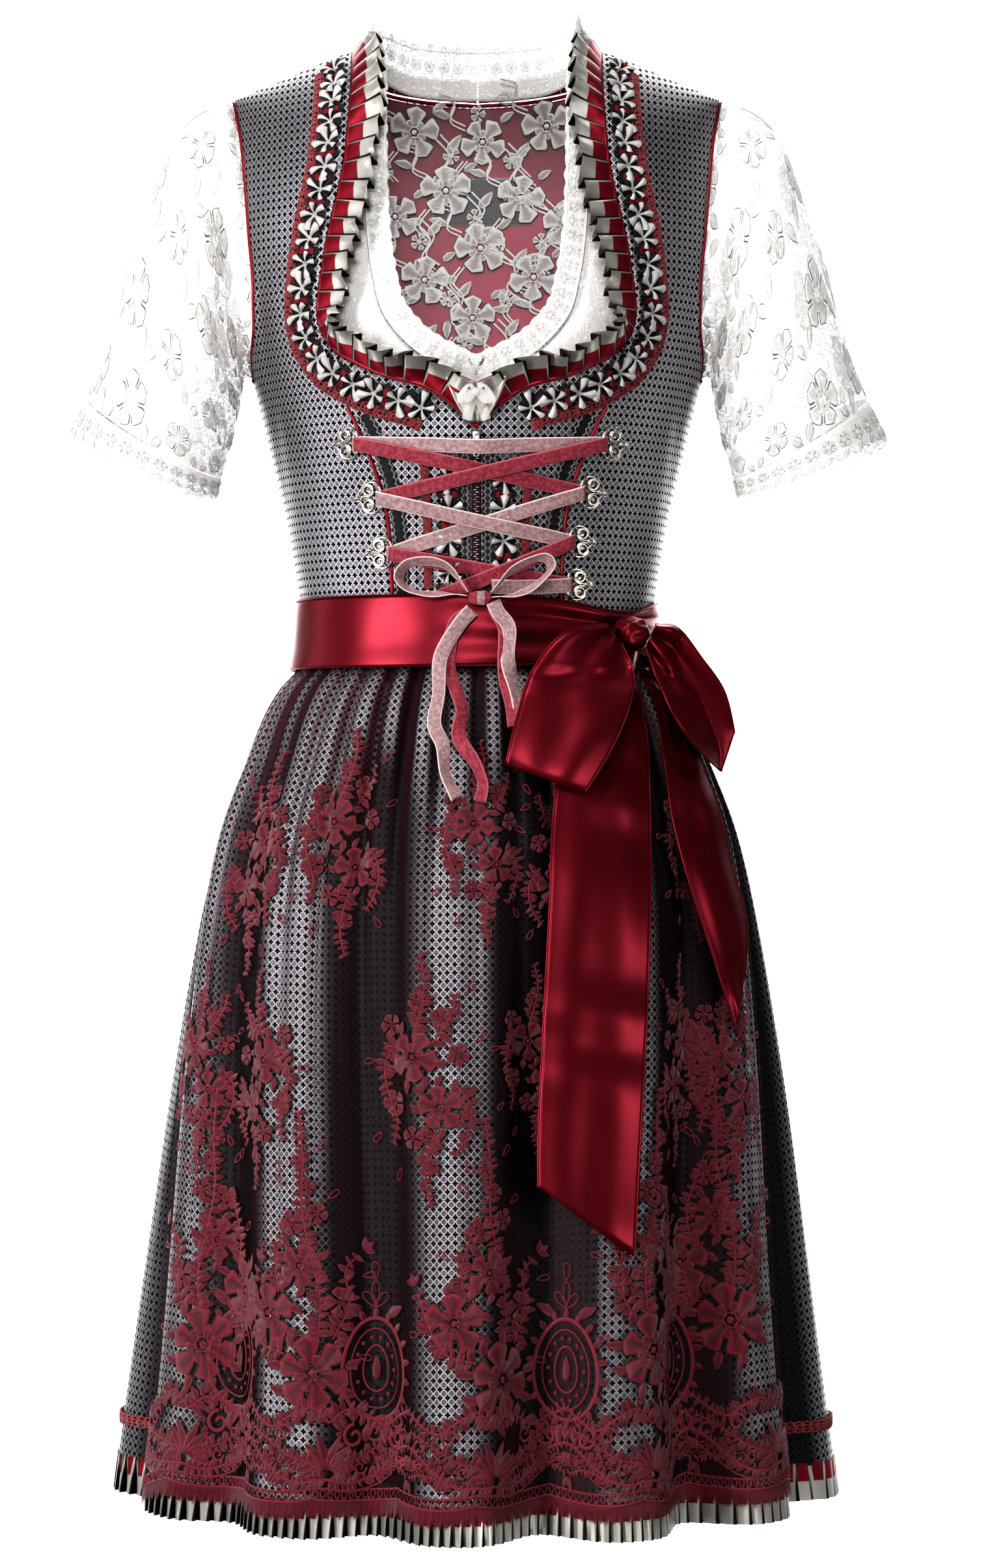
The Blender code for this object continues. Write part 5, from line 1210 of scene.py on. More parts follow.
def armhole_line(count=96):
    """Round the right armhole: top, front, underarm, back; sides point into the hole."""
    phase = math.tau * np.arange(count) / count
    z = mix(UNDERARM_Z, ridge(SHOULDER_TIP), 0.5 + 0.5 * np.cos(phase))
    side = np.where(phase <= math.pi, -1, 1)
    angle = turn(ARMHOLE.read("x", z), z)
    angle[count // 2] = math.pi / 2
    points = torso(angle, z, side)
    points[0, 1] = points[count // 2, 1] = 0.0
    normals = torso_normal(angle, z, side)
    normals[0] = unit(np.array((-SHOULDER_SLOPE, 0, 1.0)))
    for _ in range(2):
        normals = unit(np.roll(normals, 1, 0) + normals * 2 + np.roll(normals, -1, 0))
    line = Line(points, normals, closed=True)
    line.sides = -line.sides
    return line


def cord_along(pile, points, sides, normals, radius, closed=False):
    phase = np.linspace(0, math.tau, 8)[None, :, None]
    grid = points[:, None] + radius * (sides[:, None] * np.cos(phase) + normals[:, None] * np.sin(phase))
    if closed:
        grid = np.concatenate((grid, grid[:1]))
    pile.add(grid)


def both_sides(pile, material, slot, name, *nodes_of):
    """Build a piece for the right side and mirror it for the left."""
    for side, turned in (("right", 1.0), ("left", -1.0)):
        thing = mirrored_pile(pile, turned).build(f"{name}_{side}", material, slot)
        dress(thing, *(f"{node}_{side}" for node in nodes_of))


def mirrored_pile(pile, turned):
    """The same pile, mirrored across the garment's middle where turned is -1."""
    if turned > 0:
        return pile
    twin = Pile()
    twin.points = [flip(p) for p in pile.points]
    twin.faces = [f[:, ::-1] for f in pile.faces]
    twin.uvs, twin.tints, twin.count = pile.uvs, pile.tints, pile.count
    return twin


NECK_PIPING_RADIUS = 1.5 * MM
ARMHOLE_PIPING_RADIUS = 1.3 * MM
ROSETTES_FROM_NECK = 12.5 * MM
GIMP_FROM_NECK = 23.5 * MM


def make_pipings(cord):
    line = neck_line()
    inward = SEAM_GAP + NECK_PIPING_RADIUS
    middle = line.points - line.sides * inward - line.normals * BODICE_WALL / 2
    middle[0, 0] = middle[-1, 0] = 0.0
    points = np.concatenate((middle, flip(middle)[-2:0:-1]))
    sides = np.concatenate((line.sides, -flip(line.sides)[-2:0:-1]))
    normals = np.concatenate((line.normals, flip(line.normals)[-2:0:-1]))
    pile = Pile()
    cord_along(pile, points, sides, normals, NECK_PIPING_RADIUS, closed=True)
    dress(pile.build("piping_neck_cord", cord, "piping"), "piping_neck")

    arm = armhole_line()
    pile = Pile()
    centre = arm.points + arm.sides * (3 * SEAM_GAP + ARMHOLE_PIPING_RADIUS) - arm.normals * BODICE_WALL / 2
    cord_along(pile, centre, arm.sides, arm.normals, ARMHOLE_PIPING_RADIUS, closed=True)
    both_sides(pile, cord, "piping", "armhole_cord", "piping_armhole")

    seam = line_on_front(through((*PRINCESS[:-2], (0.0885, -0.2510)), 90))
    flat = Pile()
    cord_along(flat, seam.points + seam.normals * 0.5 * MM, seam.sides * 1.05, seam.normals * 0.9, 1.2 * MM)
    both_sides(flat, cord, "piping", "seam_cord", "piping_seam")


def braid(pile, line, period, swing, loop, radius, lift, per_period=10):
    """Two looping cords that cross each other along a line, with picot loops at both edges."""
    total = line.run[-1]
    periods = max(3, round(total / period))
    phase = np.linspace(0, math.tau * periods, periods * per_period + 1)
    for turned in (1.0, -1.0):
        run = total * phase / phase[-1] - loop * np.sin(phase)
        points, sides, normals = line.at(np.clip(run, 0, total))
        over = 0.45 * radius * (1 + turned * np.cos(phase * 2))
        path = points + sides * (turned * swing * np.cos(phase))[:, None] + normals * (lift + over)[:, None]
        pile.add(tube_grid(path, radius, 4, normal=normals))


def make_gimps(yarn):
    for name, line, period, swing in (
            ("gimp_neck", offset_line(GIMP_FROM_NECK, 0.10, 0.955, 160), 5.4 * MM, 3.9 * MM),
            ("gimp_front", line_on_front(through(((0.0365, -0.276), (0.0340, -0.320), (0.0330, -0.374)), 60)),
             4.6 * MM, 2.6 * MM)):
        pile = Pile()
        braid(pile, line, period, swing, 1.7 * MM, 0.66 * MM, 0.9 * MM)
        braid(pile, line, period * 0.62, swing * 0.45, 0.8 * MM, 0.6 * MM, 1.3 * MM)
        both_sides(pile, yarn, "gimp", name + "_loops", name)


def make_hem_gimp(yarn):
    column = np.linspace(0, SKIRT_COLUMNS, 1201)
    points, normals = skirt(column, GIMP_HEM_Z, 0.9 * MM), skirt_normal(column, GIMP_HEM_Z)
    line = Line(points, normals)
    line.sides = np.cross(unit(np.gradient(points, axis=0)), normals)
    pile = Pile()
    braid(pile, line, 6.2 * MM, 3.9 * MM, 2.0 * MM, 0.72 * MM, 0.8 * MM, 8)
    braid(pile, line, 5.2 * MM, 1.6 * MM, 1.0 * MM, 0.75 * MM, 1.0 * MM, 5)
    dress(pile.build("gimp_hem_loops", yarn, "gimp"), "gimp_hem")


def rosette(pile, centre, ahead, side, normal, size, spin, seed):
    """A star of gathered ribbon: five folded points with painted shade in the slits between them, pinched at
    its middle.
    """
    points = 5
    radial = np.array((0.0, 0.14, 0.32, 0.54, 0.78, 1.0))[:, None]
    theta = np.linspace(0, math.tau, points * 8 + 1)[None]
    wave = np.cos(points * (theta + spin))
    long = 1 + 0.22 * np.cos(theta + spin * 5 + seed)
    reach = size * radial * (0.74 + 0.26 * np.clip(0.5 + 0.5 * wave, 0, 1) ** 0.6) * (0.9 * long)
    crest = np.clip(0.5 + 0.5 * wave, 0, 1) ** 0.8
    high = (0.6 + 4.4 * np.sin(math.pi * np.minimum(radial * 0.68, 1)) * crest) * MM
    # Painted shade: the slits between the points get tint 1, which the ribbon paints black.
    tint = np.where((wave < 0.05) & (radial > 0.2), 1.0, 0.0) + 0 * radial
    grid = (centre + ahead * (reach * np.cos(theta))[..., None] + side * (reach * np.sin(theta))[..., None]
            + normal * high[..., None])
    uv = np.stack((reach * np.cos(theta), reach * np.sin(theta)), axis=-1)
    pile.add(grid, uv, tint)


def tuft(pile, centre, ahead, side, normal, wide, high, tint):
    """A small gathered fan of ribbon between two stars."""
    t = np.linspace(-1, 1, 13)[None]
    r = np.linspace(0, 1, 4)[:, None]
    ripple = 0.35 * np.cos(t * 9)
    x = (t * wide * (0.25 + 0.75 * r))
    y = high * r * (1 - 0.35 * t * t)
    lift = (0.8 + 1.2 * np.sin(math.pi * r * 0.8) * (0.8 + ripple)) * MM
    for hand in (1.0, -1.0):
        grid = centre + ahead * x[..., None] + side * (hand * y)[..., None] + normal * lift[..., None]
        pile.add(grid, None, tint)


def rosette_row(pile, line, pitch, size):
    count = int(round(line.run[-1] / pitch))
    step = line.run[-1] / count
    for i in range(count):
        run = (i + 0.5) * step
        point, side, normal = (v[0] for v in line.at(np.array((run,))))
        near = line.at(np.array((run + 1 * MM,)))[0][0]
        ahead = unit(near - point)
        rosette(pile, point, ahead, side, normal, size, 0.35 * (i % 3) + 0.15, i)
        between, side, normal = (v[0] for v in line.at(np.array((min(run + step / 2, line.run[-1]),))))
        tuft(pile, between, ahead, side, normal, 3.4 * MM, size * 0.9, 1.0)
        tuft(pile, between + normal * 0.6 * MM, ahead, side, normal, 2.6 * MM, size * 0.55, 2.0)


def make_rosettes(ribbon):
    for name, line, pitch, size in (
            ("rosettes_neck", offset_line(ROSETTES_FROM_NECK, 0.09, 0.965, 160), ROSETTE_PITCH, 11.6 * MM),
            ("rosettes_front", line_on_front(through(((0.0185, -0.290), (0.0185, -0.330),
                                                      (0.0190, -0.374)), 60)), 20 * MM, 10.2 * MM)):
        pile = Pile()
        rosette_row(pile, line, pitch, size)
        both_sides(pile, ribbon, "rosette_ribbon", name + "_stars", name)


def make_wave_strips(dark, pale):
    """Black scalloped strips with a pale wave, beside the zip and along the princess seams."""
    zip_side = ((0.0095, -0.277), (0.0095, -0.320), (0.0095, -0.376))
    seam_side = ((0.0770, -0.2560), (0.0700, -0.2700), (0.0582, -0.3030), (0.0522, -0.3400),
                 (0.0510, -0.3780))
    for name, spots, half, waves in (("zip_strip", zip_side, 5.6 * MM, 3),
                                     ("seam_strip", seam_side, 5.4 * MM, 2)):
        line = line_on_front(through(spots, 120))
        t = np.linspace(-1, 1, 5)
        edge = 1 + 0.10 * np.cos(line.run / (2.6 * MM) * math.tau / 2)[:, None]
        grid = (line.points[:, None] + line.sides[:, None] * (t[None] * half * edge)[..., None]
                + line.normals[:, None] * (0.45 * MM))
        band = Pile().add(grid, about=(0, 0, -0.33))
        both_sides(band, dark, "rosette_ribbon", name + "_ground")
        wave = Pile()
        for k in range(waves):
            offset = (k - (waves - 1) / 2) * half * (0.62 if waves == 3 else 1.45)
            fine = np.linspace(0, line.run[-1], 360)
            turns = fine / (4.6 * MM) * math.tau + k * math.pi
            points, sides, normals = line.at(np.clip(fine + 0.7 * MM * np.sin(2 * turns), 0, line.run[-1]))
            path = points + sides * (offset + 1.15 * MM * np.sin(turns))[:, None] + normals * 0.75 * MM
            wave.add(tube_grid(path, 0.48 * MM, 4, normal=normals))
        both_sides(wave, pale, "rosette_ribbon", name + "_waves")


RUFFLE_HEIGHT = 22 * MM
RUFFLE_CAP_Z = 0.016


def make_neck_ruffle(ribbon):
    """Knife-pleated ribbon that stands up along the inside of the neck piping."""
    line = neck_line()
    total = line.run[-1]
    start = 4 * MM
    count = int((total - start) / RUFFLE_PITCH)
    shares = np.array((0.0, 0.10, 0.22, 0.36, 0.50, 0.62, 0.70, 0.78, 0.90))
    along, out = knife(shares, 0.34)
    pleats = [start + RUFFLE_PITCH * (k + along) for k in range(count)]
    run = np.concatenate(pleats + [[start + RUFFLE_PITCH * count]])
    wave = np.concatenate((np.tile(out, count), [0.0]))
    points, sides, normals = line.at(np.minimum(run, total))
    depth = np.linspace(0, 1, 13)[:, None]
    front_end = arc(through(NECK_FRONT, 240))[-1]
    to_back = ease((run - front_end * 1.02 + 0.03) / 0.07)[None]
    up_strap = ease((run - 0.11) / 0.05)[None]
    height = np.minimum(RUFFLE_HEIGHT, 0.9 * run)[None] * (1 + 0.26 * up_strap) * (1 - 0.45 * to_back)
    uneven = 1 + 0.06 * noise(run[None] * 60, depth * 0, 3)
    rise = mix(0.45, 0.16, up_strap) + 0.10 * noise(run[None] * 40, depth, 5) + 0.3 * to_back
    curl = 3.2 * MM * depth ** 3 * (0.5 + 0.5 * np.sin(run[None] * 300))
    reach = height * depth * uneven
    base = points[None] - sides[None] * 3.6 * MM + normals[None] * 0.9 * MM
    along_dir = -sides[None] * np.cos(rise)[..., None] + normals[None] * np.sin(rise)[..., None]
    lift_dir = sides[None] * np.sin(rise)[..., None] + normals[None] * np.cos(rise)[..., None]
    loose = 1 + 0.3 * noise(run[None] * 31, 0, 9)
    open_out = mix(1.8, 6.4, depth ** 0.8) * MM * (1 - 0.5 * to_back) * loose
    raised = wave[None] * open_out + curl * wave[None]
    grid = base + along_dir * reach[..., None] + lift_dir * raised[..., None]
    grid[..., 0] = np.maximum(grid[..., 0], 0.6 * MM)
    grid[..., 2] = np.where(grid[..., 2] > RUFFLE_CAP_Z, RUFFLE_CAP_Z + (grid[..., 2] - RUFFLE_CAP_Z) * 0.45,
                            grid[..., 2])
    # Painted shade: the folded-back parts of each pleat get a tint of 2 or more, which the ribbon paints near
    # black.
    under = np.concatenate((np.tile((shares > 0.69) | (shares < 0.09), count), [True]))[None]
    pile = Pile().add(grid, measured(grid), depth + 2.0 * under, turn_faces=True)

    both_sides(pile, ribbon, "two_tone_ribbon", "ruffle_pleats", "ruffle_neck")
    for side in ("right", "left"):
        cut(grid)


TAB_TOP_Z = -0.2370
TAB_LONG = 25.5 * MM


def make_neck_tabs(ribbon, sheer):
    """Two folded ribbon ends that meet at the point of the neckline, and a sheer bow over them."""
    pile = Pile()
    t = np.linspace(0, 1, 13)[None]
    s = np.linspace(0, 1, 15)[:, None]
    for hand in (1, -1):
        x = hand * (0.4 + mix(0.0, 19.5, t) * (1 - 0.72 * s ** 1.4)) * MM
        z = TAB_TOP_Z - s * TAB_LONG + t * (1 - s) * 5 * MM
        fold = np.sin(t * math.pi * 2.4 + hand) * (1 - 0.6 * s)
        lift = (8.6 + 1.5 * fold - 4.2 * s) * MM
        pile.add(on_front(x, z, lift), None, 0.85 - 0.2 * s + 0 * t)
    tabs = pile.build("neck_tabs", ribbon, "two_tone_ribbon", 0.3 * MM)
    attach(tabs, "garment")
    bow = Pile()
    phase = np.linspace(0, math.tau, 25)[None]
    steps = np.linspace(0, 1, 13)[:, None]
    middle = on_front(0.0, -0.2430, 12.5 * MM)
    for hand in (1, -1):
        width = 2.2 + 4.6 * np.sin(math.pi * steps ** 0.8)
        loop = (hand * 13 * MM * steps + 0 * phase, -1.6 * MM * np.cos(phase) - 1 * MM * steps,
                (width * np.sin(phase) - 5.0 * steps ** 2) * MM)
        bow.add(middle + np.stack(loop, axis=-1))
        end = np.linspace(0, 1, 9)
        path = on_front(hand * (1.5 + 5 * end) * MM, -0.2440 - 17 * MM * end, (11.5 - 3 * end) * MM)
        across = np.array((1.0, 0, 0.25 * hand))
        bow.add(ribbon_grid(path, np.broadcast_to(across, path.shape), 6.5 * MM))
    bow.add(bead_grid(middle, 3.4 * MM, 1.0), about=middle)
    knot = bow.build("neck_bow", sheer, "lace")
    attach(knot, "garment")


# Zip, hooks and lacing

def make_zip(silver, tape):
    top, bottom = ZIP_TOP_Z, WAIST_Z + 1 * MM
    pile = Pile()
    pitch = 1.6 * MM
    count = int((top - bottom) / pitch)
    box_x = np.array((-1.0, 1.0, 1.0, -1.0, -1.0))
    box_z = np.array((-1.0, -1.0, 1.0, 1.0, -1.0))
    for i in range(count):
        z = top - (i + 0.5) * pitch
        hand = 1.0 if i % 2 else -1.0
        y = float(torso(0.0, z, -1)[1])
        rings = []
        for depth, size in ((0.0, 1.0), (0.6, 1.0), (0.95, 0.7), (0.95, 0.0)):
            rings.append(np.stack((hand * 0.75 * MM + box_x * 1.35 * MM * size, 0 * box_x + y - depth * MM,
                                   z + box_z * 0.42 * MM * size), axis=-1))
        pile.add(np.array(rings))
    z = np.linspace(top, bottom, 60)[:, None]
    x = np.linspace(-ZIP_HALF + SEAM_GAP, ZIP_HALF - SEAM_GAP, 5)[None]
    grid = torso(turn(np.abs(x), z), z, -1, -0.2 * MM)
    grid[..., 0] = x
    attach(surface("zip_tape", grid, tape, "metal", None, 0.8 * MM), "garment")
    y = float(torso(0.0, SLIDER_Z, -1)[1])
    path = np.linspace(0, 1, 9)[:, None]
    phase = np.linspace(0, math.tau, 25)[None]
    half = (2.9 - 0.9 * path ** 2) * MM
    deep = 1.5 * MM * np.sign(np.sin(phase)) * np.abs(np.sin(phase)) ** 0.6
    wide = half * np.sign(np.cos(phase)) * np.abs(np.cos(phase)) ** 0.5
    ring = np.stack((wide, y - 0.9 * MM + deep + 0 * path,
                     SLIDER_Z + 2 * MM - path * 6.5 * MM + 0 * phase), axis=-1)
    pile.add(ring, about=(0, y, SLIDER_Z))
    dress(pile.build("zip_teeth", silver, "metal"), "zip")


def make_zip_pull(silver):
    low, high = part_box("zip_pull")
    y = (low[1] + high[1]) / 2
    top = high[2]
    loop = through(((-1.3, -0.2), (-2.0, -4), (-2.1, -11), (-1.2, -14.6), (1.2, -14.6), (2.1, -11), (2.0, -4),
                    (1.3, -0.2), (0, 0.1), (-1.3, -0.2)), 60)
    path = np.stack((loop[:, 0] * MM, y + 0 * loop[:, 0], top + loop[:, 1] * MM), axis=-1)
    pile = Pile()
    pile.add(tube_grid(path, 0.45 * MM))
    plate = np.array([[(x * MM, y, top + z * MM) for x in np.linspace(-1.7, 1.7, 5)]
                      for z in np.linspace(-6.5, -1.0, 6)])
    pile.add(plate)
    pull = pile.build("zip_pull_tab", silver, "metal", 0.3 * MM, 0)
    dress(pull, "zip_pull", body="zip_pull")


def spiral(centre, radius, start, turns, inner, count=40):
    t = np.linspace(0, 1, count)
    a = start + turns * math.tau * t
    r = mix(radius, inner, t ** 1.3)
    return np.stack((centre[0] + r * np.cos(a), centre[1] + r * np.sin(a)), axis=-1)


def make_hooks(silver, stone):
    for name, (x0, z0) in FOLDS.items():
        hand = 1 if x0 > 0 else -1
        wires, beads = Pile(), Pile()

        def place(u, v, out):
            u, v = np.asarray(u, float), np.asarray(v, float)
            rise = np.where(u < 4, mix(BAR_OUT, 1.6 * MM, ease((u + 1) / 5)), 1.6 * MM)
            return on_front(x0 + hand * u * MM, z0 + v * MM, rise + out)

        def wire(path, radius, out=0.0):
            path = np.asarray(path, float)
            points = place(path[:, 0], path[:, 1], out)
            wires.add(tube_grid(points, 1.35 * radius * MM, 7))

        for s in (1, -1):
            wire(spiral((8.4, 5.4 * s), 3.7, -0.9 * s * 3, 1.15 * s, 2.9), 0.50)
            wire(spiral((8.4, 5.4 * s), 2.9, 0.6 * s, 0.9 * s, 0.5), 0.34, 0.3 * MM)
            wire(spiral((7.4, 5.2 * s), 1.3, 2.0 * s, 0.8 * s, 0.5, 20), 0.30, 0.5 * MM)
            wire(through(((-0.9, 6.2 * s), (1.0, 8.3 * s), (4.2, 10.2 * s), (8.0, 10.2 * s), (11.4, 8.4 * s),
                          (12.4, 5.4 * s)), 40), 0.52)
            wire(through(((4.6, 4.4 * s), (5.6, 2.2 * s), (8.4, 0.8 * s), (11.5, 0.9 * s)), 24), 0.42)
            wire(through(((12.2, 4.6 * s), (13.4, 3.2 * s), (14.6, 2.0 * s), (16.4, 2.4 * s),
                          (17.6, 1.2 * s)), 24), 0.40)
            for u, v in ((9.6, 11.1), (6.2, 11.2), (12.9, 7.2), (4.4, 8.6)):
                bead(beads, place(u, v * s, 0.2 * MM), 0.62 * MM)
        wire(through(((-0.9, -6.3), (-1.1, 0.0), (-0.9, 6.3)), 20), 0.55)
        for u, v, size in ((16.6, 0.0, 2.1), (12.9, 0.0, 1.7)):
            bead(wires, place(u, v, 0.0), size * MM, 0.45)
            bead(beads, place(u, v, 0.9 * MM), size * 0.55 * MM, 0.9)
            for a in np.linspace(0, math.tau, 9)[:-1]:
                spot = (u + 0.86 * size * math.cos(a), v + 0.86 * size * math.sin(a))
                bead(beads, place(*spot, 0.5 * MM), 0.36 * MM)
        hook = wires.build("filigree_" + name, silver, "metal")
        dress(hook, "hook_" + name)
        gems = beads.build("stones_" + name, stone, "metal")
        gems.parent = hook


def bead_grid(centre, radius, flat=1.0):
    a = np.linspace(-math.pi / 2, math.pi / 2, 7)[:, None]
    b = np.linspace(0, math.tau, 13)[None]
    return centre + radius * np.stack((np.cos(a) * np.cos(b), flat * np.cos(a) * np.sin(b),
                                       np.sin(a) + 0 * b), axis=-1)


def bead(pile, centre, radius, flat=1.0):
    pile.add(bead_grid(centre, radius, flat), about=centre)


def ribbon_grid(centres, across, width, crown=0.25 * MM):
    """Rows of a ribbon from its middle line and its width direction, a little crowned."""
    centres, across = np.asarray(centres, float), np.asarray(across, float)
    ahead = unit(np.gradient(centres, axis=0))
    lift = unit(np.cross(ahead, across))
    t = np.linspace(-1, 1, 7)[None, :, None]
    return centres[:, None] + across[:, None] * t * width / 2 + lift[:, None] * crown * (1 - t * t)


def lacing_uv(grid):
    uv = measured(grid)
    uv[..., 1] = uv[..., 1].mean(axis=1, keepdims=True)
    uv[..., 0] = np.linspace(0, 1, grid.shape[1])[None]
    return uv


def ribbon_faces():
    """Double ribbon: velvet on its red face and sheer dusty pink on the other, with pale edges."""
    net = Net("lacing_ribbon", Roughness=0.72, Sheen_Weight=0.7, Sheen_Roughness=0.4,
              Sheen_Tint=(1.0, 0.6, 0.65, 1))
    u, _ = net.uv()
    edge = net.step(net.math("ABSOLUTE", net.math("SUBTRACT", u, 0.5)), 0.40, 0.45)
    fluff = net.step(net.grain(420.0, 3.0), 0.35, 0.68)
    red = net.colour(fluff, (0.19, 0.014, 0.032), (0.33, 0.045, 0.070))
    pale = net.colour(fluff, (0.27, 0.16, 0.165), (0.42, 0.29, 0.29))
    shade = net.colour(net.step(net.tint(), 0.4, 0.6), red, pale)
    trim = net.colour(net.step(net.tint(), 0.4, 0.6), (0.40, 0.10, 0.13), (0.66, 0.52, 0.50))
    shade = net.colour(edge, shade, trim)
    return net.bump(net.grain(600.0, 2.0), 0.2 * MM, 0.6).done(Base_Color=shade)


def make_lacing(cloth):
    """One double ribbon from the knot up through the hooks and down again behind the band."""
    route = ("knot", "right_4", "left_3", "right_2", "left_1", "right_1", "left_2", "right_3", "end")
    spots = dict(FOLDS, knot=(0.010, -0.3725), end=(-0.040, -0.3860))
    lifts = ((9.2, 7.8, 6.2), (3.4, 4.3, 6.2), (3.4, 4.3, 6.2), (3.4, 5.2, 6.2),
             (3.4, 9.2, 3.4), (6.2, 7.3, 3.4), (6.2, 7.3, 3.4), (6.2, 6.2, 2.6))
    faces = (1, 0, 1, 0, 1, 0, 1, 0)
    centres, widths, tints = [], [], []
    for i, (first, last) in enumerate(zip(route, route[1:])):
        (x0, z0), (x1, z1) = spots[first], spots[last]
        start, middle, end = lifts[i]
        t = np.linspace(0, 1, 31)
        if i == 4:
            lift = mix(start, middle, ease((0.14 - np.abs(t - 0.5)) / 0.09))
            lift = np.convolve(np.pad(lift, 2, mode="edge"), np.ones(5) / 5, mode="valid")
            sag = 3 * MM * np.sin(math.pi * t)
        else:
            lift = mix(np.where(t < 0.5, start, end), middle, np.minimum(1.0, np.minimum(t, 1 - t) / 0.36))
            sag = 0.8 * MM * np.sin(math.pi * t)
        x, z = mix(x0, x1, t), mix(z0, z1, t) - sag
        out = unit(on_front(x, z, MM) - on_front(x, z, 0.0))
        across = unit(np.cross(out, np.array((x1 - x0, 0, z1 - z0))))
        across = across * np.where(across[:, 2:] > 0, 1.0, -1.0)
        up = unit(on_front(x, z + MM) - on_front(x, z - MM))
        hold_start = (1 - ease(t / 0.16))[:, None] * (first in FOLDS)
        hold_end = (1 - ease((1 - t) / 0.16))[:, None] * (last in FOLDS)
        across = unit(mix(across, up, hold_start + hold_end))
        centres.append(on_front(x, z, lift * MM))
        widths.append(across)
        tints.append(np.full(len(t), float(faces[i])))
        if last in FOLDS:
            hand = 1 if x1 > 0 else -1
            level = mix(end, lifts[i + 1][0], np.linspace(0, 1, 9)[1:-1]) * MM
            bulge = 2.3 * MM * np.sin(np.linspace(0, math.pi, 9)[1:-1])
            out = unit(on_front(x1, z1, MM) - on_front(x1, z1, 0.0))
            up_here = unit(on_front(x1, z1 + MM) - on_front(x1, z1 - MM))
            away = unit(np.cross(up_here, out)) * hand
            away = away if away[0] * hand > 0 else -away
            centres.append(on_front(x1 + 0 * level, z1 + 0 * level, level) + away * bulge[:, None])
            widths.append(np.broadcast_to(up_here, (7, 3)))
            tints.append(np.full(7, float(faces[i + 1])))
    centres, widths, tints = np.concatenate(centres), np.concatenate(widths), np.concatenate(tints)
    grid = centres[:, None] + widths[:, None] * (np.linspace(-1, 1, 7)[None, :, None] * LACING_WIDTH / 2)
    pile = Pile().add(grid, lacing_uv(grid), tints[:, None])
    thing = pile.build("lacing_ribbon", cloth, "lacing", LACING_WALL, 0)
    dress(thing, "lacing")


def ribbon_piece(name, node, grid, tint, cloth):
    thing = Pile().add(grid, lacing_uv(grid), tint).build(name, cloth, "lacing", LACING_WALL, 0)
    dress(thing, node)


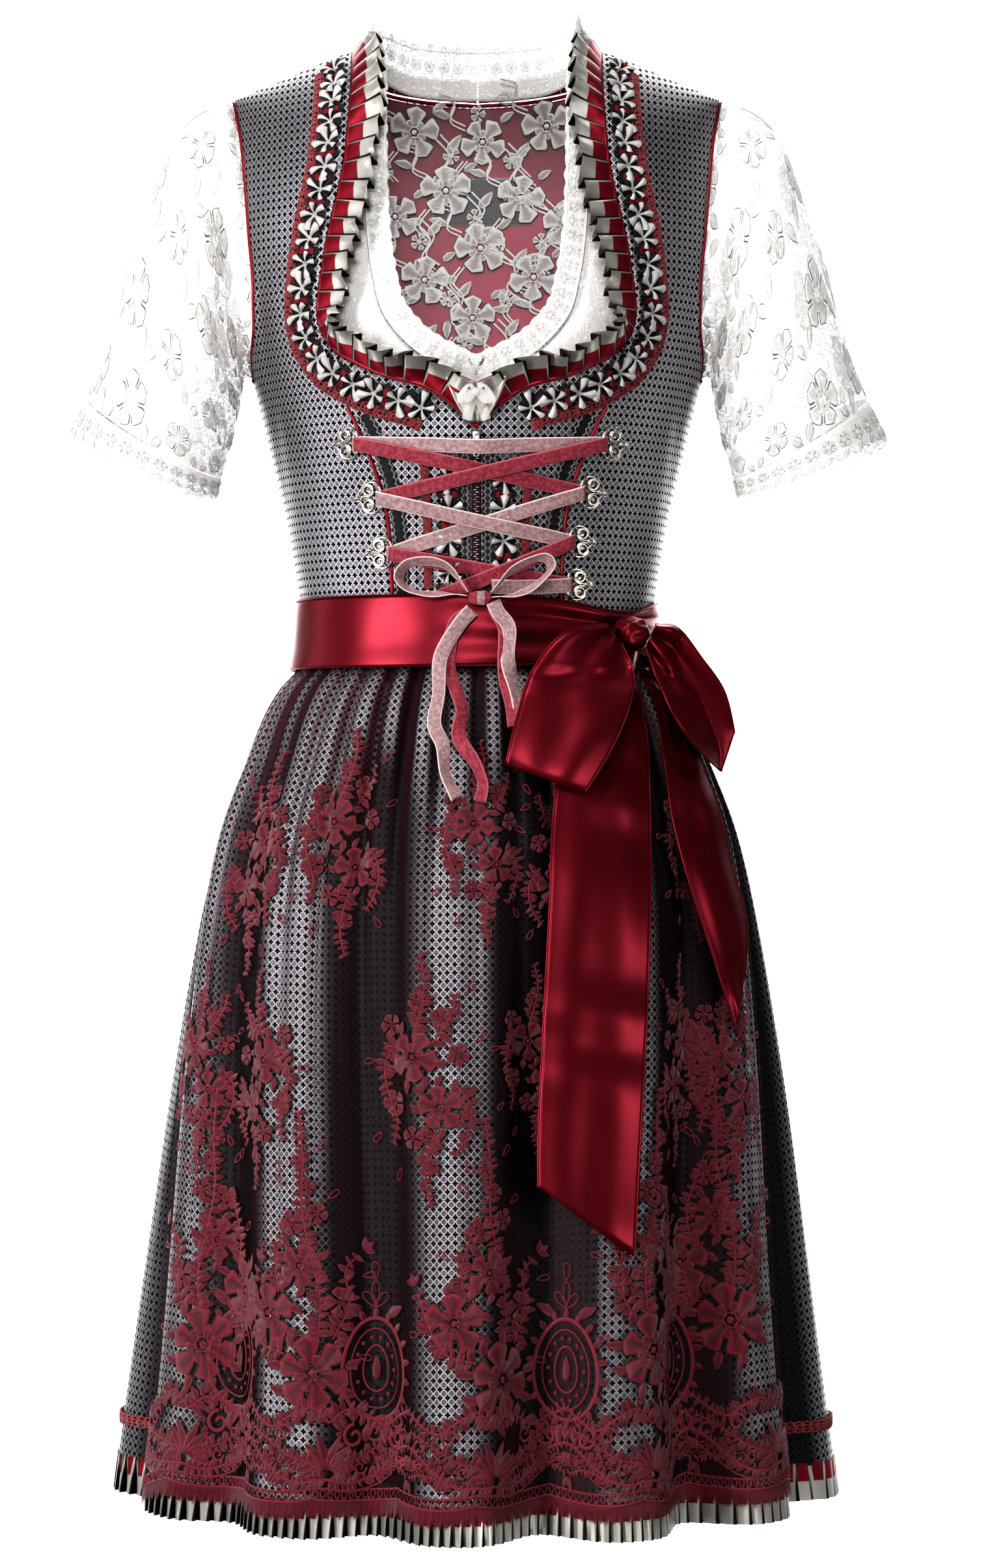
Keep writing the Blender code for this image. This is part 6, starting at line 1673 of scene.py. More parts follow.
def make_lacing_bow(cloth):
    centre = on_front(*LACING_KNOT)
    steps = np.linspace(-1, 1, 25)[:, None]
    phase = np.linspace(0, math.tau, 33)[None]
    size = np.clip(1.02 - 0.5 * np.abs(steps) ** 3, 0.3, 1) * (1 + 0.07 * np.sin(phase * 4 + steps * 3))
    grid = centre + np.stack((steps * 7.6 * MM + 0 * phase, -3.7 * MM * size * np.cos(phase),
                              4.7 * MM * size * np.sin(phase)), axis=-1)
    uv = measured(grid)
    uv[..., 0] = 0.5
    knot = Pile().add(grid, uv, np.where(steps < -0.2, 0.0, np.where(steps > 0.45, 0.0, 1.0)),
                      about=centre).build("lacing_tie", cloth, "lacing")
    dress(knot, "lacing_knot")
    cut(grid)
    loops = {
        "left": (((-0.0053, -0.3765), (-0.0200, -0.3600), (-0.0400, -0.3575), (-0.0475, -0.3660),
                  (-0.0400, -0.3740), (-0.0200, -0.3765), (-0.0058, -0.3790)), 9.4),
        "right": (((0.0093, -0.3765), (0.0220, -0.3640), (0.0400, -0.3540), (0.0455, -0.3600),
                   (0.0360, -0.3700), (0.0240, -0.3770), (0.0098, -0.3800)), 10.4),
    }
    for side, (spots, lift) in loops.items():
        x, z = through(spots, 72).T
        share = np.sin(math.pi * np.linspace(0, 1, len(x)))
        base = on_front(x, z, lift * MM)
        outward = unit(np.stack((x - x.mean(), 0 * x, z - z.mean()), axis=-1))
        across = unit(np.array((0, -0.75, 0)) + outward * 0.65 * share[:, None]) * LACING_WIDTH
        t = np.linspace(0, 1, 7)[None, :, None]
        grid = base[:, None] + across[:, None] * t * mix(0.5, 1.0, share)[:, None, None]
        grid[..., 2] += 0.5 * MM * np.sin(share * 9)[:, None] * (t[..., 0] - 0.5)
        ribbon_piece("lacing_bow_" + side, "lacing_loop_" + side, grid, 1.0, cloth)
    ends = {
        "pale_left": (3.4, 1.0, ((-0.3900, -0.003), (-0.4002, -0.012), (-0.4221, -0.0244), (-0.4476, -0.0257),
                                 (-0.4682, -0.0286), (-0.4829, -0.0228), (-0.5019, -0.0210),
                                 (-0.5187, -0.0130))),
        "red_left": (1.0, 0.0, ((-0.3915, -0.004), (-0.4002, -0.0150), (-0.4265, -0.0195), (-0.4445, -0.0141),
                                (-0.4593, -0.0096), (-0.4771, -0.0118), (-0.4948, -0.0007),
                                (-0.5094, 0.0046), (-0.5209, 0.0025))),
        "pale_right": (4.0, 1.0, ((-0.3844, 0.0114), (-0.3920, 0.0150), (-0.4029, 0.0224), (-0.4238, 0.0215),
                                  (-0.4414, 0.0250), (-0.4606, 0.0308))),
        "red_right": (1.4, 0.0, ((-0.3844, 0.0114), (-0.3920, 0.0140), (-0.4029, 0.0195), (-0.4238, 0.0190),
                                 (-0.4414, 0.0205), (-0.4695, 0.0262))),
    }
    for name, (lift, tint, route) in ends.items():
        z, x = through(route, 60).T
        ahead = unit(np.stack((np.gradient(x), 0 * x, np.gradient(z)), axis=-1))
        flat_across = np.stack((-ahead[:, 2], 0 * x, ahead[:, 0]), axis=-1)
        twist = 0.9 * np.sin(np.linspace(0, 7.5, len(x)) + 1.3 * lift) * np.linspace(0.15, 1, len(x))
        across = unit(flat_across * np.cos(twist)[:, None] + np.array((0, -1.0, 0)) * np.sin(twist)[:, None])
        centre = over_all(x, z, lift * MM + 1.0 * MM * np.abs(np.sin(twist)))
        grid = ribbon_grid(centre, across, LACING_WIDTH, 0.3 * MM)
        ribbon_piece("lacing_tail_" + name, "lacing_end_" + name, grid, tint, cloth)

# Stitched motifs, laid on a surface by its place function (across, down, off) -> points

STITCH_OFF = 0.25 * MM
CURVE_STEP = 2.2 * MM


class Stitches:
    def __init__(self, place, pad=1.0):
        self.place, self.pile, self.pad = place, Pile(), pad

    def put(self, a, b, off, uv, tint):
        grid = self.place(a, b, off * self.pad)
        self.pile.add(grid, uv, tint, turn_faces=True)

    def petal(self, at, heading, radius, half_turn, inner=0.2):
        """One padded petal of a flower, with a corded rim and a painted shadow round its edge."""
        s = np.array((0.0, 0.35, 0.72, 0.92, 1.0))[:, None]
        t = np.array((-1.0, -0.76, 0.0, 0.76, 1.0))[None]
        reach = radius * mix(inner, 1.0, s * (1 - 0.22 * np.abs(t) ** 2.6 + 0.03 * np.cos(3 * math.pi * t)))
        angle = heading + t * half_turn * (0.55 + 0.36 * np.sin(math.pi * np.minimum(s * 0.62, 0.5)))
        dome = np.sqrt(np.clip(1 - t * t * 0.9, 0, 1))
        high = np.array((0.30, 0.95, 0.6, 0.95, 0.1))[:, None] * (0.35 + 0.65 * dome)
        uv = np.stack(np.broadcast_arrays(t * half_turn * radius * 0.6, s * radius), axis=-1)
        # Painted shadow: the outermost rim and sides get tint 2, which the thread paints near black.
        corded = np.where((s > 0.9) | (np.abs(t) > 0.7), 0.9, 0.1)
        tint = np.where((s > 0.97) | (np.abs(t) > 0.9), 2.0, corded)
        self.put(at[0] + reach * np.cos(angle), at[1] + reach * np.sin(angle), high * MM, uv, tint)

    def flower(self, a, b, radius, petals=5, spin=0.3):
        for k in range(petals):
            self.petal((a, b), spin + math.tau * k / petals, radius * (1 - 0.06 * (k % 2)),
                       math.pi / petals * 0.98, 0.24)
        if radius > 14 * MM:
            for k in range(petals):
                turned = spin + math.tau * (k + 0.5) / petals
                self.petal((a, b), turned, radius * 0.50, math.pi / petals * 0.8, 0.28)
        phase = np.linspace(0, math.tau, 19)
        ring = 0.20 * radius * (1 + 0.16 * np.cos(phase * 6))
        self.cord(np.stack((a + ring * np.cos(phase), b + ring * np.sin(phase)), axis=-1), 0.9 * MM, 1.5)
        self.dot(a, b, 0.085 * radius + 0.3 * MM)

    def dot(self, a, b, radius):
        s = np.array((0.0, 0.6, 1.0))[:, None]
        phase = np.linspace(0, math.tau, 9)[None]
        uv = np.stack(np.broadcast_arrays(s * radius, phase * radius), axis=-1)
        high = (1.3 - 1.1 * s ** 2) * MM
        self.put(a + s * radius * np.cos(phase), b + s * radius * np.sin(phase), high, uv, 1.0)

    def leaf(self, a, b, heading, long, wide, curl=0.0):
        s = np.array((0.0, 0.18, 0.52, 0.86, 1.0))[:, None]
        t = np.array((-1.0, -0.74, 0.0, 0.74, 1.0))[None]
        angle = heading + curl * s
        half = wide / 2 * np.sin(math.pi * s ** 0.75) ** 0.8
        run = long * s
        high = (np.array((0.1, 0.95, 0.4, 0.95, 0.1))[None] * np.sin(math.pi * s) ** 0.35)
        uv = np.stack(np.broadcast_arrays(t * half * 0.5 + run, t * half + 0 * s), axis=-1)
        # Painted shadow: the leaf's outer sides get tint 2, which the thread paints near black.
        self.put(a + run * np.cos(angle) - t * half * np.sin(angle),
                 b + run * np.sin(angle) + t * half * np.cos(angle), high * MM, uv,
                 np.where(np.abs(t) > 0.9, 2.0, np.where(np.abs(t) > 0.7, 0.9, 0.1)) + 0 * s)

    def cord(self, path, width=1.2 * MM, lift=0.8):
        """A couched cord along a path in cloth coordinates."""
        path = np.asarray(path, float)
        ahead = unit(np.gradient(path, axis=0))
        t = np.array((-1.0, 0.0, 1.0))[None]
        high = np.array((0.1, 1.0, 0.1))[None] * lift * MM
        run = arc(path)[:, None]
        uv = np.stack(np.broadcast_arrays(t * width / 2, run), axis=-1)
        self.put(path[:, :1] - ahead[:, 1:] * t * width / 2, path[:, 1:] + ahead[:, :1] * t * width / 2,
                 high + 0 * run, uv, 1.0)

    def curve(self, points, width):
        long = float(arc(np.asarray(points, float))[-1])
        self.cord(through(points, max(6, int(long / CURVE_STEP)), 8), width)

    def coil(self, a, b, radius, start, turns, width):
        """A scroll that winds in to its middle."""
        t = np.linspace(0, 1, max(10, int(abs(turns) * 16)))
        angle = start + turns * math.tau * t
        reach = mix(radius, 0.18 * radius, t ** 1.2)
        self.cord(np.stack((a + reach * np.cos(angle), b + reach * np.sin(angle)), axis=-1), width)

    def loop(self, a, b, heading, long, wide):
        """A bare teardrop of cord."""
        phase = np.linspace(0, math.tau, 13)
        run = long * (0.5 - 0.5 * np.cos(phase))
        side = wide / 2 * np.sin(phase) * np.sin(phase / 2)
        self.cord(np.stack((a + run * math.cos(heading) - side * math.sin(heading),
                            b + run * math.sin(heading) + side * math.cos(heading)), axis=-1), 0.9 * MM)

    def frond(self, points, size, width=1.6 * MM, gap=1.0, lean=0.75):
        """A stem through the points with leaves close together on both sides."""
        points = np.asarray(points, float)
        count = max(2, int(arc(points)[-1] / (size * 0.62 * gap)))
        path = through(points, count * 2, 8)
        self.cord(path, width, 1.0)
        for k in range(count):
            at, after = path[2 * k + 1], path[2 * k + 2]
            heading = math.atan2(after[1] - at[1], after[0] - at[0])
            for hand in (1, -1):
                fade = (1 - 0.5 * k / count) * (1 + 0.2 * math.sin(k * 2.1 + hand))
                turned = heading + hand * (lean + 0.25 * math.sin(k * 1.7 + hand))
                self.leaf(at[0], at[1], turned, 1.15 * size * fade, size * 0.66 * fade, 0.5 * hand)

    def wreath(self, a, b, radius, count, size, spin=0.0):
        """Leaves that show all round behind a flower."""
        for k in range(count):
            angle = spin + math.tau * k / count
            foot = (a + radius * math.cos(angle), b + radius * math.sin(angle))
            self.leaf(*foot, angle + 0.3, size, size * 0.6, 0.4 * (1 if k % 2 else -1))

    def trefoil(self, a, b, heading, size):
        for turn_by in (-0.9, 0.0, 0.9):
            self.leaf(a, b, heading + turn_by, size, size * 0.62)
        self.dot(a, b, 0.16 * size)


# Embroidered net of the apron

class GridCloth:
    """Places points on a tube of points by shares of its columns and rows."""

    def __init__(self, grid):
        self.grid = grid
        normals = unit(np.cross(np.gradient(grid, axis=1), np.gradient(grid, axis=0)))
        centre = grid.mean(axis=1, keepdims=True)
        self.normals = normals * (-1.0 if np.sum(normals * (grid - centre)) < 0 else 1.0)

    def at(self, across, down, off):
        rows, columns = self.grid.shape[:2]
        j = across % 1.0 * (columns - 1.001)
        i = np.clip(down, 0, 1) * (rows - 1.001)
        i0, j0 = i.astype(int), j.astype(int)
        di, dj = (i - i0)[..., None], (j - j0)[..., None]

        def read(data):
            upper = mix(data[i0, j0], data[i0, j0 + 1], dj)
            lower = mix(data[i0 + 1, j0], data[i0 + 1, j0 + 1], dj)
            return mix(upper, lower, di)

        return read(self.grid) + unit(read(self.normals)) * np.asarray(off)[..., None]


class ApronCloth:
    """Finds columns of the apron at a distance along the cloth, at any level."""

    def __init__(self):
        self.levels = np.linspace(*APRON_SPAN, 90)
        self.columns = np.linspace(-APRON_REACH - 1, APRON_REACH + 1, 681)
        self.grid = apron_at(self.columns[None], self.levels[:, None])
        self.run = measured(self.grid)[..., 0]

    def read(self, column, z):
        i = np.clip((self.levels[0] - z) / (self.levels[0] - self.levels[-1]), 0, 1) * (len(self.levels) - 1)
        j = (column - self.columns[0]) / (self.columns[-1] - self.columns[0]) * (len(self.columns) - 1)
        j = np.clip(j, 0, len(self.columns) - 1.001)
        i = np.clip(i, 0, len(self.levels) - 1.001)
        i0, j0 = i.astype(int), j.astype(int)
        di, dj = i - i0, j - j0
        low = mix(self.run[i0, j0], self.run[i0, j0 + 1], dj)
        high = mix(self.run[i0 + 1, j0], self.run[i0 + 1, j0 + 1], dj)
        return mix(low, high, di)

    def column_of(self, run, z):
        low = np.full(run.shape, self.columns[0])
        high = np.full(run.shape, self.columns[-1])
        for _ in range(15):
            middle = (low + high) / 2
            short = self.read(middle, z) < run
            low, high = np.where(short, middle, low), np.where(short, high, middle)
        return (low + high) / 2

    def column_at(self, x, z):
        """Column that the front view shows at x."""
        row = self.grid[int(np.argmin(np.abs(self.levels - z)))]
        return float(self.columns[int(np.argmin(np.abs(row[:, 0] - x)))])

    def around(self, x, z):
        """A place function for a motif anchored where the front view shows (x, z)."""
        start = np.array(self.column_at(x, z))

        def place(a, b, off):
            a, b = np.broadcast_arrays(np.asarray(a, float), b)
            level = z - b
            run = self.read(start + 0 * level, level) + a
            column = np.clip(self.column_of(run, level), -APRON_REACH, APRON_REACH)
            return apron_at(column, level, off + STITCH_OFF)

        return place


def tall_spray(s, hand, lean):
    """Border spray: a big flower at the foot, two above it and a tapering spike of small ones."""
    def at(value, height):
        return (hand * value + lean * height) * MM, height * MM

    def way(heading):
        return heading if hand > 0 else math.pi - heading

    for size, stem in ((8.5, ((4, -22), (6, -50), (0, -80), (-4, -110), (-2, -140), (-4, -172))),
                       (9, ((14, -22), (26, -44), (24, -66), (34, -76))),
                       (9, ((-20, -12), (-40, -18), (-50, -34), (-58, -56))),
                       (8, ((-24, -52), (-26, -72), (-20, -90), (-14, -104)))):
        s.frond([at(value, height) for value, height in stem], size * MM)
    for value, height, radius, petals, spin in (
            (0, 0, 26, 6, 0.3), (-33, -38, 21, 5, 0.9), (-7, -70, 15.5, 5, 0.1), (20, -46, 11, 5, 0.7),
            (-12, -98, 9.5, 5, 0.6), (6, -104, 8, 5, 0.2), (-1, -122, 7, 5, 1.1), (-6, -138, 5.5, 5, 0.4)):
        s.flower(*at(value, height), radius * MM, petals, spin)
    for value, height, radius, count, size in ((0, 0, 22, 9, 13), (-33, -38, 18, 8, 11),
                                               (-7, -70, 13, 7, 10)):
        s.wreath(*at(value, height), radius * MM, count, size * MM, 0.5)
    s.trefoil(*at(38, -80), way(-0.6), 8 * MM)
    s.trefoil(*at(-60, -62), way(-2.0), 8 * MM)
    for value, height, heading in ((36, -62, -0.2), (-34, -78, -2.4), (-58, -30, 3.0), (32, -10, 0.2),
                                   (14, -114, -0.6), (-18, -122, -2.4), (8, -146, -0.8)):
        s.loop(*at(value, height), way(heading), 9 * MM, 5 * MM)


def medallion(s):
    """Oval of two corded frames with a palm inside, crowned by loops."""
    phase = np.linspace(0, math.tau, 49)
    pear = 1 + 0.10 * np.sin(phase)
    for wide, high, width in ((24, 33, 2.6), (18, 26, 1.2), (9, 15, 1.4)):
        path = np.stack((wide * MM * np.cos(phase) * pear, high * MM * np.sin(phase)), axis=-1)
        s.cord(path, width * MM, 1.0)
    for k in range(14):
        angle = math.tau * k / 14
        s.dot(14 * MM * math.cos(angle), 20.5 * MM * math.sin(angle), 1.5 * MM)
    for k in range(18):
        angle = math.tau * (k + 0.5) / 18
        s.leaf(24 * MM * math.cos(angle), 33 * MM * math.sin(angle), angle, 7.5 * MM, 5 * MM)
    s.leaf(0, 8 * MM, -math.pi / 2, 17 * MM, 7 * MM)
    for heading, long, foot in ((-1.57, 15, -42), (-2.3, 13, -40), (-0.84, 13, -40), (-1.57, 12, -58)):
        s.loop(0, foot * MM, heading, long * MM, 7 * MM)
    for hand in (1, -1):
        s.leaf(hand * 10 * MM, -34 * MM, -math.pi / 2 + hand * 0.7, 15 * MM, 8 * MM, hand * 0.3)
        s.coil(hand * 15 * MM, 44 * MM, 8 * MM, -math.pi / 2, hand * 1.2, 2.4 * MM)
        s.leaf(hand * 3 * MM, 36 * MM, math.pi / 2 - hand * 0.7, 14 * MM, 8 * MM, hand * 0.4)
        for k in range(4):
            angle = -math.pi / 2 + hand * (0.7 + 0.7 * k)
            s.leaf(hand * 15 * MM + 8 * MM * math.cos(angle), 44 * MM + 8 * MM * math.sin(angle), angle,
                   6 * MM, 4.5 * MM)


def drop_spray(s, hand, size):
    """Hanging spray of the ground: spike above, two flowers, small ones at the sides, tail below."""
    def at(value, height):
        return hand * value * size * MM, height * size * MM

    def way(heading):
        return heading if hand > 0 else math.pi - heading

    for stem in (((-6, -30), (0, -50), (2, -68), (-2, -86)),
                 ((10, 40), (4, 58), (2, 76), (6, 94)),
                 ((-22, -24), (-34, -6), (-32, 14), (-24, 34), (-28, 52)),
                 ((10, -26), (22, -42), (26, -58)),
                 ((26, 8), (36, 22), (34, 42), (24, 58))):
        s.frond([at(value, height) for value, height in stem], 8.5 * size * MM)
    for value, height, radius, spin in ((-8, -12, 20, 0.2), (13, 24, 17.5, 0.8), (-28, -34, 9, 0.4),
                                        (14, -40, 9, 1.0), (-26, 22, 10.5, 0.6), (27, -14, 9, 0.2),
                                        (-8, 46, 9.5, 0.9), (-4, -52, 7.5, 0.3), (6, 66, 7, 0.5)):
        s.flower(*at(value, height), radius * size * MM, 5, spin)
    s.wreath(*at(-8, -12), 17 * size * MM, 8, 11 * size * MM, 0.2)
    s.wreath(*at(13, 24), 15 * size * MM, 8, 10 * size * MM, 0.6)
    for value, height, heading in ((-42, -8, 3.0), (-38, 44, 2.4), (40, -24, -0.5), (32, 62, 1.0),
                                   (-20, 68, 2.0), (34, -58, -1.0)):
        s.loop(*at(value, height), way(heading), 10 * size * MM, 5.5 * size * MM)


def border_repeat(s, half):
    """One repeat of the edge: rows of scrolls, a palm under the flower and garlands to the edge."""
    wide = 2 * half
    for hand in (1, -1):
        def at(points):
            return [(hand * u * half, v * MM) for u, v in points]

        for size, width, stem in (
                (8.5, 1.9, ((0.0, -51), (0.20, -60), (0.42, -56), (0.62, -49), (0.82, -54), (1.0, -61))),
                (7.0, 2.2, ((0.0, -14), (0.25, -12), (0.50, -17), (0.72, -28), (0.88, -35), (1.0, -38))),
                (6.5, 1.4, ((0.16, -24), (0.40, -30), (0.60, -38), (0.78, -44), (0.96, -48))),
                (5.5, 1.2, ((0.50, -15), (0.64, -20), (0.80, -22), (0.98, -18)))):
            s.frond(at(stem), size * MM, width * MM, 0.92, 0.7)
        s.curve(at(((0.0, -8.6), (0.25, -6.8), (0.55, -11), (0.78, -21), (0.92, -27), (1.0, -29))), 1.2 * MM)
        s.coil(hand * 0.82 * half, -39 * MM, 6 * MM, math.pi / 2, -hand * 1.2, 1.8 * MM)
        s.coil(hand * 0.50 * half, -45 * MM, 6.5 * MM, 0.0, hand * 1.2, 1.8 * MM)
        s.coil(hand * 0.36 * half, -22 * MM, 4.5 * MM, 0.0, hand * 1.2, 1.5 * MM)
        s.flower(hand * 0.66 * half, -29 * MM, 6.5 * MM, 5, 0.4)
        for k in range(5):
            angle = -math.pi / 2 + hand * 0.38 * (k + 0.3)
            s.leaf(hand * (k + 0.4) * 0.7 * MM, -20 * MM, angle, (25 - 2.0 * k) * MM, 8.0 * MM, hand * 0.25)
        for k in range(4):
            angle = math.pi / 2 - hand * 0.4 - math.pi * (k % 2)
            s.leaf(hand * half, (-16 - 8 * k) * MM, angle, 9 * MM, 5 * MM)
    count = int(wide / (5.0 * MM))
    for k in range(count):
        u = -half + wide * (k + 0.5) / count
        s.loop(u, -1.5 * MM, -math.pi / 2, 5.5 * MM, 4.6 * MM)
    t = np.linspace(-1, 1, 60)
    s.cord(np.stack((t * half, 0 * t - 0.6 * MM), axis=-1), 1.6 * MM, 0.9)
    s.cord(np.stack((t * half, 0 * t - 7.6 * MM), axis=-1), 1.1 * MM, 0.8)


# Where the front view shows the anchors of the motifs (x, z), and how each is turned
TALL_SPRAYS = ((-0.108, -0.900, 1, 0.03), (0.018, -0.902, 1, 0.06), (0.118, -0.885, -1, 0.0),
               (0.172, -0.872, 1, 0.03), (-0.186, -0.890, -1, 0.0))
MEDALLIONS = ((-0.066, -0.898), (0.060, -0.898), (0.130, -0.897), (-0.160, -0.897))
DROP_SPRAYS = ((-0.036, -0.702, 1, 0.92), (-0.148, -0.706, -1, 0.82), (-0.191, -0.700, 1, 0.80),
               (0.138, -0.694, -1, 0.80), (0.172, -0.705, 1, 0.80), (0.040, -0.690, 1, 0.7),
               (-0.091, -0.545, 1, 0.86), (-0.150, -0.560, -1, 0.86), (0.004, -0.545, 1, 0.76),
               (0.060, -0.560, -1, 0.76), (0.146, -0.550, 1, 0.72))

BORDER_REPEAT = 0.128


def make_embroidery(yarn):
    """Sprays and medallions as one piece, and the border over the apron's edge as another."""
    cloth = ApronCloth()
    sprays, border = Pile(), Pile()
    for motif, spots in ((tall_spray, TALL_SPRAYS), (medallion, MEDALLIONS), (drop_spray, DROP_SPRAYS)):
        for x, z, *turned in spots:
            s = Stitches(cloth.around(x, z))
            motif(s, *turned)
            sprays.take(s.pile)
    low = np.array(SKIRT_HEM_Z)
    first = float(cloth.read(np.array(-float(APRON_REACH)), low))
    last = float(cloth.read(np.array(float(APRON_REACH)), low))
    repeats = int(round((last - first) / BORDER_REPEAT))
    half = (last - first) / repeats / 2
    for k in range(repeats):
        middle = first + (2 * k + 1) * half

        def place(a, b, off, middle=middle):
            a, b = np.broadcast_arrays(np.asarray(a, float), b)
            column = cloth.column_of(middle + a, low + 0 * a)
            column = np.clip(column, -APRON_REACH, APRON_REACH)
            return apron_at(column, apron_edge(column) - b, off + STITCH_OFF)

        s = Stitches(place)
        border_repeat(s, half)
        border.take(s.pile)
    for name, pile in (("apron_embroidery", sprays), ("apron_border", border)):
        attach(pile.build(name, yarn, "apron"), "garment")


# Lace blouse

def make_blouse(net_white, dense_white, edging_white, thread_white):
    make_blouse_back(net_white, thread_white)
    make_blouse_front(dense_white)
    make_sleeves(dense_white, thread_white)
    make_neck_lace(edging_white, thread_white)


def make_blouse_back(net_white, thread_white):
    angle, level = back_plan(HIDDEN_BACK_ROWS)
    grid = torso(angle, level, 1, BLOUSE_OUT)
    share = ease((np.abs(grid[..., 0]) - 0.11) / 0.05)
    grid[..., 0] -= np.sign(grid[..., 0]) * BLOUSE_TUCK * share
    panel = surface("lace_blouse_back", grid, net_white, "lace", torso_uv(angle, level, 1, 0.0))
    dress(panel, "blouse_back")

    def place(a, b, off):
        a, b = np.broadcast_arrays(np.asarray(a, float), b)
        return on_side(a, b, 1, BLOUSE_OUT - 0.5 * MM - off)

    s = Stitches(place, 0.6)
    for a, b, radius, spin in (
            (-48, -28, 17, 0.2), (4, -34, 16, 0.9), (52, -24, 17, 0.5), (-24, -70, 18, 0.4),
            (32, -76, 17, 0.1), (-62, -90, 16, 0.7), (66, -96, 16, 0.3), (2, -112, 18, 0.6),
            (-40, -136, 17, 0.2), (42, -134, 17, 0.9), (-4, -164, 16, 0.3), (-66, -168, 15, 0.5),
            (64, -172, 15, 0.1), (-30, -196, 16, 0.8), (30, -200, 16, 0.2)):
        s.flower(a * MM, b * MM, 1.14 * radius * MM, 5, spin)
        for shift in (0.0, 3.2):
            for along, down, width, spots in (
                    (shift, shift, 1.4, ((16, -4), (26, -16), (20, -30), (30, -38))),
                    (-shift, 0.0, 1.3, ((-12, -14), (-20, -26), (-12, -36))),
                    (0.0, shift, 1.3, ((-14, 8), (-25, 14), (-22, 26), (-34, 30)))):
                s.curve([((a + dx + along) * MM, (b + dy + down) * MM) for dx, dy in spots], width * MM)
        for dx, dy, heading, long, wide, curl in (
                (24, -12, 0.5, 16, 9, 0.3), (-17, -22, 3.5, 15, 8, -0.3), (18, -30, 4.4, 14, 8, 0.2),
                (-26, 16, 2.4, 14, 8, 0.4), (30, -38, 5.4, 13, 7, 0.3), (14, 14, 0.9, 12, 7, -0.3)):
            s.leaf((a + dx) * MM, (b + dy) * MM, heading, long * MM, wide * MM, curl)
    for a, b in ((-20, -44), (26, -48), (-70, -56), (74, -60), (-2, -90), (-44, -108), (48, -108),
                 (-22, -150), (22, -150), (-56, -150), (60, -148), (0, -14), (-72, -20), (76, -12),
                 (-10, -184), (50, -190)):
        s.flower(a * MM, b * MM, 7 * MM, 5, 0.4 * a)
    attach(s.pile.build("lace_back_flowers", thread_white, "lace"), "garment")
    cut(grid)


def make_blouse_front(cloth):
    neck = through(BLOUSE_NECK_FRONT, 9 * FINE)
    place = np.arange(len(neck)) / FINE
    on_rim = place >= 3
    rim_z = mix(UNDERARM_Z, ridge(SHOULDER_TIP), 0.5 - 0.5 * np.cos(math.pi * np.clip((place - 3) / 6, 0, 1)))
    edge_z = np.where(on_rim, rim_z, mix(BLOUSE_HEM_Z, UNDERARM_Z, np.clip(place - 2, 0, 1)))
    edge_angle = np.where(place < 3.02, math.pi / 2 * np.clip(place / 2, 0, 1),
                          turn(ARMHOLE.read("x", rim_z) - BLOUSE_TUCK, rim_z))
    bend = np.interp(place, (0, 2, 3, 4, 5, 9), (1.0, 1.0, 0.4, 0.6, 1.0, 1.0))[:, None]
    t = np.linspace(0, 1, 19)[None]
    angle = mix(turn(neck[:, 0], neck[:, 1])[:, None], edge_angle[:, None], t)
    level = mix(neck[:, 1:], edge_z[:, None], t ** bend)
    top = ridge(TORSO.read("half_width", level) * np.sin(angle))
    level = np.minimum(level, top)
    level[-1] = top[-1]
    half = torso(angle, level, -1, BLOUSE_OUT)
    half[0, :, 0] = 0.0
    grid = np.concatenate((flip(half)[:0:-1], half))
    panel = surface("lace_blouse_front", grid, cloth, "lace", None, 0.5 * MM)
    dress(panel, "blouse_front")
    cut(grid)


def sleeve_ring(share, phase, shrink=0.0):
    """Points of the right sleeve: outer edge, front, inner edge, back."""
    share, phase = np.broadcast_arrays(np.asarray(share, float), phase)
    outer, inner = (np.stack((SLEEVE.read(edge + "_x", share), 0 * share, SLEEVE.read(edge + "_z", share)),
                             axis=-1) for edge in ("outer", "inner"))
    reach = (outer - inner) / 2
    size = np.linalg.norm(reach, axis=-1) - shrink
    depth = SLEEVE.read("depth", share) - shrink
    dip = SLEEVE_DIP * ease(share)
    drop = np.stack((0 * share, -depth * np.sin(phase), -dip * np.sin(phase)), axis=-1)
    return (outer + inner) / 2 + unit(reach) * (size * np.cos(phase))[..., None] + drop


SLEEVE_OUT = 4.6 * MM
SLEEVE_TOP_HALF = 7.2 * MM
SLEEVE_RADIUS = 0.062
SLEEVE_LONG = 0.235
CUFF_LONG = 0.034
CUFF_START = 1.01
CUFF_OUT = 0.6 * MM


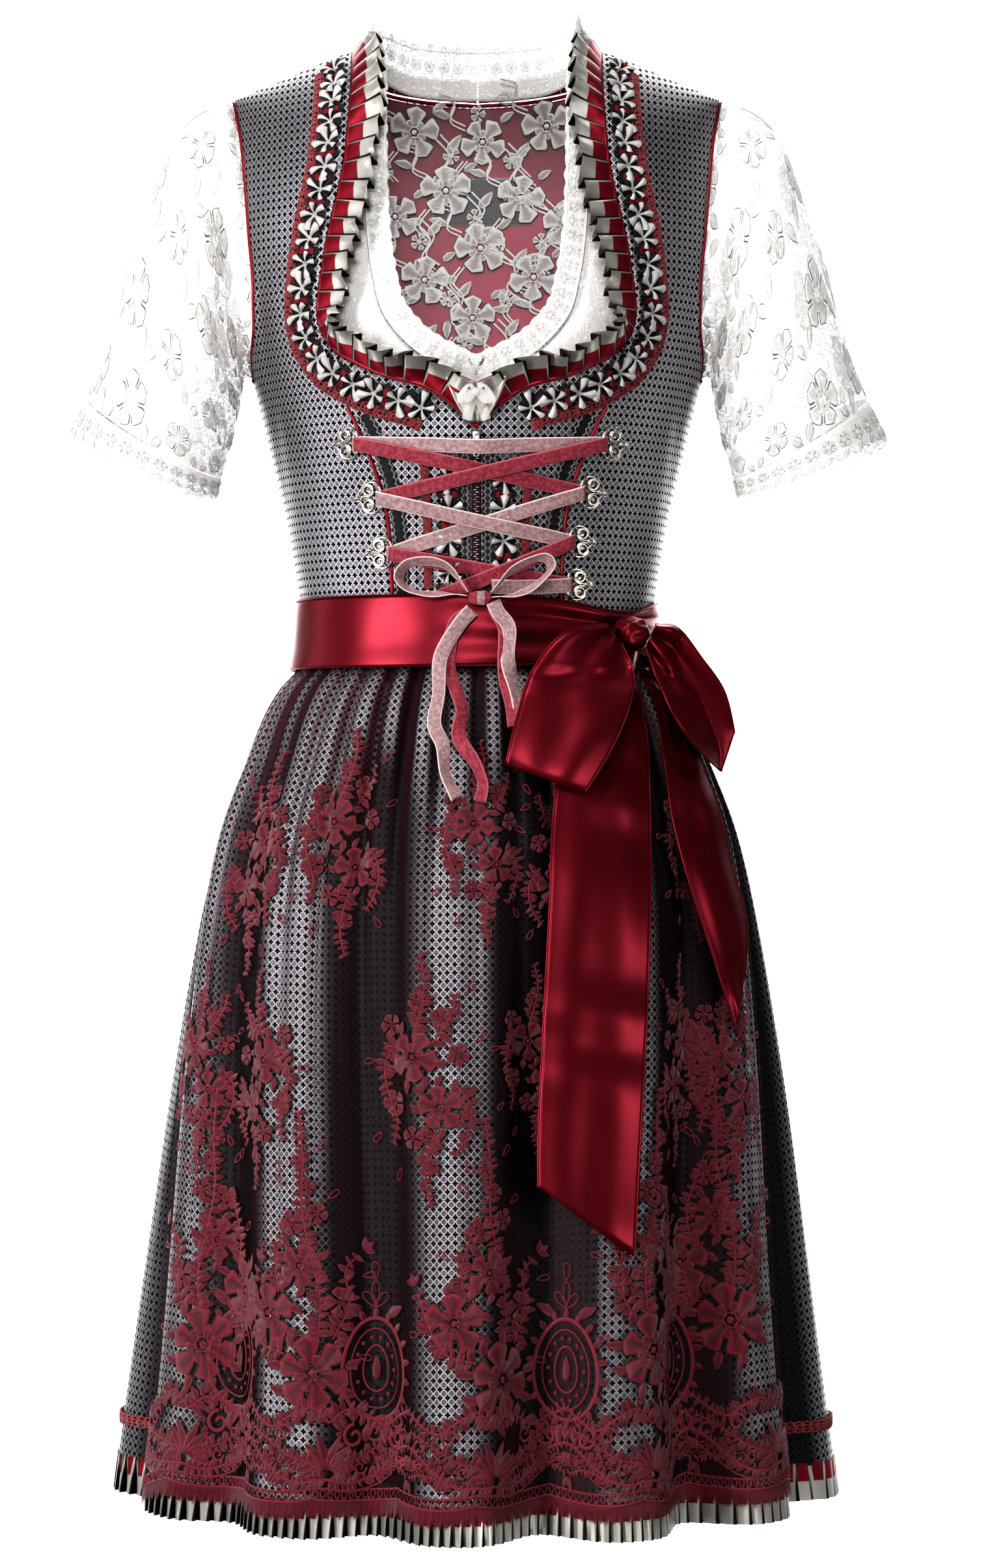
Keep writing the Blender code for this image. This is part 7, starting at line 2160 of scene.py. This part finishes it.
def make_sleeves(cloth, thread_white):
    around = 96
    phase = np.linspace(0, math.tau, around + 1)
    line = armhole_line(around)
    rows = [line.points + line.sides * inset - line.normals * SLEEVE_OUT
            for inset in (SEAM_GAP - BLOUSE_TUCK, SLEEVE_OUT)]
    for row in rows:
        apart = SLEEVE_TOP_HALF * np.minimum(1, np.abs(np.sin(phase[:-1])) * 4)
        row[:, 1] = np.where(np.sin(phase[:-1]) > 0, np.minimum(row[:, 1], -apart),
                             np.maximum(row[:, 1], apart))
    rows = [np.vstack((row, row[:1])) for row in rows]
    rows += [sleeve_ring(share, phase) for share in (0.0, 0.14, 0.30, 0.55, 0.78, 1.0)]
    flat = np.array(rows).reshape(len(rows), -1)
    grid = smooth_rows(flat, 9).reshape(-1, around + 1, 3)
    run = np.linspace(0, 1, len(grid))[:, None]
    centre = grid.mean(axis=1, keepdims=True)
    gathers = 1.1 * MM * np.sin(phase * 15 + 2 * run) * ease((0.55 - run) / 0.4) * ease(run / 0.12)
    drape = 1.6 * MM * noise(phase[None] * 2, run * 5, 3) * ease((run - 0.15) / 0.3)
    seam = ease(np.minimum(phase, math.tau - phase) / 0.3)[None]
    grid = grid + unit(grid - centre) * ((gathers + drape) * seam * ease((1 - run) / 0.08 + 0.2))[..., None]
    cuff_share = np.linspace(CUFF_START, CUFF_END, 16)[:, None] - 0.022 * (
        np.linspace(0, 1, 16)[:, None] ** 4) * (1 - np.abs(np.sin(phase[None] * 9)))
    cuff = sleeve_ring(cuff_share, phase[None], -CUFF_OUT)

    on_sleeve, on_cuff = GridCloth(grid), GridCloth(cuff)

    class SleeveStitches(Stitches):
        """Motifs in metres round and down the sleeve, from an anchor."""

        def anchor(self, angle, share, on=on_sleeve, long=SLEEVE_LONG):
            def place(a, b, off):
                a, b = np.broadcast_arrays(np.asarray(a, float), b)
                return on.at((angle + a / SLEEVE_RADIUS) / math.tau, share + b / long, off + STITCH_OFF)
            self.place = place
            return self

    s = SleeveStitches(None, 0.45)
    spots = [(0.4 + 0.78 * k + 0.39 * (j % 2), 0.17 + 0.19 * j) for j in range(5) for k in range(8)]
    for i, (angle, share) in enumerate(spots):
        s.anchor(angle, share).flower(0, 0, (13 if i % 3 else 16) * MM, 5, 0.7 * i)
        s.leaf(15 * MM, 6 * MM, 0.7, 13 * MM, 7 * MM, 0.3)
        s.leaf(-14 * MM, 8 * MM, 2.4, 13 * MM, 7 * MM, -0.3)
        s.curve([(u * MM, v * MM) for u, v in ((12, -8), (22, -14), (28, -6), (24, 4))], 1.3 * MM)
    rim = SleeveStitches(None, 0.5)
    for k in range(26):
        angle = math.tau * (k + 0.5) / 26
        rim.anchor(angle, 0.32, on_cuff, CUFF_LONG).flower(0, 0, 6.5 * MM, 5, 0.5 * k)
        rim.leaf(0, 8 * MM, 0.9, 11 * MM, 5 * MM)
        rim.leaf(0, 8 * MM, 2.25, 11 * MM, 5 * MM)
        rim.loop(0, 20 * MM, -1.57, 8 * MM, 6 * MM)
    for side, turned in (("right", 1.0), ("left", -1.0)):
        for part, points, thick, out, work, above in (
                ("sleeve", grid, 0.0, 0.22, s.pile, "lace_blouse_front"),
                ("cuff", cuff, 0.4 * MM, 0.235, rim.pile, "lace_sleeve_" + side)):
            piece, flowers = f"lace_{part}_{side}", f"lace_{part}_flowers_{side}"
            shape = flip(points) if turned < 0 else points
            sheet = surface(piece, shape, cloth, "lace", None, thick, about=(out * turned, 0, None))
            dress(sheet, f"{part}_{side}")
            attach(mirrored_pile(work, turned).build(flowers, thread_white, "lace"), "garment")
            cut(points)


LACE_FRONT = 18 * MM
COLLAR_HEIGHT = 40 * MM
COLLAR_LEAN = -0.12
COLLAR_TOP_Z = 0.036
LACE_SCALLOP = 11 * MM
LACE_WAVE = 17 * MM


def make_neck_lace(cloth, thread_white):
    """Scalloped edging: flat along the front opening, and a standing band behind the neck."""
    front, back = through(BLOUSE_NECK_FRONT, 120), through(BLOUSE_NECK_BACK, 50)[1:]
    x, z = np.concatenate((front[:, 0], back[:, 0])), np.concatenate((front[:, 1], back[:, 1]))
    first = len(front)
    side = np.where(np.arange(len(x)) < first, -1, 1)
    points = torso(turn(x, z), z, side, np.where(side < 0, BLOUSE_OUT + 1.3 * MM, BLOUSE_OUT - 1.6 * MM))
    line = Line(points, torso_normal(turn(x, z), z, side))
    behind = ease((np.arange(len(x)) - first + 20) / (len(back) * 0.62))[:, None]
    reach = mix(-line.sides * LACE_FRONT, np.array((0, COLLAR_LEAN, 1.0)) * COLLAR_HEIGHT, behind)
    for _ in range(4):
        reach[1:-1] = (reach[:-2] + 2 * reach[1:-1] + reach[2:]) / 4
    reach[:, 2] = np.minimum(reach[:, 2], COLLAR_TOP_Z - points[:, 2])
    reach[0, 0] = reach[-1, 0] = 0.0
    start = points - line.sides * 0.8 * MM
    start[0, 0] = start[-1, 0] = 0.0
    run = arc(start)
    scallops = 1 - 0.075 * (1 - np.abs(np.sin(run / LACE_SCALLOP * math.pi)))
    face = unit(np.cross(np.gradient(start, axis=0), reach))
    face = face * np.where(np.sum(face * line.normals, axis=-1, keepdims=True) < 0, -1.0, 1.0)
    face[0, 0] = face[-1, 0] = 0.0
    share = np.linspace(0, 1, 15)[None]
    wave = (0.9 * MM * np.sin(run / LACE_WAVE * math.tau))[:, None] * share ** 2
    reached = share * mix(1, scallops[:, None], share ** 6)
    half = start[:, None] + reach[:, None] * reached[..., None] + face[:, None] * wave[..., None]
    grid = np.concatenate((half, flip(half)[-2:0:-1], half[:1]))
    collar = surface("lace_edging", grid, cloth, "lace", None, 0.4 * MM, about=None)
    dress(collar, "blouse_neck_lace")

    def place(a, b, off):
        """Across is the distance along the edging and down is the share of its width."""
        a, b = np.broadcast_arrays(np.asarray(a, float), b)
        spot, out, lift = spread(a, run, start), spread(a, run, reach), unit(spread(a, run, face))
        width = np.linalg.norm(out, axis=-1)
        ripple = 0.9 * MM * np.sin(a / LACE_WAVE * math.tau) * (b / width) ** 2
        return spot + unit(out) * b[..., None] + lift * (ripple + off + 0.2 * MM)[..., None]

    s = Stitches(place, 0.6)
    for k in range(1, int(run[-1] / LACE_SCALLOP)):
        a = (k + 0.5) * LACE_SCALLOP
        width = float(np.linalg.norm(spread(a, run, reach)))
        s.flower(a, width * 0.58, 4.6 * MM, 5, 0.6 * k)
        s.loop(a, width * 0.96, -math.pi / 2, 5 * MM, 5 * MM)
        s.leaf(a - 3 * MM, width * 0.12, 1.1, width * 0.32, 3.6 * MM)
        s.leaf(a + 3 * MM, width * 0.12, 2.0, width * 0.32, 3.6 * MM)
        if width > 26 * MM:
            s.flower(a + LACE_SCALLOP / 2, width * 0.30, 4.2 * MM, 5, 0.3 * k)
    for share_here, width in ((0.04, 1.4), (0.86, 1.0)):
        a = np.linspace(0, run[-1], 260)
        wide = np.linalg.norm(spread(a, run, reach), axis=-1)
        s.cord(np.stack((a, wide * share_here), axis=-1), width * MM, 1.0)
    both = Pile()
    for pile in (s.pile, mirrored_pile(s.pile, -1.0)):
        both.take(pile)
    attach(both.build("lace_edging_flowers", thread_white, "lace"), "garment")
    cut(grid)


def make_everything():
    make_studio()
    silk = jacquard()
    make_bodice(silk)
    make_lining()
    make_skirt(silk)
    two_tone = ribbon_two_tone()
    make_hem_ribbon(two_tone)
    net, net_width = make_apron(apron_material())
    make_embroidery(thread("embroidery_thread", (0.066, 0.002, 0.008), (0.140, 0.005, 0.018), 0.5, 0.8 * MM,
                           (0.20, 0.009, 0.028)))
    make_fringe(thread("fringe_yarn", (0.11, 0.004, 0.014), (0.24, 0.011, 0.032)))
    red_satin = satin("satin_red", (0.145, 0.004, 0.013), (0.215, 0.007, 0.022), 0.36, metallic=0.68)
    make_band(red_satin)
    make_bow(red_satin)
    make_pipings(satin("piping_cord", (0.20, 0.006, 0.018), (0.30, 0.010, 0.028), 0.4, 0.6 * MM))
    yarn = thread("gimp_yarn", (0.26, 0.006, 0.016), (0.48, 0.016, 0.036))
    make_gimps(yarn)
    make_hem_gimp(yarn)
    silver, black, red = (0.62, 0.60, 0.58), (0.014, 0.013, 0.015), (0.26, 0.008, 0.022)
    patchwork = ribbon_by_tint("rosette_ribbon", (silver, black, red))
    make_rosettes(patchwork)
    make_wave_strips(ribbon_by_tint("strip_black", (black,)), thread("strip_silver", (0.22, 0.21, 0.22),
                                                                    (0.50, 0.48, 0.49)))
    make_neck_ruffle(two_tone)
    make_neck_tabs(two_tone, lace_sheet("sheer_bow", 0.6, (0.82, 0.79, 0.77), 0.45))
    bright = metal("zip_metal", (0.62, 0.60, 0.57), (0.30, 0.29, 0.28), 0.32)
    make_zip(bright, satin("zip_tape", (0.030, 0.006, 0.009), (0.045, 0.010, 0.013), 0.6))
    make_zip_pull(bright)
    make_hooks(metal("hook_wire", (0.95, 0.92, 0.85), (0.58, 0.55, 0.49), 0.28),
               metal("hook_beads", (0.86, 0.83, 0.76), (0.50, 0.47, 0.42), 0.18))
    double = ribbon_faces()
    make_lacing(double)
    make_lacing_bow(double)
    white = (0.90, 0.89, 0.875)
    make_blouse(lace_sheet("lace_net", 0.55, white, 0.05),
                lace_sheet("lace_dense", 0.9, white, 0.60, worked=95.0),
                lace_sheet("lace_edging", 0.9, white, 0.5, worked=110.0),
                thread("lace_thread", (0.78, 0.77, 0.75), (0.90, 0.89, 0.87), 0.6, 0.7 * MM,
                       (0.95, 0.94, 0.92), 0.6))


make_everything()
